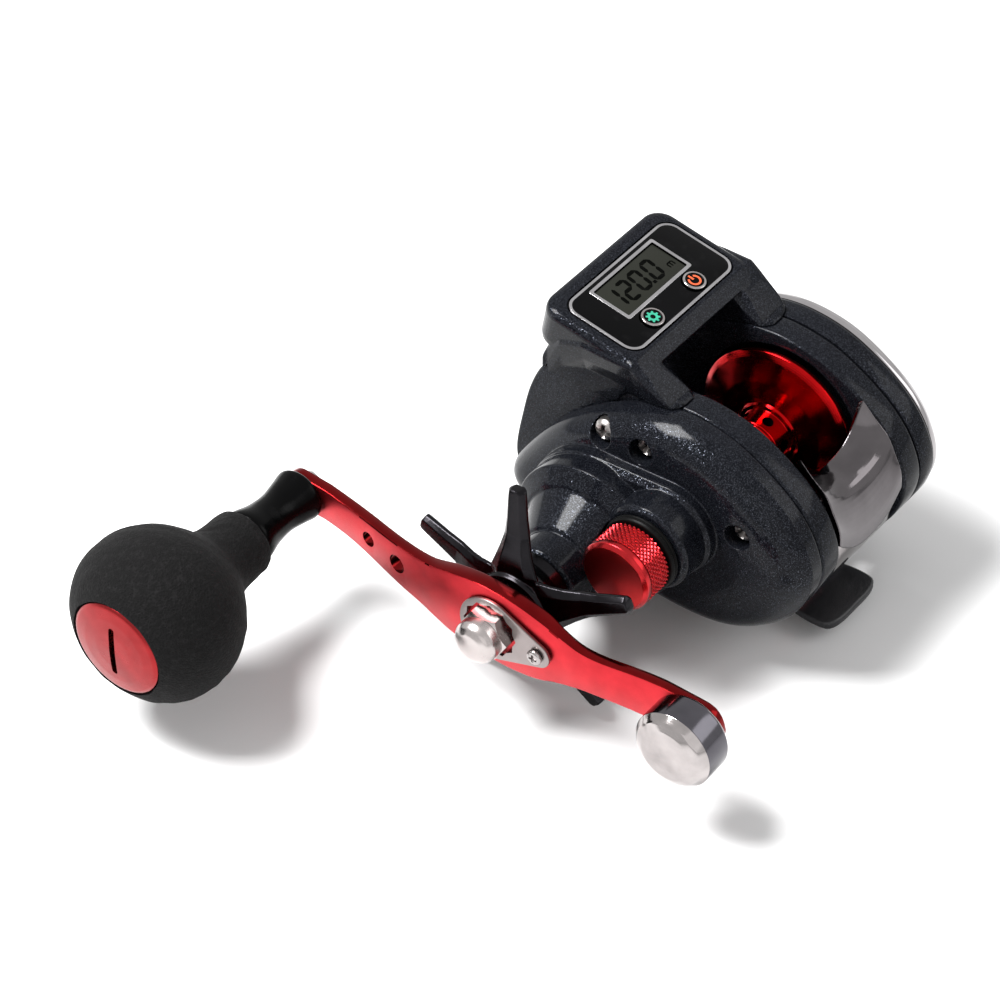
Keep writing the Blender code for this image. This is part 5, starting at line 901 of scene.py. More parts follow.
    def piece(self, name: str, body: str, slot: Slot, finish: Finish, nodes: Sequence[str] = (),
              second: tuple[Finish, FaceTest] | None = None,
              sharp: float = 38.0) -> bpy.types.Object:
        """Turn the solid into a piece of the scene.

        Args:
            name: name of the piece.
            body: CAD body that it rides on.
            slot: slot of the record; not used.
            finish: its finish.
            nodes: CAD nodes that it stands for.
            second: another finish, and the test on a face's middle and normal that gives it.
            sharp: angle in degrees above which an edge stays sharp.

        Returns:
            The piece.
        """
        mesh = self.holder.data
        mesh.materials.clear()
        mesh.materials.append(finish.material())
        if second:
            mesh.materials.append(second[0].material())
        for face in mesh.polygons:
            face.material_index = int(bool(second and second[1](face.center, face.normal)))
        mesh.transform(Matrix.Translation((0, 0, SPOOL_AXIS_HEIGHT)) @ Matrix.Scale(METRE, 4))
        mesh.shade_smooth()
        mesh.set_sharp_from_angle(angle=math.radians(sharp))
        self.holder.name = mesh.name = name
        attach(self.holder, body)
        if nodes:
            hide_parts(*nodes)
        log.info("%s on %s: %d faces", name, body, len(mesh.polygons))
        return self.holder


# Places and lines that the sub-assemblies share

SPOOL: Pair = (0.0, 0.0)
DRIVE: Pair = (15.879, -8.231)
WORM: Pair = (31.867, -8.231)
GUIDE_RAIL: Pair = (35.167, 12.069)
YOKE_SPRINGS: tuple[Pair, ...] = ((3.175, 6.126), (-3.175, -6.126))
PRESS = 3.0
PRESS_WAY: Pair = (-0.5, -0.866)
ARM_TURN = math.radians(2.6)
ARM_ALONG = Vector((0.0, math.cos(ARM_TURN), math.sin(ARM_TURN)))
ARM_ACROSS = Vector((0.0, -math.sin(ARM_TURN), math.cos(ARM_TURN)))
KNOB: Pair = (69.124, -5.813)
WEIGHT: Pair = (-30.573, -10.340)
DISPLAY = Matrix.Translation((0.0, 28.15, 31.15)) @ Matrix.Rotation(math.radians(10.8), 4, "X")


@dataclass(frozen=True)
class SideLines:
    """Side outlines of the frame and the covers, as shares of their reach."""

    back: float = 30.0
    rise: float = 21.2
    drop: float = 26.0
    frame_reach: float = 46.0
    cover_reach: float = 43.3
    centre: Pair = (6.3, -2.52)
    cover_shares: tuple[Pair, ...] = (
        (-1.000, -0.135), (-0.930, 0.190), (-0.780, 0.480), (-0.560, 0.720), (-0.270, 0.925),
        (0.020, 1.000), (0.210, 0.962), (0.395, 0.811), (0.580, 0.575), (0.755, 0.259),
        (0.890, -0.077), (1.000, -0.404), (0.970, -0.577), (0.808, -0.750), (0.554, -0.885),
        (0.231, -0.969), (-0.133, -1.000), (-0.467, -0.938), (-0.733, -0.738), (-0.920, -0.462))
    frame_shares: tuple[Pair, ...] = (
        (-1.000, -0.135), (-0.930, 0.190), (-0.780, 0.480), (-0.560, 0.720), (-0.270, 0.925),
        (0.020, 1.000), (0.180, 0.972), (0.360, 0.868), (0.540, 0.821), (0.740, 0.792),
        (0.850, 0.700), (0.920, 0.400), (0.965, 0.000), (1.000, -0.404), (0.960, -0.577),
        (0.790, -0.760), (0.540, -0.885), (0.225, -0.969), (-0.133, -1.000), (-0.467, -0.938),
        (-0.733, -0.738), (-0.920, -0.462))

    def line(self, shares: Sequence[Pair], reach: float, steps: int) -> Outline:
        """Outline of shares at a forward reach."""
        return Outline.smooth([(y * (reach if y > 0 else self.back), z * (self.rise if z > 0 else self.drop))
                               for y, z in shares], steps)

    def cover(self, steps: int = 12) -> Outline:
        """Outline of the side covers."""
        return self.line(self.cover_shares, self.cover_reach, steps)

    def plate(self, steps: int = 12) -> Outline:
        """Outline of the frame's side plates."""
        return self.line(self.frame_shares, self.frame_reach, steps)

    def skin(self, side: Side, stations: Sequence[tuple[float, float, float]], steps: int = 12) -> Solid:
        """Loft of the cover's outline through (out, share, inset) stations.

        Args:
            side: side of the reel.
            stations: how far out, share of the outline and inset of each ring.
            steps: points between two of the outline's shares.

        Returns:
            The solid.
        """
        rings = []
        for out, share, depth in stations:
            line = self.cover(steps)
            line = line.inset(depth) if depth else line
            rings.append(line.shrunk(self.centre, share).side(side.value * out))
        return Solid.loft(rings)


LINES = SideLines()
SCREW_PLACES: tuple[Pair, ...] = ((19.00, 12.40), (8.60, 13.60), (-15.00, 3.90))


def screw(place: Pair, seat: float, head: float, height: float, shank: float, tip: float) -> Solid:
    """Pan screw with a tapered cross recess, its head towards the handle side.

    Args:
        place: its axis.
        seat: where its head starts.
        head: radius of the head.
        height: height of the head.
        shank: radius of the shank.
        tip: where the shank ends.

    Returns:
        The screw.
    """
    top = seat + height
    profile = [(tip, 0), (tip, shank), (seat, shank), (seat, head), (top - height * 0.42, head),
               (top - height * 0.12, head * 0.78), (top, head * 0.45), (top, 0)]
    body = Solid.turned(place, Side.GEAR, eased(profile, 0.22, 3), 48)
    reach, half = head * 0.74, head * 0.17
    for wide, tall in ((reach, half), (half, reach)):
        rings = []
        for out, share in ((top - height * 0.5, 0.45), (top + 0.5, 1.25)):
            rings.append([Vector((-out, place[0] + a * max(wide * share, half * 0.8),
                                  place[1] + b * max(tall * share, half * 0.8)))
                          for a, b in ((-1, -1), (1, -1), (1, 1), (-1, 1))])
        body.cut(Solid.loft(rings))
    return body


# Sub-assemblies

@dataclass
class FrameBody:
    """Moulded frame: side plates, floor, rear pillar and the foot under it."""

    inner: float = 12.0
    face: float = 18.0
    deck: float = 2.2
    foot: float = -29.0
    foot_thick: float = 2.0
    rivet_place: float = 8.0

    def build(self) -> None:
        """Build the frame and the foot."""
        self.moulding()
        self.foot_plate()

    def slot(self, side: Side) -> Solid:
        """Pocket where the thumb bar's peg rides.

        Args:
            side: side of the reel.

        Returns:
            The cutter.
        """
        low, high, back, front = -3.3, 2.3, -25.0, -21.4
        move = [PRESS * way for way in PRESS_WAY]
        line = Outline([(back, high), (front, high), (front, low), (front + move[0], low + move[1]),
                        (back + move[0], low + move[1]), (back + move[0], high + move[1])])
        end = self.face + 0.6 if side is Side.GEAR else self.inner + 1.3
        return Solid.slab(line, side.value * (self.inner - 1), side.value * end)

    def moulding(self) -> None:
        """Two side plates with their bores, joined by the floor and the pillar."""
        line = LINES.plate()
        gear = Solid.slab(line, -self.face, -self.inner, 0.7, 4)
        palm = Solid.slab(line, self.inner, self.face, 0.7, 4)
        inside, outside = self.inner - 1, self.face + 1
        gear.cut(Solid.rod(SPOOL, Side.GEAR, inside, outside, 5.0),
                 Solid.rod(WORM, Side.GEAR, inside, outside, 1.9, 24),
                 Solid.rod(DRIVE, Side.GEAR, self.face - 4.3, outside, 4.5),
                 Solid.rod(GUIDE_RAIL, Side.GEAR, inside, 15.0, 1.3, 24),
                 self.slot(Side.GEAR))
        for place in SCREW_PLACES:
            gear.cut(Solid.rod(place, Side.GEAR, self.face - 4.3, outside, 1.3, 24))
        palm.cut(Solid.rod(SPOOL, Side.PALM, inside, outside, 18.6, 128),
                 Solid.rod(WORM, Side.PALM, inside, 15.0, 1.9, 24),
                 Solid.rod(GUIDE_RAIL, Side.PALM, inside, 15.0, 1.3, 24),
                 self.slot(Side.PALM))
        lower = flowing([(-15.0, -22.88), (-12.0, -25.40), (11.96, -25.40), (24.84, -22.36),
                         (36.34, -18.98), (43.24, -14.56)], 5)
        lower = [(y, max(z, -25.40)) for y, z in lower]
        floor = Solid.slab(Outline(lower + [(y, z + self.deck) for y, z in lower[::-1]]), -12.5, 12.5)
        pillar = Solid.rod((-21.5, -15.0), Side.PALM, -12.5, 12.5, 1.8, 32)
        gear.join(palm, floor, pillar)
        for sign, spring in zip((1, -1), YOKE_SPRINGS):
            gear.join(Solid.rod(spring, Side.GEAR, 17.5, 28.7, 1.0, 24))
            post = Outline.circle((0.0, sign * self.rivet_place), 1.7, 32)
            gear.cut(Solid.loft([post.level(-28.0), post.level(-22.0)]))
        gear.piece("frame_moulding", "reel_body", Slot.PAINT, PAINT, ["main_frame"])

    def foot_plate(self) -> None:
        """Foot with rounded tips, its pad and the heads of its rivets."""
        tip = [(5.2, 27.9), (8.2, 26.9), (9.0, 24.6), (8.9, 20.5), (8.0, 16.0), (6.8, 12.6), (6.5, 9.0)]
        half = [(0.0, 28.0), *tip, (6.5, 0.0), *[(x, -y) for x, y in tip[::-1]]]
        line = Outline.smooth(half + [(-x, -y) for x, y in half], 3)
        flat = Matrix.Identity(4)
        foot = Solid.slab(line, self.foot, self.foot + self.foot_thick, 0.55, 4, flat)
        foot.join(Solid.slab(Outline.box(6.4, -12.0, 12.0, 1.2), -27.4, -25.7, base=flat))
        head = [(1.4, -26.2), (1.4, -22.9), (2.4, -22.9), (2.4, -22.55), (2.0, -22.25), (1.3, -22.1)]
        for sign in (1, -1):
            rings = [Outline.circle((0.0, sign * self.rivet_place), r, 32).level(z) for r, z in head]
            foot.join(Solid.loft(rings))
        foot.piece("foot_plate", "reel_body", Slot.SATIN, SATIN_BLACK, ["reel_foot"])


@dataclass
class GearSide:
    """Handle-side cover with its plateau, gear tub, shaft tube and knob collar."""

    seat: float = 18.3
    rim: float = 21.8
    top: float = 27.2
    wall: float = 1.4
    plateau: float = 30.6
    tub: float = 17.575
    tub_out: float = 35.6
    tube: float = 8.3
    tube_start: float = 43.9
    tube_out: float = 50.7
    screw_seat: float = 22.6
    screw_head: float = 2.5
    screw_height: float = 2.6

    def build(self) -> None:
        """Build the cover and its screws."""
        self.cover()
        for name, place in zip(("front", "top", "rear"), SCREW_PLACES):
            # faces low in each cross recess take near-black gloss: painted shade
            screw(place, self.screw_seat, self.screw_head, self.screw_height, 1.0, 14.0).piece(
                f"cover_screw_{name}", "reel_body", Slot.POLISHED, SCREW_STEEL, [f"gear_cover_screw_{name}"],
                (SLEEVE_BLACK, self.shaded_recess(place)))

    def shaded_recess(self, place: Pair) -> FaceTest:
        """Test for the faces low in a screw's recess, which take near-black gloss as painted shade.

        Args:
            place: axis of the screw.

        Returns:
            The test.
        """
        def inside(middle: Vector, normal: Vector) -> bool:
            """Whether a face lies in the recess."""
            return -middle.x < self.screw_seat + 2.0 and math.dist(middle.yz, place) < 1.8

        return inside

    def outside(self) -> Solid:
        """Outer form, cast in one with its fillets.

        Returns:
            The solid, not yet hollowed.
        """
        side = Side.GEAR
        dome = flowing([(self.rim, 1.0), (23.58, 0.965), (25.42, 0.90), (26.66, 0.80), (self.top, 0.62)], 4)
        stations = [(self.seat, 0.994, 0.0), (18.6, 1.0, 0.0)]
        body = LINES.skin(side, stations + [(x, share, 0.0) for x, share in dome])
        hull = Outline.belt(SPOOL, 10.5, DRIVE, self.tub + 0.3)
        low = self.plateau - 1.3
        plateau = Solid.loft([hull.inset(d).side(-x) for x, d in
                              ((self.rim, 0.0), (low, 0.0), (low + 0.1, 0.06), (self.plateau, 1.25))])
        profile = [(19.7, 0), (19.7, 17.2), (22.1, self.tub), (34.1, self.tub), (self.tub_out + 0.75, 14.3),
                   (self.tub_out + 1.0, 13.5), (self.tube_start - 0.4, 9.1), (self.tube_start, self.tube),
                   (50.0, self.tube), (self.tube_out, 7.6), (self.tube_out, 0)]
        tub = Solid.turned(DRIVE, side, eased(profile, 0.3), 160)
        collar = Solid.turned(SPOOL, side, eased([(23.2, 0), (23.2, 9.8), (36.2, 9.8), (37.0, 9.0),
                                                  (37.0, 6.4), (42.0, 6.4), (42.0, 0)], 0.3), 96)
        body.join(plateau, tub)
        body.cut(Solid.rod(SPOOL, side, 36.5, 52.0, 9.1, 96))
        body.join(collar)
        for place in SCREW_PLACES:
            body.cut(Solid.rod(place, side, self.screw_seat - 0.05, 32.0, self.screw_head + 0.35))
        return body.recast(0.18, 1, 0.35)

    def cover(self) -> None:
        """Outer form with the rooms of the gears, bearings and springs cut into it."""
        side = Side.GEAR
        body = self.outside()
        hollow = LINES.skin(side, [(x, share, self.wall) for x, share in (
            (17.3, 1.0), (self.rim, 1.0), (24.02, 0.90), (25.26, 0.80), (25.8, 0.62))], 3)
        hollow.cut(*[Solid.rod(place, side, 17.0, self.plateau, 3.3, 24) for place in SCREW_PLACES])
        gear_room = Solid.turned(DRIVE, side, [(17.3, 0), (17.3, 16.175), (32.7, 16.175), (34.2, 14.675),
                                               (34.2, 7.0), (49.9, 7.0), (49.9, 4.5), (51.7, 4.5), (51.7, 0)])
        pinion_room = Solid.turned(SPOOL, side, [(17.3, 0), (17.3, 9.2), (26.9, 9.2), (26.9, 4.3),
                                                 (37.0, 4.0), (37.0, 3.4), (43.0, 3.4), (43.0, 0)], 48)
        springs = [Solid.rod(place, side, 17.3, 29.44, 2.32, 24) for place in YOKE_SPRINGS]
        holes = [Solid.rod(place, side, 17.3, self.screw_seat + 0.6, 1.3, 24) for place in SCREW_PLACES]
        body.cut(hollow, pinion_room, gear_room, *springs, *holes)
        body.piece("gear_cover", "reel_body", Slot.PAINT, PAINT, ["gear_side_cover"], sharp=50)


@dataclass
class PalmSide:
    """Palm-side cover with its drum, chrome cap and brake dial."""

    seat: float = 18.3
    rim: float = 23.0
    face: float = 23.6
    cap_out: float = 29.5
    wall: float = 1.4
    dial: float = 9.0
    dial_out: float = 30.7

    def build(self) -> None:
        """Build the cover, the cap and the dial."""
        side = Side.PALM
        cover = LINES.skin(side, [(self.seat, 0.994, 0), (18.6, 1.0, 0), (self.rim - 0.3, 1.0, 0),
                                  (self.rim, 0.998, 0), (self.face, 0.985, 0)])
        cover.cut(LINES.skin(side, [(19.7, 1.0, self.wall), (24.6, 1.0, self.wall)], 6))
        cover.join(Solid.turned(SPOOL, side, [(15.3, 18.0), (18.8, 18.0), (18.8, 16.6), (15.3, 16.6)], 96),
                   Solid.rod(SPOOL, side, 14.3, 20.9, 5.2))
        cover.cut(Solid.rod(SPOOL, side, 13.3, 18.5, 4.0))
        cover.piece("palm_cover", "reel_body", Slot.PAINT, PAINT, ["palm_side_cover"])
        self.cap()
        self.brake_dial()

    def cap(self) -> None:
        """Domed chrome cap with a lipped hole for the dial."""
        side = Side.PALM
        dome = flowing([(25.0, 0.985), (26.7, 0.950), (28.268, 0.860), (29.164, 0.740),
                        (self.cap_out, 0.580)], 5)
        cap = LINES.skin(side, [(23.9, 0.982, 0), (24.1, 0.985, 0)] + [(x, s, 0) for x, s in dome])
        inside = ((22.9, 0.985), (25.3, 0.95), (26.87, 0.86), (28.1, 0.58))
        hole = [(22.9, 0), (22.9, 9.3), (29.1, 9.3), (29.6, 9.9), (31.0, 9.9), (31.0, 0)]
        cap.cut(LINES.skin(side, [(x, share, self.wall) for x, share in inside], 4),
                Solid.turned(SPOOL, side, hole, 96))
        cap.piece("chrome_cap", "reel_body", Slot.CHROME, CAP_CHROME, ["palm_side_cap"])

    def brake_dial(self) -> None:
        """Dial with a fluted rim, a sunk face and a finger rib."""
        out, radius = self.dial_out, self.dial
        profile = eased([(21.2, 0), (21.2, 5.2), (27.7, 5.2), (27.7, radius), (29.0, radius), (30.2, radius),
                         (out, radius * 0.92), (out, radius * 0.62), (30.2, radius * 0.55), (30.2, 0)], 0.3)
        dial = Solid.turned(SPOOL, Side.PALM, profile, 144, self.flutes)
        rib = Solid.slab(Outline.box(0.8, -4.4, 4.4, 0.7).swapped(), 29.8, 31.1, 0.25)
        dial.join(rib)
        dial.piece("brake_dial_knob", "brake_control", Slot.GLOSS, SLEEVE_BLACK, ["brake_dial"])

    def flutes(self, x: float, angle: float) -> float:
        """Flutes round the dial's rim, as what is added to the radius at an (out, angle)."""
        return -0.22 * (0.5 + 0.5 * math.cos(24 * angle)) if 27.8 < x < 30.3 else 0.0


@dataclass
class Counter:
    """Counter housing on its two shoulders, with the panel, window, figures and buttons."""

    half: float = 20.5
    half_foot: float = 18.6
    front: float = 10.6
    back: float = 16.5
    height: float = 11.8
    lean: float = 3.0
    wall: float = 1.6
    lip: float = 2.2
    panel_half: float = 18.0
    panel_back: float = -11.95
    panel_front: float = 6.7
    window: Pair = (10.2, 4.5)
    button: float = 2.5
    button_gap: float = 0.3
    button_place: Pair = (7.3, -8.3)
    shown: str = "120.0"
    figure: Pair = (2.5, 2.5)
    figure_line: float = 0.42
    figure_start: float = -9.4
    letter_place: float = 7.5

    def build(self) -> None:
        """Build the housing, then what its face carries."""
        self.housing()
        self.panel()
        self.figures()
        self.buttons()

    def ring(self, depth: float, share: float, inset: float) -> list[Vector]:
        """Ring of the block at a depth below its face; share runs from the top to the foot.

        Args:
            depth: depth below the face.
            share: 0 at the top, 1 at the foot.
            inset: how far the ring moves in.

        Returns:
            The ring's points.
        """
        half = self.half + (self.half_foot - self.half) * share
        front = self.front + self.lean * share * 0.3
        back = self.back - (self.back - self.front + self.lean) * share
        box = Outline.box(half - inset, -back + inset, front - inset, self.lip * 2 - inset / 2, 8)
        return box.level(-depth, DISPLAY)

    def shoulder(self, side: Side) -> Solid:
        """Arm that runs from the block back over a side plate, bevelled towards the spool.

        Args:
            side: side of the reel.

        Returns:
            The solid.
        """
        stations = ((4.75, 21.5, 0.0), (5.2, 21.85, 0.3), (6.0, 22.35, 0.6), (8.0, 23.55, 0.8),
                    (11.3, 25.35, 0.95), (13.6, 27.0, 1.0), (15.7, 28.6, 1.0), (18.0, 28.6, 1.0),
                    (22.0, 28.6, 1.0), (28.0, 28.4, 0.9), (34.0, 25.8, 0.6), (38.0, 21.3, 0.1),
                    (39.2, 18.5, 0.1))
        inner, bevel, spread = 12.3, 2.0, 4.2 if side is Side.PALM else 2.8
        rings = []
        for y, top, share in stations:
            outer = 18.0 + spread * share
            low = 18.0 if y < 20 else 12.72
            ring = [(inner, low), (inner, max(top - bevel, low + 0.3)), (inner + 0.7, top - 0.55 * bevel),
                    (inner + bevel, top - 0.1), (inner + bevel + 0.5, top), (outer - 1.4, top),
                    (outer - 0.5, top - 0.35), (outer - 0.1, top - 0.9), (outer, top - 1.5),
                    (18.0 + 0.7 * (outer - 18.0), max(top - 5.0, low + 0.2)),
                    (18.0 + 0.3 * (outer - 18.0), max(top - 8.0, low + 0.1)), (18.0, low)]
            rings.append([Vector((side.value * x, y, z)) for x, z in ring])
        return Solid.loft(rings)

    def housing(self) -> None:
        """Rounded block and shoulders, cast in one, then hollowed and opened."""
        h, lip = self.height, self.lip
        block = Solid.loft([self.ring(*station) for station in (
            (0, 0, lip * 0.8), (lip * 0.12, 0, lip * 0.42), (lip * 0.34, 0.01, lip * 0.14),
            (lip * 0.65, 0.04, lip * 0.03), (lip, 0.08, 0), (h - lip, 0.85, 0), (h - 0.6, 0.96, lip * 0.1),
            (h, 1, lip * 0.35))])
        block.join(self.shoulder(Side.GEAR), self.shoulder(Side.PALM))
        slope = [(-10.04, 1.4), (-16.5, -2.0), (-23.14, -5.49), (-23.14, 6.0), (-10.04, 6.0)]
        block.cut(Solid.loft([[DISPLAY @ Vector((x, y, z)) for y, z in slope] for x in (-25.0, 25.0)]))
        bay = [(1.0, 12.75, -16.1, 4.6), (-1.7, 12.7, -16.15, 4.6), (-2.8, 12.35, -16.5, 4.4),
               (-22.0, 12.35, -16.5, 4.4)]
        block.cut(Solid.loft([Outline.box(half, -40.0, high, corner, 8).level(z, DISPLAY)
                              for z, half, high, corner in bay]))
        block.recast(0.20, 2, 0.35)
        hollow = Solid.loft([self.ring(1.9, 0.1, self.wall), self.ring(h - lip, 0.85, self.wall),
                             self.ring(h + 2, 1, self.wall)])
        grown, covers = LINES.plate(8).inset(-0.3), LINES.cover(8).inset(-0.25)
        well = Outline.box(self.panel_half + 0.3, self.panel_back - 0.3, self.panel_front + 0.3, 3.8)
        block.cut(hollow, Solid.slab(grown, -18.2, 18.2),
                  Solid.slab(covers, 17.9, 25), Solid.slab(covers, -25, -17.9),
                  self.plate(well, -1.1, 1.5), self.plate(self.pane(0.6), -5.9, 1.5),
                  *self.button_holes(-5.9, 1.5), self.battery_hole())
        block.piece("counter_shell", "reel_body", Slot.PAINT, PAINT, ["counter_housing"], sharp=50)

    def button_holes(self, low: float, high: float) -> list[Solid]:
        """Cutters of the two button holes between two heights.

        Args:
            low: lower height.
            high: upper height.

        Returns:
            The two cutters.
        """
        radius = self.button + self.button_gap
        return [self.plate(Outline.circle(self.button_middle(sign), radius, 48), low, high)
                for sign in (1, -1)]

    def button_middle(self, sign: int) -> Pair:
        """Middle of the button on one side of the panel."""
        return sign * self.button_place[0], self.button_place[1]

    def battery_hole(self) -> Solid:
        """Opening of the battery cap in the front wall.

        Returns:
            The cutter.
        """
        top = DISPLAY @ Vector((0, self.front, 0))
        foot = DISPLAY @ Vector((0, self.front + self.lean * 0.3, -self.height))
        down = (foot - top).normalized()
        out = Vector((1, 0, 0)).cross(down)
        turn = Matrix((Vector((1, 0, 0)), down, out)).transposed()
        base = Matrix.Translation(top + down * 6.25) @ turn.to_4x4()
        return Solid.slab(Outline.circle(SPOOL, 4.8, 48), -3.2, 3.2, base=base)

    def plate(self, outline: Outline, low: float, high: float, edge: float = 0.0) -> Solid:
        """Plate of the display's plane."""
        return Solid.slab(outline, low, high, edge, 3, DISPLAY)

    def pane(self, grow: float = 0.0, corner: float = 0.3, count: int = 2) -> Outline:
        """Outline of the window, grown on all sides."""
        wide, tall = self.window[0] + grow, self.window[1] + grow
        return Outline.box(wide, -tall, tall, corner, count)

    def panel(self) -> None:
        """Gloss panel with its silver line and window frame, and the glass below."""
        body = "reel_body"
        line = Outline.box(self.panel_half, self.panel_back, self.panel_front, 3.5, 10)
        panel = self.plate(line, -0.8, 0.0, 0.2)
        panel.cut(self.plate(self.pane(), -2, 2), *self.button_holes(-2, 2))
        panel.piece("panel_face", body, Slot.GLOSS, GLOSS_BLACK, ["display_panel"])
        rim = self.plate(line.inset(0.12), -0.2, 0.06, 0.06)
        rim.cut(self.plate(line.inset(0.72), -2, 2))
        rim.piece("panel_line", body, Slot.POLISHED, SILVER_LINE)
        window = self.plate(self.pane(0.75, 0.5, 3), -0.2, 0.08, 0.08)
        window.cut(self.plate(self.pane(), -2, 2))
        window.piece("window_frame", body, Slot.POLISHED, SILVER_LINE)
        glass = self.plate(self.pane(0.3), -3.1, -1.1)
        glass.join(self.plate(self.pane(-0.15, 0.3, 3), -1.3, -0.3, 0.1))
        glass.piece("display_glass", body, Slot.DISPLAY, Liquid(), ["lcd_module"])

    def figures(self) -> None:
        """Seven-bar figures of the line counter, with the small letter for metres."""
        bars = {"a": ((0, 2), (1, 2)), "b": ((1, 1), (1, 2)), "c": ((1, 0), (1, 1)), "d": ((0, 0), (1, 0)),
                "e": ((0, 0), (0, 1)), "f": ((0, 1), (0, 2)), "g": ((0, 1), (1, 1))}
        lit = {"0": "abcdef", "1": "bc", "2": "abdeg"}
        wide, tall = self.figure
        pen = self.figure_start
        made = []
        for sign in self.shown:
            if sign == ".":
                pen -= 0.75
                made.append(self.bar(Vector((pen, -tall + 0.05)), Vector((pen + 0.1, -tall + 0.05)), 0.36))
                pen += 1.15
                continue
            for name in lit[sign]:
                (ax, ay), (bx, by) = bars[name]
                first = Vector((pen + ax * wide, (ay - 1) * tall))
                second = Vector((pen + bx * wide, (by - 1) * tall))
                made.append(self.bar(self.leant(first), self.leant(second), self.figure_line))
            pen += wide + 1.45
        x, y = self.letter_place, -tall
        for start, end in (((0, 0), (0, 1.3)), ((0.75, 0), (0.75, 1.2)), ((1.5, 0), (1.5, 1.3)),
                           ((0, 1.25), (1.5, 1.25))):
            ends = [Vector((x + place[0], y + place[1])) for place in (start, end)]
            made.append(self.bar(*ends, 0.16))
        first = made[0]
        for bar in made[1:]:
            first.join(bar)
        first.piece("figures", "reel_body", Slot.DISPLAY, INK)

    def leant(self, point: Vector) -> Vector:
        """Lean of the figures to the right."""
        return Vector((point.x + point.y * 0.10, point.y))

    def bar(self, start: Vector, end: Vector, half: float) -> Solid:
        """Flat bar with pointed ends between two places of the window.

        Args:
            start: one end.
            end: the other end.
            half: half its width.

        Returns:
            The solid.
        """
        along = (end - start).normalized()
        across = Vector((-along.y, along.x)) * half
        inner, far = start + along * half * 0.45, end - along * half * 0.45
        tip = along * half * 0.8
        points = [start + along * half * 0.05, inner + tip - across, far - tip - across,
                  end - along * half * 0.05, far - tip + across, inner + tip + across]
        if (end - start).length < 1.0:
            points = [start - along * half - across, end + along * half - across,
                      end + along * half + across, start - along * half + across]
        return self.plate(Outline([tuple(p) for p in points]), -0.36, -0.25)

    def buttons(self) -> None:
        """Two round buttons with a bright ring and a coloured symbol."""
        for sign, node, body, slot, finish in ((-1, "set_button", "set_key", Slot.GREEN, GREEN),
                                               (1, "power_button", "power_key", Slot.ORANGE, ORANGE)):
            place = self.button_middle(sign)
            cap = self.plate(Outline.circle(place, self.button, 64), -2.6, 0.45, 0.15)
            cap.piece(f"{node}_cap", body, slot, SLEEVE_BLACK, [node])
            ring = self.plate(Outline.circle(place, self.button - 0.02, 64), 0.2, 0.6, 0.2)
            ring.cut(self.plate(Outline.circle(place, self.button - 0.5, 64), -1, 2))
            ring.piece(f"{node}_ring", body, Slot.POLISHED, POLISHED)
            symbol = self.gear_sign(place) if sign < 0 else self.power_sign(place)
            symbol.piece(f"{node}_sign", body, slot, finish)

    def gear_sign(self, place: Pair) -> Solid:
        """Small toothed wheel.

        Args:
            place: its middle.

        Returns:
            The solid.
        """
        teeth = []
        for k in range(8):
            for share, radius in ((-0.30, 1.12), (-0.16, 1.52), (0.16, 1.52), (0.30, 1.12)):
                angle = (k + share) * math.tau / 8
                teeth.append((place[0] + radius * math.cos(angle), place[1] + radius * math.sin(angle)))
        wheel = self.plate(Outline(teeth), 0.40, 0.52)
        return wheel.cut(self.plate(Outline.circle(place, 0.58, 32), -1, 2))

    def power_sign(self, place: Pair) -> Solid:
        """Open ring with a stroke in its gap.

        Args:
            place: its middle.

        Returns:
            The solid.
        """
        turn = math.radians(38)
        start, end = math.pi / 2 + turn, math.pi / 2 - turn + math.tau
        ring = Outline(arc(place, 1.42, start, end, 40) + arc(place, 0.98, end, start, 40))
        x, y = place
        stroke = Outline([(x - 0.22, y + 0.25), (x + 0.22, y + 0.25), (x + 0.22, y + 1.6),
                          (x - 0.22, y + 1.6)])
        return self.plate(ring, 0.40, 0.52).join(self.plate(stroke, 0.40, 0.53))


@dataclass
class SpoolUnit:
    """Spool with its stepped hub, raised rings and drilled holes."""

    radius: float = 18.0
    half: float = 11.0
    hub: float = 6.0
    holes: int = 6
    hole: float = 1.25

    def build(self) -> None:
        """Turn the spool and drill it."""
        flank = eased([(0.0, self.hub), (0.9, self.hub), (1.0, 6.55), (1.5, 6.55), (1.6, self.hub),
                       (6.2, self.hub), (6.3, 7.0), (6.9, 7.15), (7.1, 8.2), (7.4, 12.0), (9.1, 16.7),
                       (9.9, self.radius), (self.half, self.radius), (self.half, 16.9), (9.6, 15.6),
                       (8.0, 12.6), (8.0, 4.0), (self.half, 4.0), (self.half, 2.3)], 0.25, 3)
        right = [p for p in flank if p[0] > 1e-6]
        profile = [(-x, r) for x, r in right[::-1]] + right
        spool = Solid.turned(SPOOL, Side.PALM, profile, 144)
        for k in range(self.holes):
            base = Matrix.Rotation(math.tau * (k + 0.25) / self.holes, 4, "X")
            for x in (3.9, -3.9):
                line = Outline.circle((x, 0.0), self.hole, 32)
                spool.cut(Solid.loft([line.level(3.2, base), line.level(8.2, base)]))
        # faces deep in the drilled holes take near-black gloss: painted shade
        spool.piece("spool_turning", "spool_unit", Slot.RED, RED_SPOOL, ["spool"],
                    (SLEEVE_BLACK, self.in_shaded_hole), 30)

    def in_shaded_hole(self, middle: Vector, normal: Vector) -> bool:
        """Whether a face lies deep in one of the holes; those faces take near-black gloss as painted shade.
        """
        return abs(middle.x) < 5.4 and middle.yz.length < 5.6


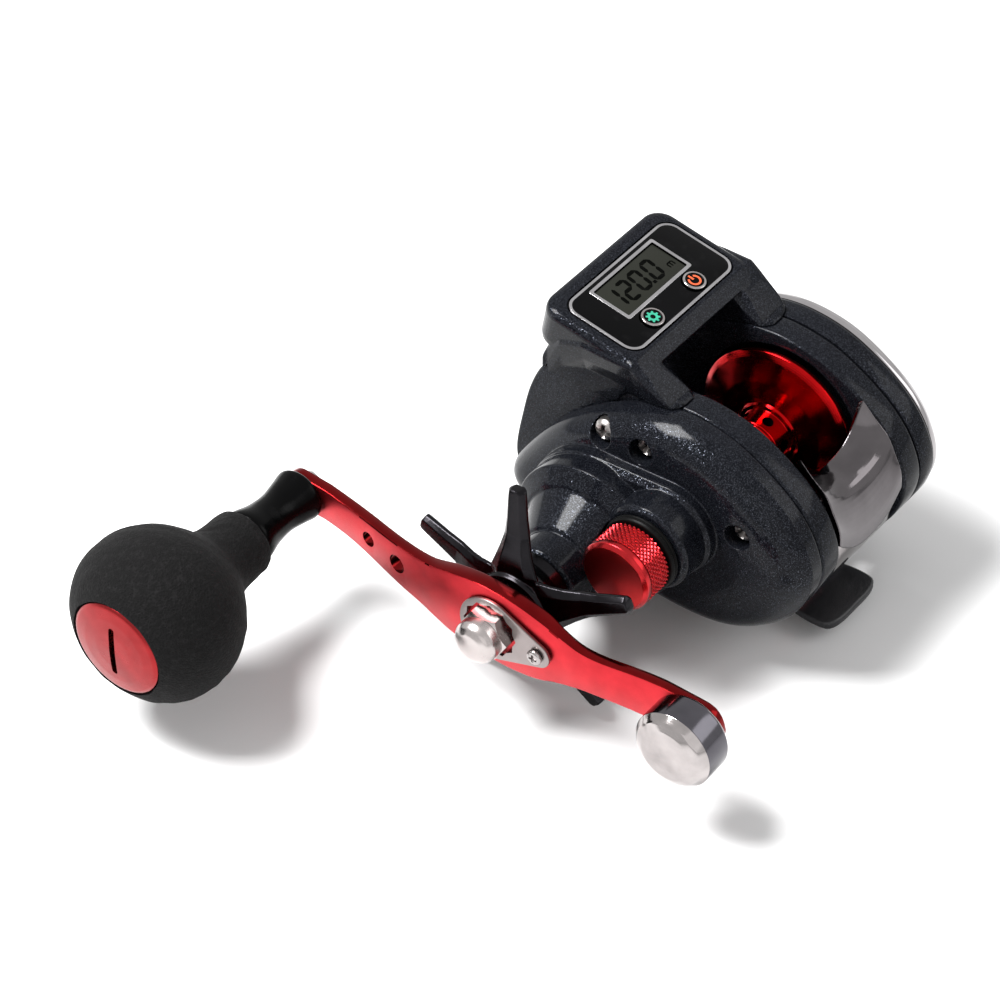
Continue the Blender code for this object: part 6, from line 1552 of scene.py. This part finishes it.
@dataclass
class ThumbControl:
    """Thumb bar, a saddle with two horns, over the chrome rear cover."""

    half: float = 11.4
    thick: float = 2.0
    horn: float = 15.5
    saddle: float = 7.4
    shield: float = -7.0
    leg_foot: float = -3.0
    shell: float = 1.28

    def build(self) -> None:
        """Build the bar and the cover."""
        self.bar()
        self.cover()

    def section(self, x: float) -> Outline:
        """Section of the bar at a place across the reel.

        Args:
            x: place across the reel.

        Returns:
            The section's outline.
        """
        share = (abs(x) / self.half) ** 2.3
        crest = self.saddle + (self.horn - self.saddle) * share
        edge = 6.0 + 3.3 * share
        low = self.shield + 5.0 * share
        line = flowing([(-19.0, crest), (-21.79, crest * 0.45 + edge * 0.55 + 0.5), (-25.4, edge + 0.1),
                        (-27.9 + 0.5 * share, edge - 3.6), (-29.5 + 0.3 * share, low + 3.9),
                        (-30.0 + 0.3 * share, low)], 4)
        return ribbon(line, self.thick * 0.8)

    def bar(self) -> None:
        """Saddle with a leg and a peg at each end, cast in one."""
        count = 40
        places = [self.half * (2 * i / count - 1) for i in range(count + 1)]
        bar = Solid.loft([self.section(x).side(x) for x in places])
        for side, end in ((Side.GEAR, 18.3), (Side.PALM, 13.0)):
            leg = sorted((side.value * 9.9, side.value * self.half))
            peg = sorted((side.value * 10.9, side.value * end))
            bar.join(Solid.block((leg[0], -24.7, self.leg_foot), (leg[1], -21.7, self.saddle)),
                     Solid.block((peg[0], -24.7, self.leg_foot), (peg[1], -21.7, 2.0)))
        bar.recast(0.18, 3, 0.4)
        bar.piece("thumb_saddle", "thumb_lever", Slot.CHROME, THUMB_CHROME, ["thumb_bar"], sharp=60)

    def cover(self) -> None:
        """Curved cover between the side plates, notched for the legs."""
        knee = Vector((self.shell - 28.2, -2.16))
        top = knee - Vector(PRESS_WAY) * 5.1
        line = flowing([tuple(top), tuple(knee), (-28.05, -7.8), (-26.1, -14.56), (-22.05, -19.24),
                        (-18.0, -21.58)], 6)
        cover = Solid.slab(ribbon(line, self.shell), -11.7, 11.7, 0.3)
        notch = self.leg_foot + PRESS * PRESS_WAY[1] - 0.6
        for side in Side:
            xs = sorted((side.value * 9.6, side.value * 13.0))
            cover.cut(Solid.block((xs[0], -31.0, notch), (xs[1], 0.0, self.horn)))
        cover.piece("rear_shell", "reel_body", Slot.CHROME, DARK_CHROME, ["rear_cover"])


@dataclass
class StarDrag:
    """Star wheel with five prongs that curve towards the reel."""

    skirt: float = 51.2
    start: float = 54.1
    hub_length: float = 6.0
    hub: float = 9.6
    washer: float = 5.6
    bore: float = 3.3
    prongs: int = 5
    thick: float = 2.4
    root: float = 4.6

    def build(self) -> None:
        """Cast the hub and the prongs in one, then bore them."""
        end = self.start + self.hub_length
        profile = eased([(self.skirt, 0), (self.skirt, self.hub - 1.1), (self.start, self.hub - 0.9),
                         (end - 3.6, self.hub), (end - 2.9, self.hub), (end - 2.2, self.hub - 1.0),
                         (end - 1.6, self.hub - 1.2), (end - 1.3, self.hub - 1.6),
                         (end - 0.9, self.hub - 1.2), (end, self.hub - 1.6), (end, 0)], 0.2)
        star = Solid.turned(DRIVE, Side.GEAR, profile, 128)
        for k in range(self.prongs):
            star.join(self.prong(math.radians(12 + 360 / self.prongs * k)))
        star.recast(0.18, 1, 0.35)
        below, room = self.skirt - 1, self.washer + 0.6
        hollow = [(below, 0), (below, room), (self.start - 0.1, room), (self.start, self.bore),
                  (end + 1, self.bore), (end + 1, 0)]
        star.cut(Solid.turned(DRIVE, Side.GEAR, hollow, 64))
        star.piece("star_wheel_casting", "star_wheel", Slot.METAL, STAR_BLACK, ["star_drag"], sharp=50)

    def prong(self, angle: float) -> Solid:
        """Prong that leaves the hub aslant and bends flat, broad at its root and cut off at its tip.

        Args:
            angle: its direction round the axis.

        Returns:
            The solid.
        """
        ahead = Vector((0, math.cos(angle), math.sin(angle)))
        across = Vector((0, -math.sin(angle), math.cos(angle)))
        stations = ((4.5, 58.1, 1.25), (8.5, 57.8, 1.20), (10.5, 57.4, 1.02), (13.0, 56.7, 0.82),
                    (15.4, 55.9, 0.68), (16.4, 55.6, 0.64), (20.0, 55.1, 0.54), (25.0, 54.4, 0.46),
                    (26.3, 54.2, 0.42), (26.7, 54.15, 0.26))
        section = [(-0.46, -0.74), (-0.20, -1.0), (0.10, -0.98), (0.50, -0.60), (0.50, 0.60), (0.10, 0.98),
                   (-0.20, 1.0), (-0.46, 0.74)]
        rings = []
        for reach, out, width in stations:
            place = Vector((0, *DRIVE)) + reach * ahead
            half = self.root * width
            rings.append([place + Vector((-(out + lift * self.thick), 0, 0)) + half * side * across
                          for lift, side in section])
        return Solid.loft(rings)


@dataclass
class HandleUnit:
    """Cranked arm with its nut, retainer, screw and counterweight."""

    out: float = 62.3
    boss: float = 3.5
    thin: float = 2.6
    span: float = 99.8
    width: float = 9.3
    edge: float = 0.45
    tail: float = -11.4

    def build(self) -> None:
        """Build the arm and what is fixed to it."""
        self.arm()
        self.nut()
        self.weight()

    def middle(self, place: float) -> float:
        """How far out the arm's middle lies at a place along it.

        Args:
            place: distance from the drive axis, positive towards the knob.

        Returns:
            How far out it lies.
        """
        flat, seat, sweep = (16.0, 47.2, 5.4) if place > 0 else (19.0, 37.6, 2.7)
        share = min(max((abs(place) - flat) / (seat - flat), 0), 1)
        share -= 0.055 * math.sin(math.tau * share)
        return self.out + self.boss / 2 - sweep * share

    def thickness(self, place: float) -> float:
        """Thickness of the arm at a place along it."""
        share = min(max((abs(place) - self.width) / self.width, 0), 1)
        return self.boss + (self.thin - self.boss) * share * share * (3 - 2 * share)

    def spot(self, place: float) -> Pair:
        """Place on the arm's line."""
        point = Vector((0, *DRIVE)) + place * ARM_ALONG
        return point.y, point.z

    def arm(self) -> None:
        """Arm with a satin face and bright polished bevelled edges; the edges' darker red is painted shade.
        """
        shares = ((-0.518, 0.46), (-0.505, 0.51), (-0.485, 0.55), (-0.460, 0.57), (-0.360, 0.54),
                  (-0.235, 0.51), (-0.175, 0.62), (-0.110, 0.86), (-0.050, 0.98), (0.000, 1.00),
                  (0.049, 0.98), (0.108, 0.86), (0.177, 0.66), (0.255, 0.56), (0.393, 0.45),
                  (0.474, 0.44), (0.534, 0.46), (0.560, 0.45), (0.579, 0.44))
        rings = []
        stations = flowing([(s * self.span, w * self.width) for s, w in shares], 6)
        low, high = stations[0][0], stations[-1][0]
        for place, half in stations:
            near = min(place - low, high - place)
            half *= math.sqrt(max(1 - (1 - min(near / 3.6, 1)) ** 2, 0.012))
            thick, out, edge = self.thickness(place) / 2, self.middle(place), min(self.edge, half * 0.4)
            section = [(-thick, -half + edge), (-thick + edge * 0.3, -half + edge * 0.3),
                       (-thick + edge, -half), (thick - edge, -half),
                       (thick - edge * 0.3, -half + edge * 0.3), (thick, -half + edge)]
            section += [(lift, -reach) for lift, reach in section[::-1]]
            spot = Vector((0, *self.spot(place)))
            rings.append([spot + Vector((-(out + lift), 0, 0)) + reach * ARM_ACROSS
                          for lift, reach in section])
        arm = Solid.loft(rings)
        for place, radius in ((0.0, 3.3), (25.4, 2.1), (34.2, 1.7), (self.tail, 1.2), (53.3, 2.3),
                              (-46.5, 2.1)):
            arm.cut(Solid.rod(self.spot(place), Side.GEAR, 50, 70, radius, 48))
        # edge faces take a polished finish in a darker red: painted shade
        arm.piece("crank_arm", "handle", Slot.RED, RED_SATIN, ["handle_arm"], (SHADED_RED_EDGE, self.on_shaded_edge), 28)

    def on_shaded_edge(self, middle: Vector, normal: Vector) -> bool:
        """Whether a face is part of the arm's bright polished edge, which is painted a darker red as shade.
        """
        return abs(normal.x) < 0.90

    def nut(self) -> None:
        """Chamfered nut with its cap, the toothed retainer and the small screw."""
        seat, radius = 66.1, 5.7
        hexagon = Solid.slab(Outline.circle(DRIVE, radius, 6), -seat, -seat - 3.4)
        cone = Solid.turned(DRIVE, Side.GEAR, [(seat - 1, 0), (seat - 1, 4.9), (seat + 0.7, 5.9),
                                               (seat + 2.7, 5.9), (seat + 3.9, 4.4), (seat + 3.9, 0)], 96)
        nut = hexagon.common(cone)
        end, dome = seat + 3.4, 4.85
        nut.join(Solid.turned(DRIVE, Side.GEAR, eased([(end - 0.6, 0), (end - 0.6, dome), (end + 1.9, dome),
                                                       (end + 2.3, dome * 0.97), (end + 3.3, dome * 0.86),
                                                       (end + 4.1, dome * 0.58), (end + 4.4, dome * 0.2),
                                                       (end + 4.4, 0)], 0.5), 96))
        nut.cut(Solid.rod(DRIVE, Side.GEAR, seat - 1, 70.9, 2.7))
        nut.piece("nut_turning", "handle", Slot.POLISHED, NUT_STEEL, ["handle_nut"], sharp=30)
        tail = self.spot(self.tail)
        plate = Solid.slab(Outline.belt(DRIVE, 7.4, tail, 3.0), -seat, -seat - 0.8, 0.18)
        teeth = []
        for k in range(12):
            for share, reach in ((0.0, radius + 0.1), (0.5, radius + 0.7)):
                angle = (k + share + 0.5) * math.tau / 12
                teeth.append((DRIVE[0] + reach * math.cos(angle), DRIVE[1] + reach * math.sin(angle)))
        plate.cut(Solid.slab(Outline(teeth), -seat + 1, -seat - 2), Solid.rod(tail, Side.GEAR, 65, 68, 1.2))
        plate.piece("retainer_plate", "handle", Slot.STEEL, PLATE_STEEL, ["nut_retainer"])
        screw(tail, 67.2, 1.7, 1.0, 0.9, 62.6).piece(
            "retainer_cross_screw", "handle", Slot.POLISHED, POLISHED, ["retainer_screw"])

    def weight(self) -> None:
        """Counterweight with a domed face, a turned step and its rivet behind the arm; its turned side takes
        a darker chrome, a painted dark reflection.
        """
        start, length, radius = 62.95, 10.4, 8.6
        end, head = start + length, 59.75
        profile = eased([(head - 1.2, 0), (head - 1.2, 2.1), (head, 3.0), (head, 1.8), (start, 1.8),
                         (start, radius * 0.84), (start + 1.3, radius), (end - 2.9, radius),
                         (end - 2.7, radius - 0.15), (end - 1.3, radius * 0.86), (end - 0.4, radius * 0.66),
                         (end, radius * 0.36), (end, 0)], 0.4)
        # the turned side takes a darker chrome copy as painted dark reflection
        Solid.turned(WEIGHT, Side.GEAR, profile, 128).piece(
            "counterweight_turning", "handle", Slot.POLISHED, POLISHED, ["counterweight"],
            (SHADED_SIDE_CHROME, self.on_shaded_flank), 30)

    def on_shaded_flank(self, middle: Vector, normal: Vector) -> bool:
        """Whether a face is part of the counterweight's turned side, which takes the darker chrome of painted
        dark reflection.
        """
        return abs(normal.x) < 0.45


@dataclass
class KnobUnit:
    """Foam grip on its sleeve, closed by a slotted cap."""

    start: float = 60.25
    sleeve: float = 5.8
    sleeve_length: float = 17.0
    grip_start: float = 77.55
    grip_length: float = 39.3
    grip: float = 18.3
    core: float = 4.6
    cap: float = 10.7

    def build(self) -> None:
        """Build the sleeve, the grip and the cap."""
        side = Side.GEAR
        outer = [(self.start + s * self.sleeve_length, self.sleeve * w) for s, w in
                 flowing([(0.0, 0.95), (0.05, 1.0), (0.22, 0.90), (0.45, 0.80), (0.70, 0.86), (0.90, 1.01),
                          (0.97, 1.04), (1.0, 1.02)], 5)]
        inner = self.grip_start + 32.0
        bore = [(inner, 2.3), (inner - 4, 2.3), (inner - 4, 2.8), (self.start + 4, 2.8),
                (self.start + 4, 2.3), (self.start, 2.3)]
        Solid.turned(KNOB, side, outer + [(77.25, self.core), (inner, self.core)] + bore, 96).piece(
            "knob_neck", "knob", Slot.GLOSS, SLEEVE_BLACK, ["knob_sleeve"])
        self.foam()
        self.end_cap(inner)

    def foam(self) -> None:
        """Grip ground from foam, with a soft edge at both ends."""
        shares = flowing([(0.000, 0.345), (0.012, 0.385), (0.060, 0.405), (0.140, 0.412), (0.220, 0.430),
                          (0.290, 0.500), (0.370, 0.680), (0.470, 0.860), (0.590, 0.975), (0.700, 1.000),
                          (0.810, 0.962), (0.910, 0.840), (0.965, 0.715), (0.992, 0.635), (1.000, 0.605)], 6)
        profile = [(self.grip_start + s * self.grip_length, self.grip * min(w, 1.0)) for s, w in shares]
        end = self.grip_start + self.grip_length
        profile += [(end, 11.0), (end - 2.3, 11.0), (end - 2.3, 4.9), (self.grip_start, 4.9)]
        grip = Solid.turned(KNOB, Side.GEAR, profile, 144, self.ground)
        piece = grip.piece("foam_grip", "knob", Slot.FOAM, Foam(), ["knob_grip"])

    def ground(self, x: float, angle: float) -> float:
        """Slight waves that grinding leaves on the foam.

        Args:
            x: place along the grip.
            angle: angle round it.

        Returns:
            What is added to the radius.
        """
        waves = (math.sin(angle * (7 + 4 * i) + x * (0.9 + 0.5 * i) + shift)
                 for i, shift in enumerate((0.0, 1.7, 4.1)))
        return 0.035 * sum(waves) - 0.08

    def end_cap(self, inner: float) -> None:
        """Domed red cap with a straight driver slot.

        Args:
            inner: where the sleeve ends inside the grip.
        """
        end = self.grip_start + self.grip_length
        profile = eased([(inner + 0.3, 0), (inner + 0.3, self.core), (end - 2.0, self.core),
                         (end - 2.0, self.cap), (end - 0.2, self.cap), (end + 0.30, self.cap * 0.93),
                         (end + 0.72, self.cap * 0.70), (end + 1.02, self.cap * 0.40), (end + 1.2, 0)], 0.35)
        cap = Solid.turned(KNOB, Side.GEAR, profile, 112)
        slot = Outline.box(0.62, -6.0, 6.0, 0.6, 6)
        y, z = KNOB
        cap.cut(Solid.loft([[Vector((x, y + a * w, z + b)) for a, b in slot.pairs]
                            for x, w in ((-(end - 0.9), 0.9), (-(end + 0.6), 1.0), (-(end + 2.2), 1.45))]))
        cap.piece("grip_cap", "knob", Slot.RED, RED_CAP, ["knob_cap"], sharp=30)


@dataclass
class TensionKnob:
    """Knurled red knob that sets the spool's tension, over a rubber ring."""

    start: float = 39.6
    length: float = 8.0
    radius: float = 8.0
    pitch: int = 44
    depth: float = 0.42

    @property
    def land(self) -> float:
        """Where the knurl ends and the smooth rim starts."""
        return self.start + self.length - 1.9

    def build(self) -> None:
        """Build the knob and the ring behind it."""
        end, land = self.start + self.length, self.land
        first, last, count = self.start + 0.45, land - 0.35, 44
        rows = [(first + (last - first) * k / count, self.radius) for k in range(count + 1)]
        front = eased([rows[-1], (land - 0.3, self.radius - 0.5), (land, self.radius - 0.5),
                       (land, self.radius - 0.05), (end - 0.7, self.radius - 0.05), (end, self.radius - 0.9),
                       (end, 0)], 0.15, 3)[1:]
        profile = [(self.start, self.radius - 0.55)] + rows + front
        knob = Solid.turned(SPOOL, Side.GEAR, [(self.start, 0)] + profile, 352, self.knurl)
        knob.cut(Solid.rod(SPOOL, Side.GEAR, self.start - 1, 44.6, 6.7, 72),
                 Solid.rod(SPOOL, Side.GEAR, 44.0, 46.6, 0.6, 24))
        knob.join(Solid.rod(SPOOL, Side.GEAR, 38.25, 45.0, 2.8, 48))
        knob.piece("knurled_knob", "tension_dial", Slot.RED, RED_KNOB, ["tension_knob"],
                   (RED_FACE, self.on_face), 40)
        ring = eased([(37.3, 8.2), (37.9, 8.6), (38.3, 8.05), (38.7, 8.6), (39.3, 8.2), (39.3, 6.7),
                      (37.3, 6.7)], 0.2, 3, True)
        Solid.turned(SPOOL, Side.GEAR, ring, 96).piece(
            "rubber_ring", "reel_body", Slot.RUBBER, RUBBER_BLACK, ["tension_ring"])

    def on_face(self, middle: Vector, normal: Vector) -> bool:
        """Whether a face is part of the knob's flat end."""
        return middle.x < -(self.land + 0.4) and abs(normal.x) > 0.9

    def knurl(self, x: float, angle: float) -> float:
        """Diamond relief of two crossing threads, at an (out, angle).

        Args:
            x: place along the knob.
            angle: angle round it.

        Returns:
            What is added to the radius.
        """
        if not self.start + 0.2 < x < self.land - 0.32:
            return 0.0
        twist = x * self.pitch / self.radius * 0.5
        first = abs(math.sin((angle * self.pitch + twist * 2) / 2))
        second = abs(math.sin((angle * self.pitch - twist * 2) / 2))
        return -self.depth * (1 - min(first, second))


class Internals:
    """CAD nodes that keep their shape and take a finish."""

    finishes: dict[str, Finish] = {
        "handle_spacer": SATIN_BLACK, "battery_cap": SATIN_BLACK, "counter_base": SATIN_BLACK,
        "guide_rail": POLISHED, "clutch_sleeve": POLISHED, "coin_cell": POLISHED,
        "pinion_gear": BRASS, "drive_gear": BRASS, "worm_gear": WHITE, "worm_driver_gear": WHITE,
        "carbon_brake_disc": CarbonWeave(), "drag_carbon_disc": CarbonWeave(), "magnet_ring": NICKEL,
        "circuit_board": CircuitLacquer()}

    def build(self) -> None:
        """Give every node that still shows its finish; steel where none is named."""
        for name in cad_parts:
            node = bpy.data.objects[name]
            if node.hide_render:
                continue
            finish = self.finishes.get(name, STEEL)
            node.data.materials.clear()
            node.data.materials.append(finish.material())
            log.info("%s keeps its form", name)


@dataclass
class LevelWind:
    """Line guide with its polished insert, cut from the CAD forms with softened edges."""

    guide_edge: float = 0.25
    insert_edge: float = 0.12

    def build(self) -> None:
        """Soften the guide and the ring in it."""
        guide = Solid.copied("line_guide").softened(self.guide_edge, 3)
        guide.piece("guide_block", "line_guide_unit", Slot.GLOSS, SLEEVE_BLACK, ["line_guide"])
        insert = Solid.copied("guide_insert").softened(self.insert_edge, 3)
        insert.piece("guide_ring", "line_guide_unit", Slot.POLISHED, POLISHED, ["guide_insert"])


@dataclass
class Studio:
    """Pale floor, soft lights and the camera at the photograph's angle."""

    floor_height: float = -0.00306
    floor_half: float = 6.0
    place: Triple = (-0.48231, -0.29895, 0.52577)
    lens: float = 132.936
    right: Triple = (0.6008, -0.7994, 0.0)
    up: Triple = (0.5358, 0.4027, 0.7421)
    back: Triple = (-0.5932, -0.4459, 0.6703)
    target: Triple = (-0.03, 0.02, 0.03)
    lamp_distance: float = 0.85
    lamps: tuple[tuple[str, Triple, float, float], ...] = (
        ("key", (-0.30, 0.45, 0.85), 0.36, 16.0), ("fill", (-0.80, -0.60, 0.40), 0.60, 0.6),
        ("rim", (0.55, -0.75, 0.60), 0.45, 1.6))

    def build(self) -> None:
        """Build the floor, the world, the lights and the camera."""
        self.floor()
        self.world()
        for name, way, size, power in self.lamps:
            self.lamp(name, Vector(way), size, power)
        self.camera()

    def floor(self) -> None:
        """Pale floor that keeps the shadow."""
        mesh = bpy.data.meshes.new("floor")
        mesh.from_pydata([(x * self.floor_half, y * self.floor_half, self.floor_height)
                          for x, y in ((-1, -1), (1, -1), (1, 1), (-1, 1))], [], [(0, 1, 2, 3)])
        floor = bpy.data.objects.new("floor", mesh)
        bpy.context.scene.collection.objects.link(floor)
        board = Board(bpy.data.materials.new("floor"))
        colour = board.blend(board.noise(60.0, 2.0), (0.93, 0.93, 0.93), (0.95, 0.95, 0.95))
        mesh.materials.append(board.shaded(Base_Color=colour, Roughness=0.9, Specular_IOR_Level=0.1))

    def world(self) -> None:
        """White world for the camera and reflections, softer for the light it gives."""
        world = bpy.data.worlds.new("studio")
        bpy.context.scene.world = world
        board = Board(world)
        camera, glossy, through = (board.node("ShaderNodeLightPath", output=f"Is {kind} Ray")
                                   for kind in ("Camera", "Glossy", "Transmission"))
        seen = camera.sum("MAXIMUM", camera.sum("MAXIMUM", camera, glossy), through)
        shade = board.node("ShaderNodeBackground", None,
                           {"Color": (1.0, 1.0, 1.0), "Strength": seen * 0.55 + 0.45})
        board.node("ShaderNodeOutputWorld", None, {"Surface": shade})

    def lamp(self, name: str, way: Vector, size: float, power: float) -> None:
        """Square soft lamp that looks at the reel from a way.

        Args:
            name: its name.
            way: direction from the reel to the lamp.
            size: its side in metres.
            power: its power in watts.
        """
        data = bpy.data.lights.new(name, "AREA")
        data.shape, data.size, data.energy = "SQUARE", size, power
        lamp = bpy.data.objects.new(name, data)
        lamp.location = way.normalized() * self.lamp_distance + Vector(self.target)
        lamp.rotation_euler = way.to_track_quat("Z", "Y").to_euler()
        bpy.context.scene.collection.objects.link(lamp)

    def camera(self) -> None:
        """Camera at the photograph's place."""
        data = bpy.data.cameras.new("camera")
        data.lens, data.sensor_width, data.clip_start, data.clip_end = self.lens, 36.0, 0.01, 20.0
        camera = bpy.data.objects.new("camera", data)
        turn = Matrix((self.right, self.up, self.back)).transposed()
        camera.matrix_world = Matrix.Translation(self.place) @ turn.to_4x4()
        bpy.context.scene.collection.objects.link(camera)
        bpy.context.scene.camera = camera
        bpy.context.scene.view_settings.view_transform = "Standard"


def main() -> None:
    """Build the reel's looks in order."""
    logging.basicConfig(level=logging.INFO, format="%(name)s: %(message)s")
    for unit in (Studio(), FrameBody(), GearSide(), PalmSide(), Counter(), SpoolUnit(), ThumbControl(),
                 StarDrag(), HandleUnit(), KnobUnit(), TensionKnob(), LevelWind(), Internals()):
        unit.build()
        log.info("%s done", type(unit).__name__)


if __name__ == "__main__":
    main()
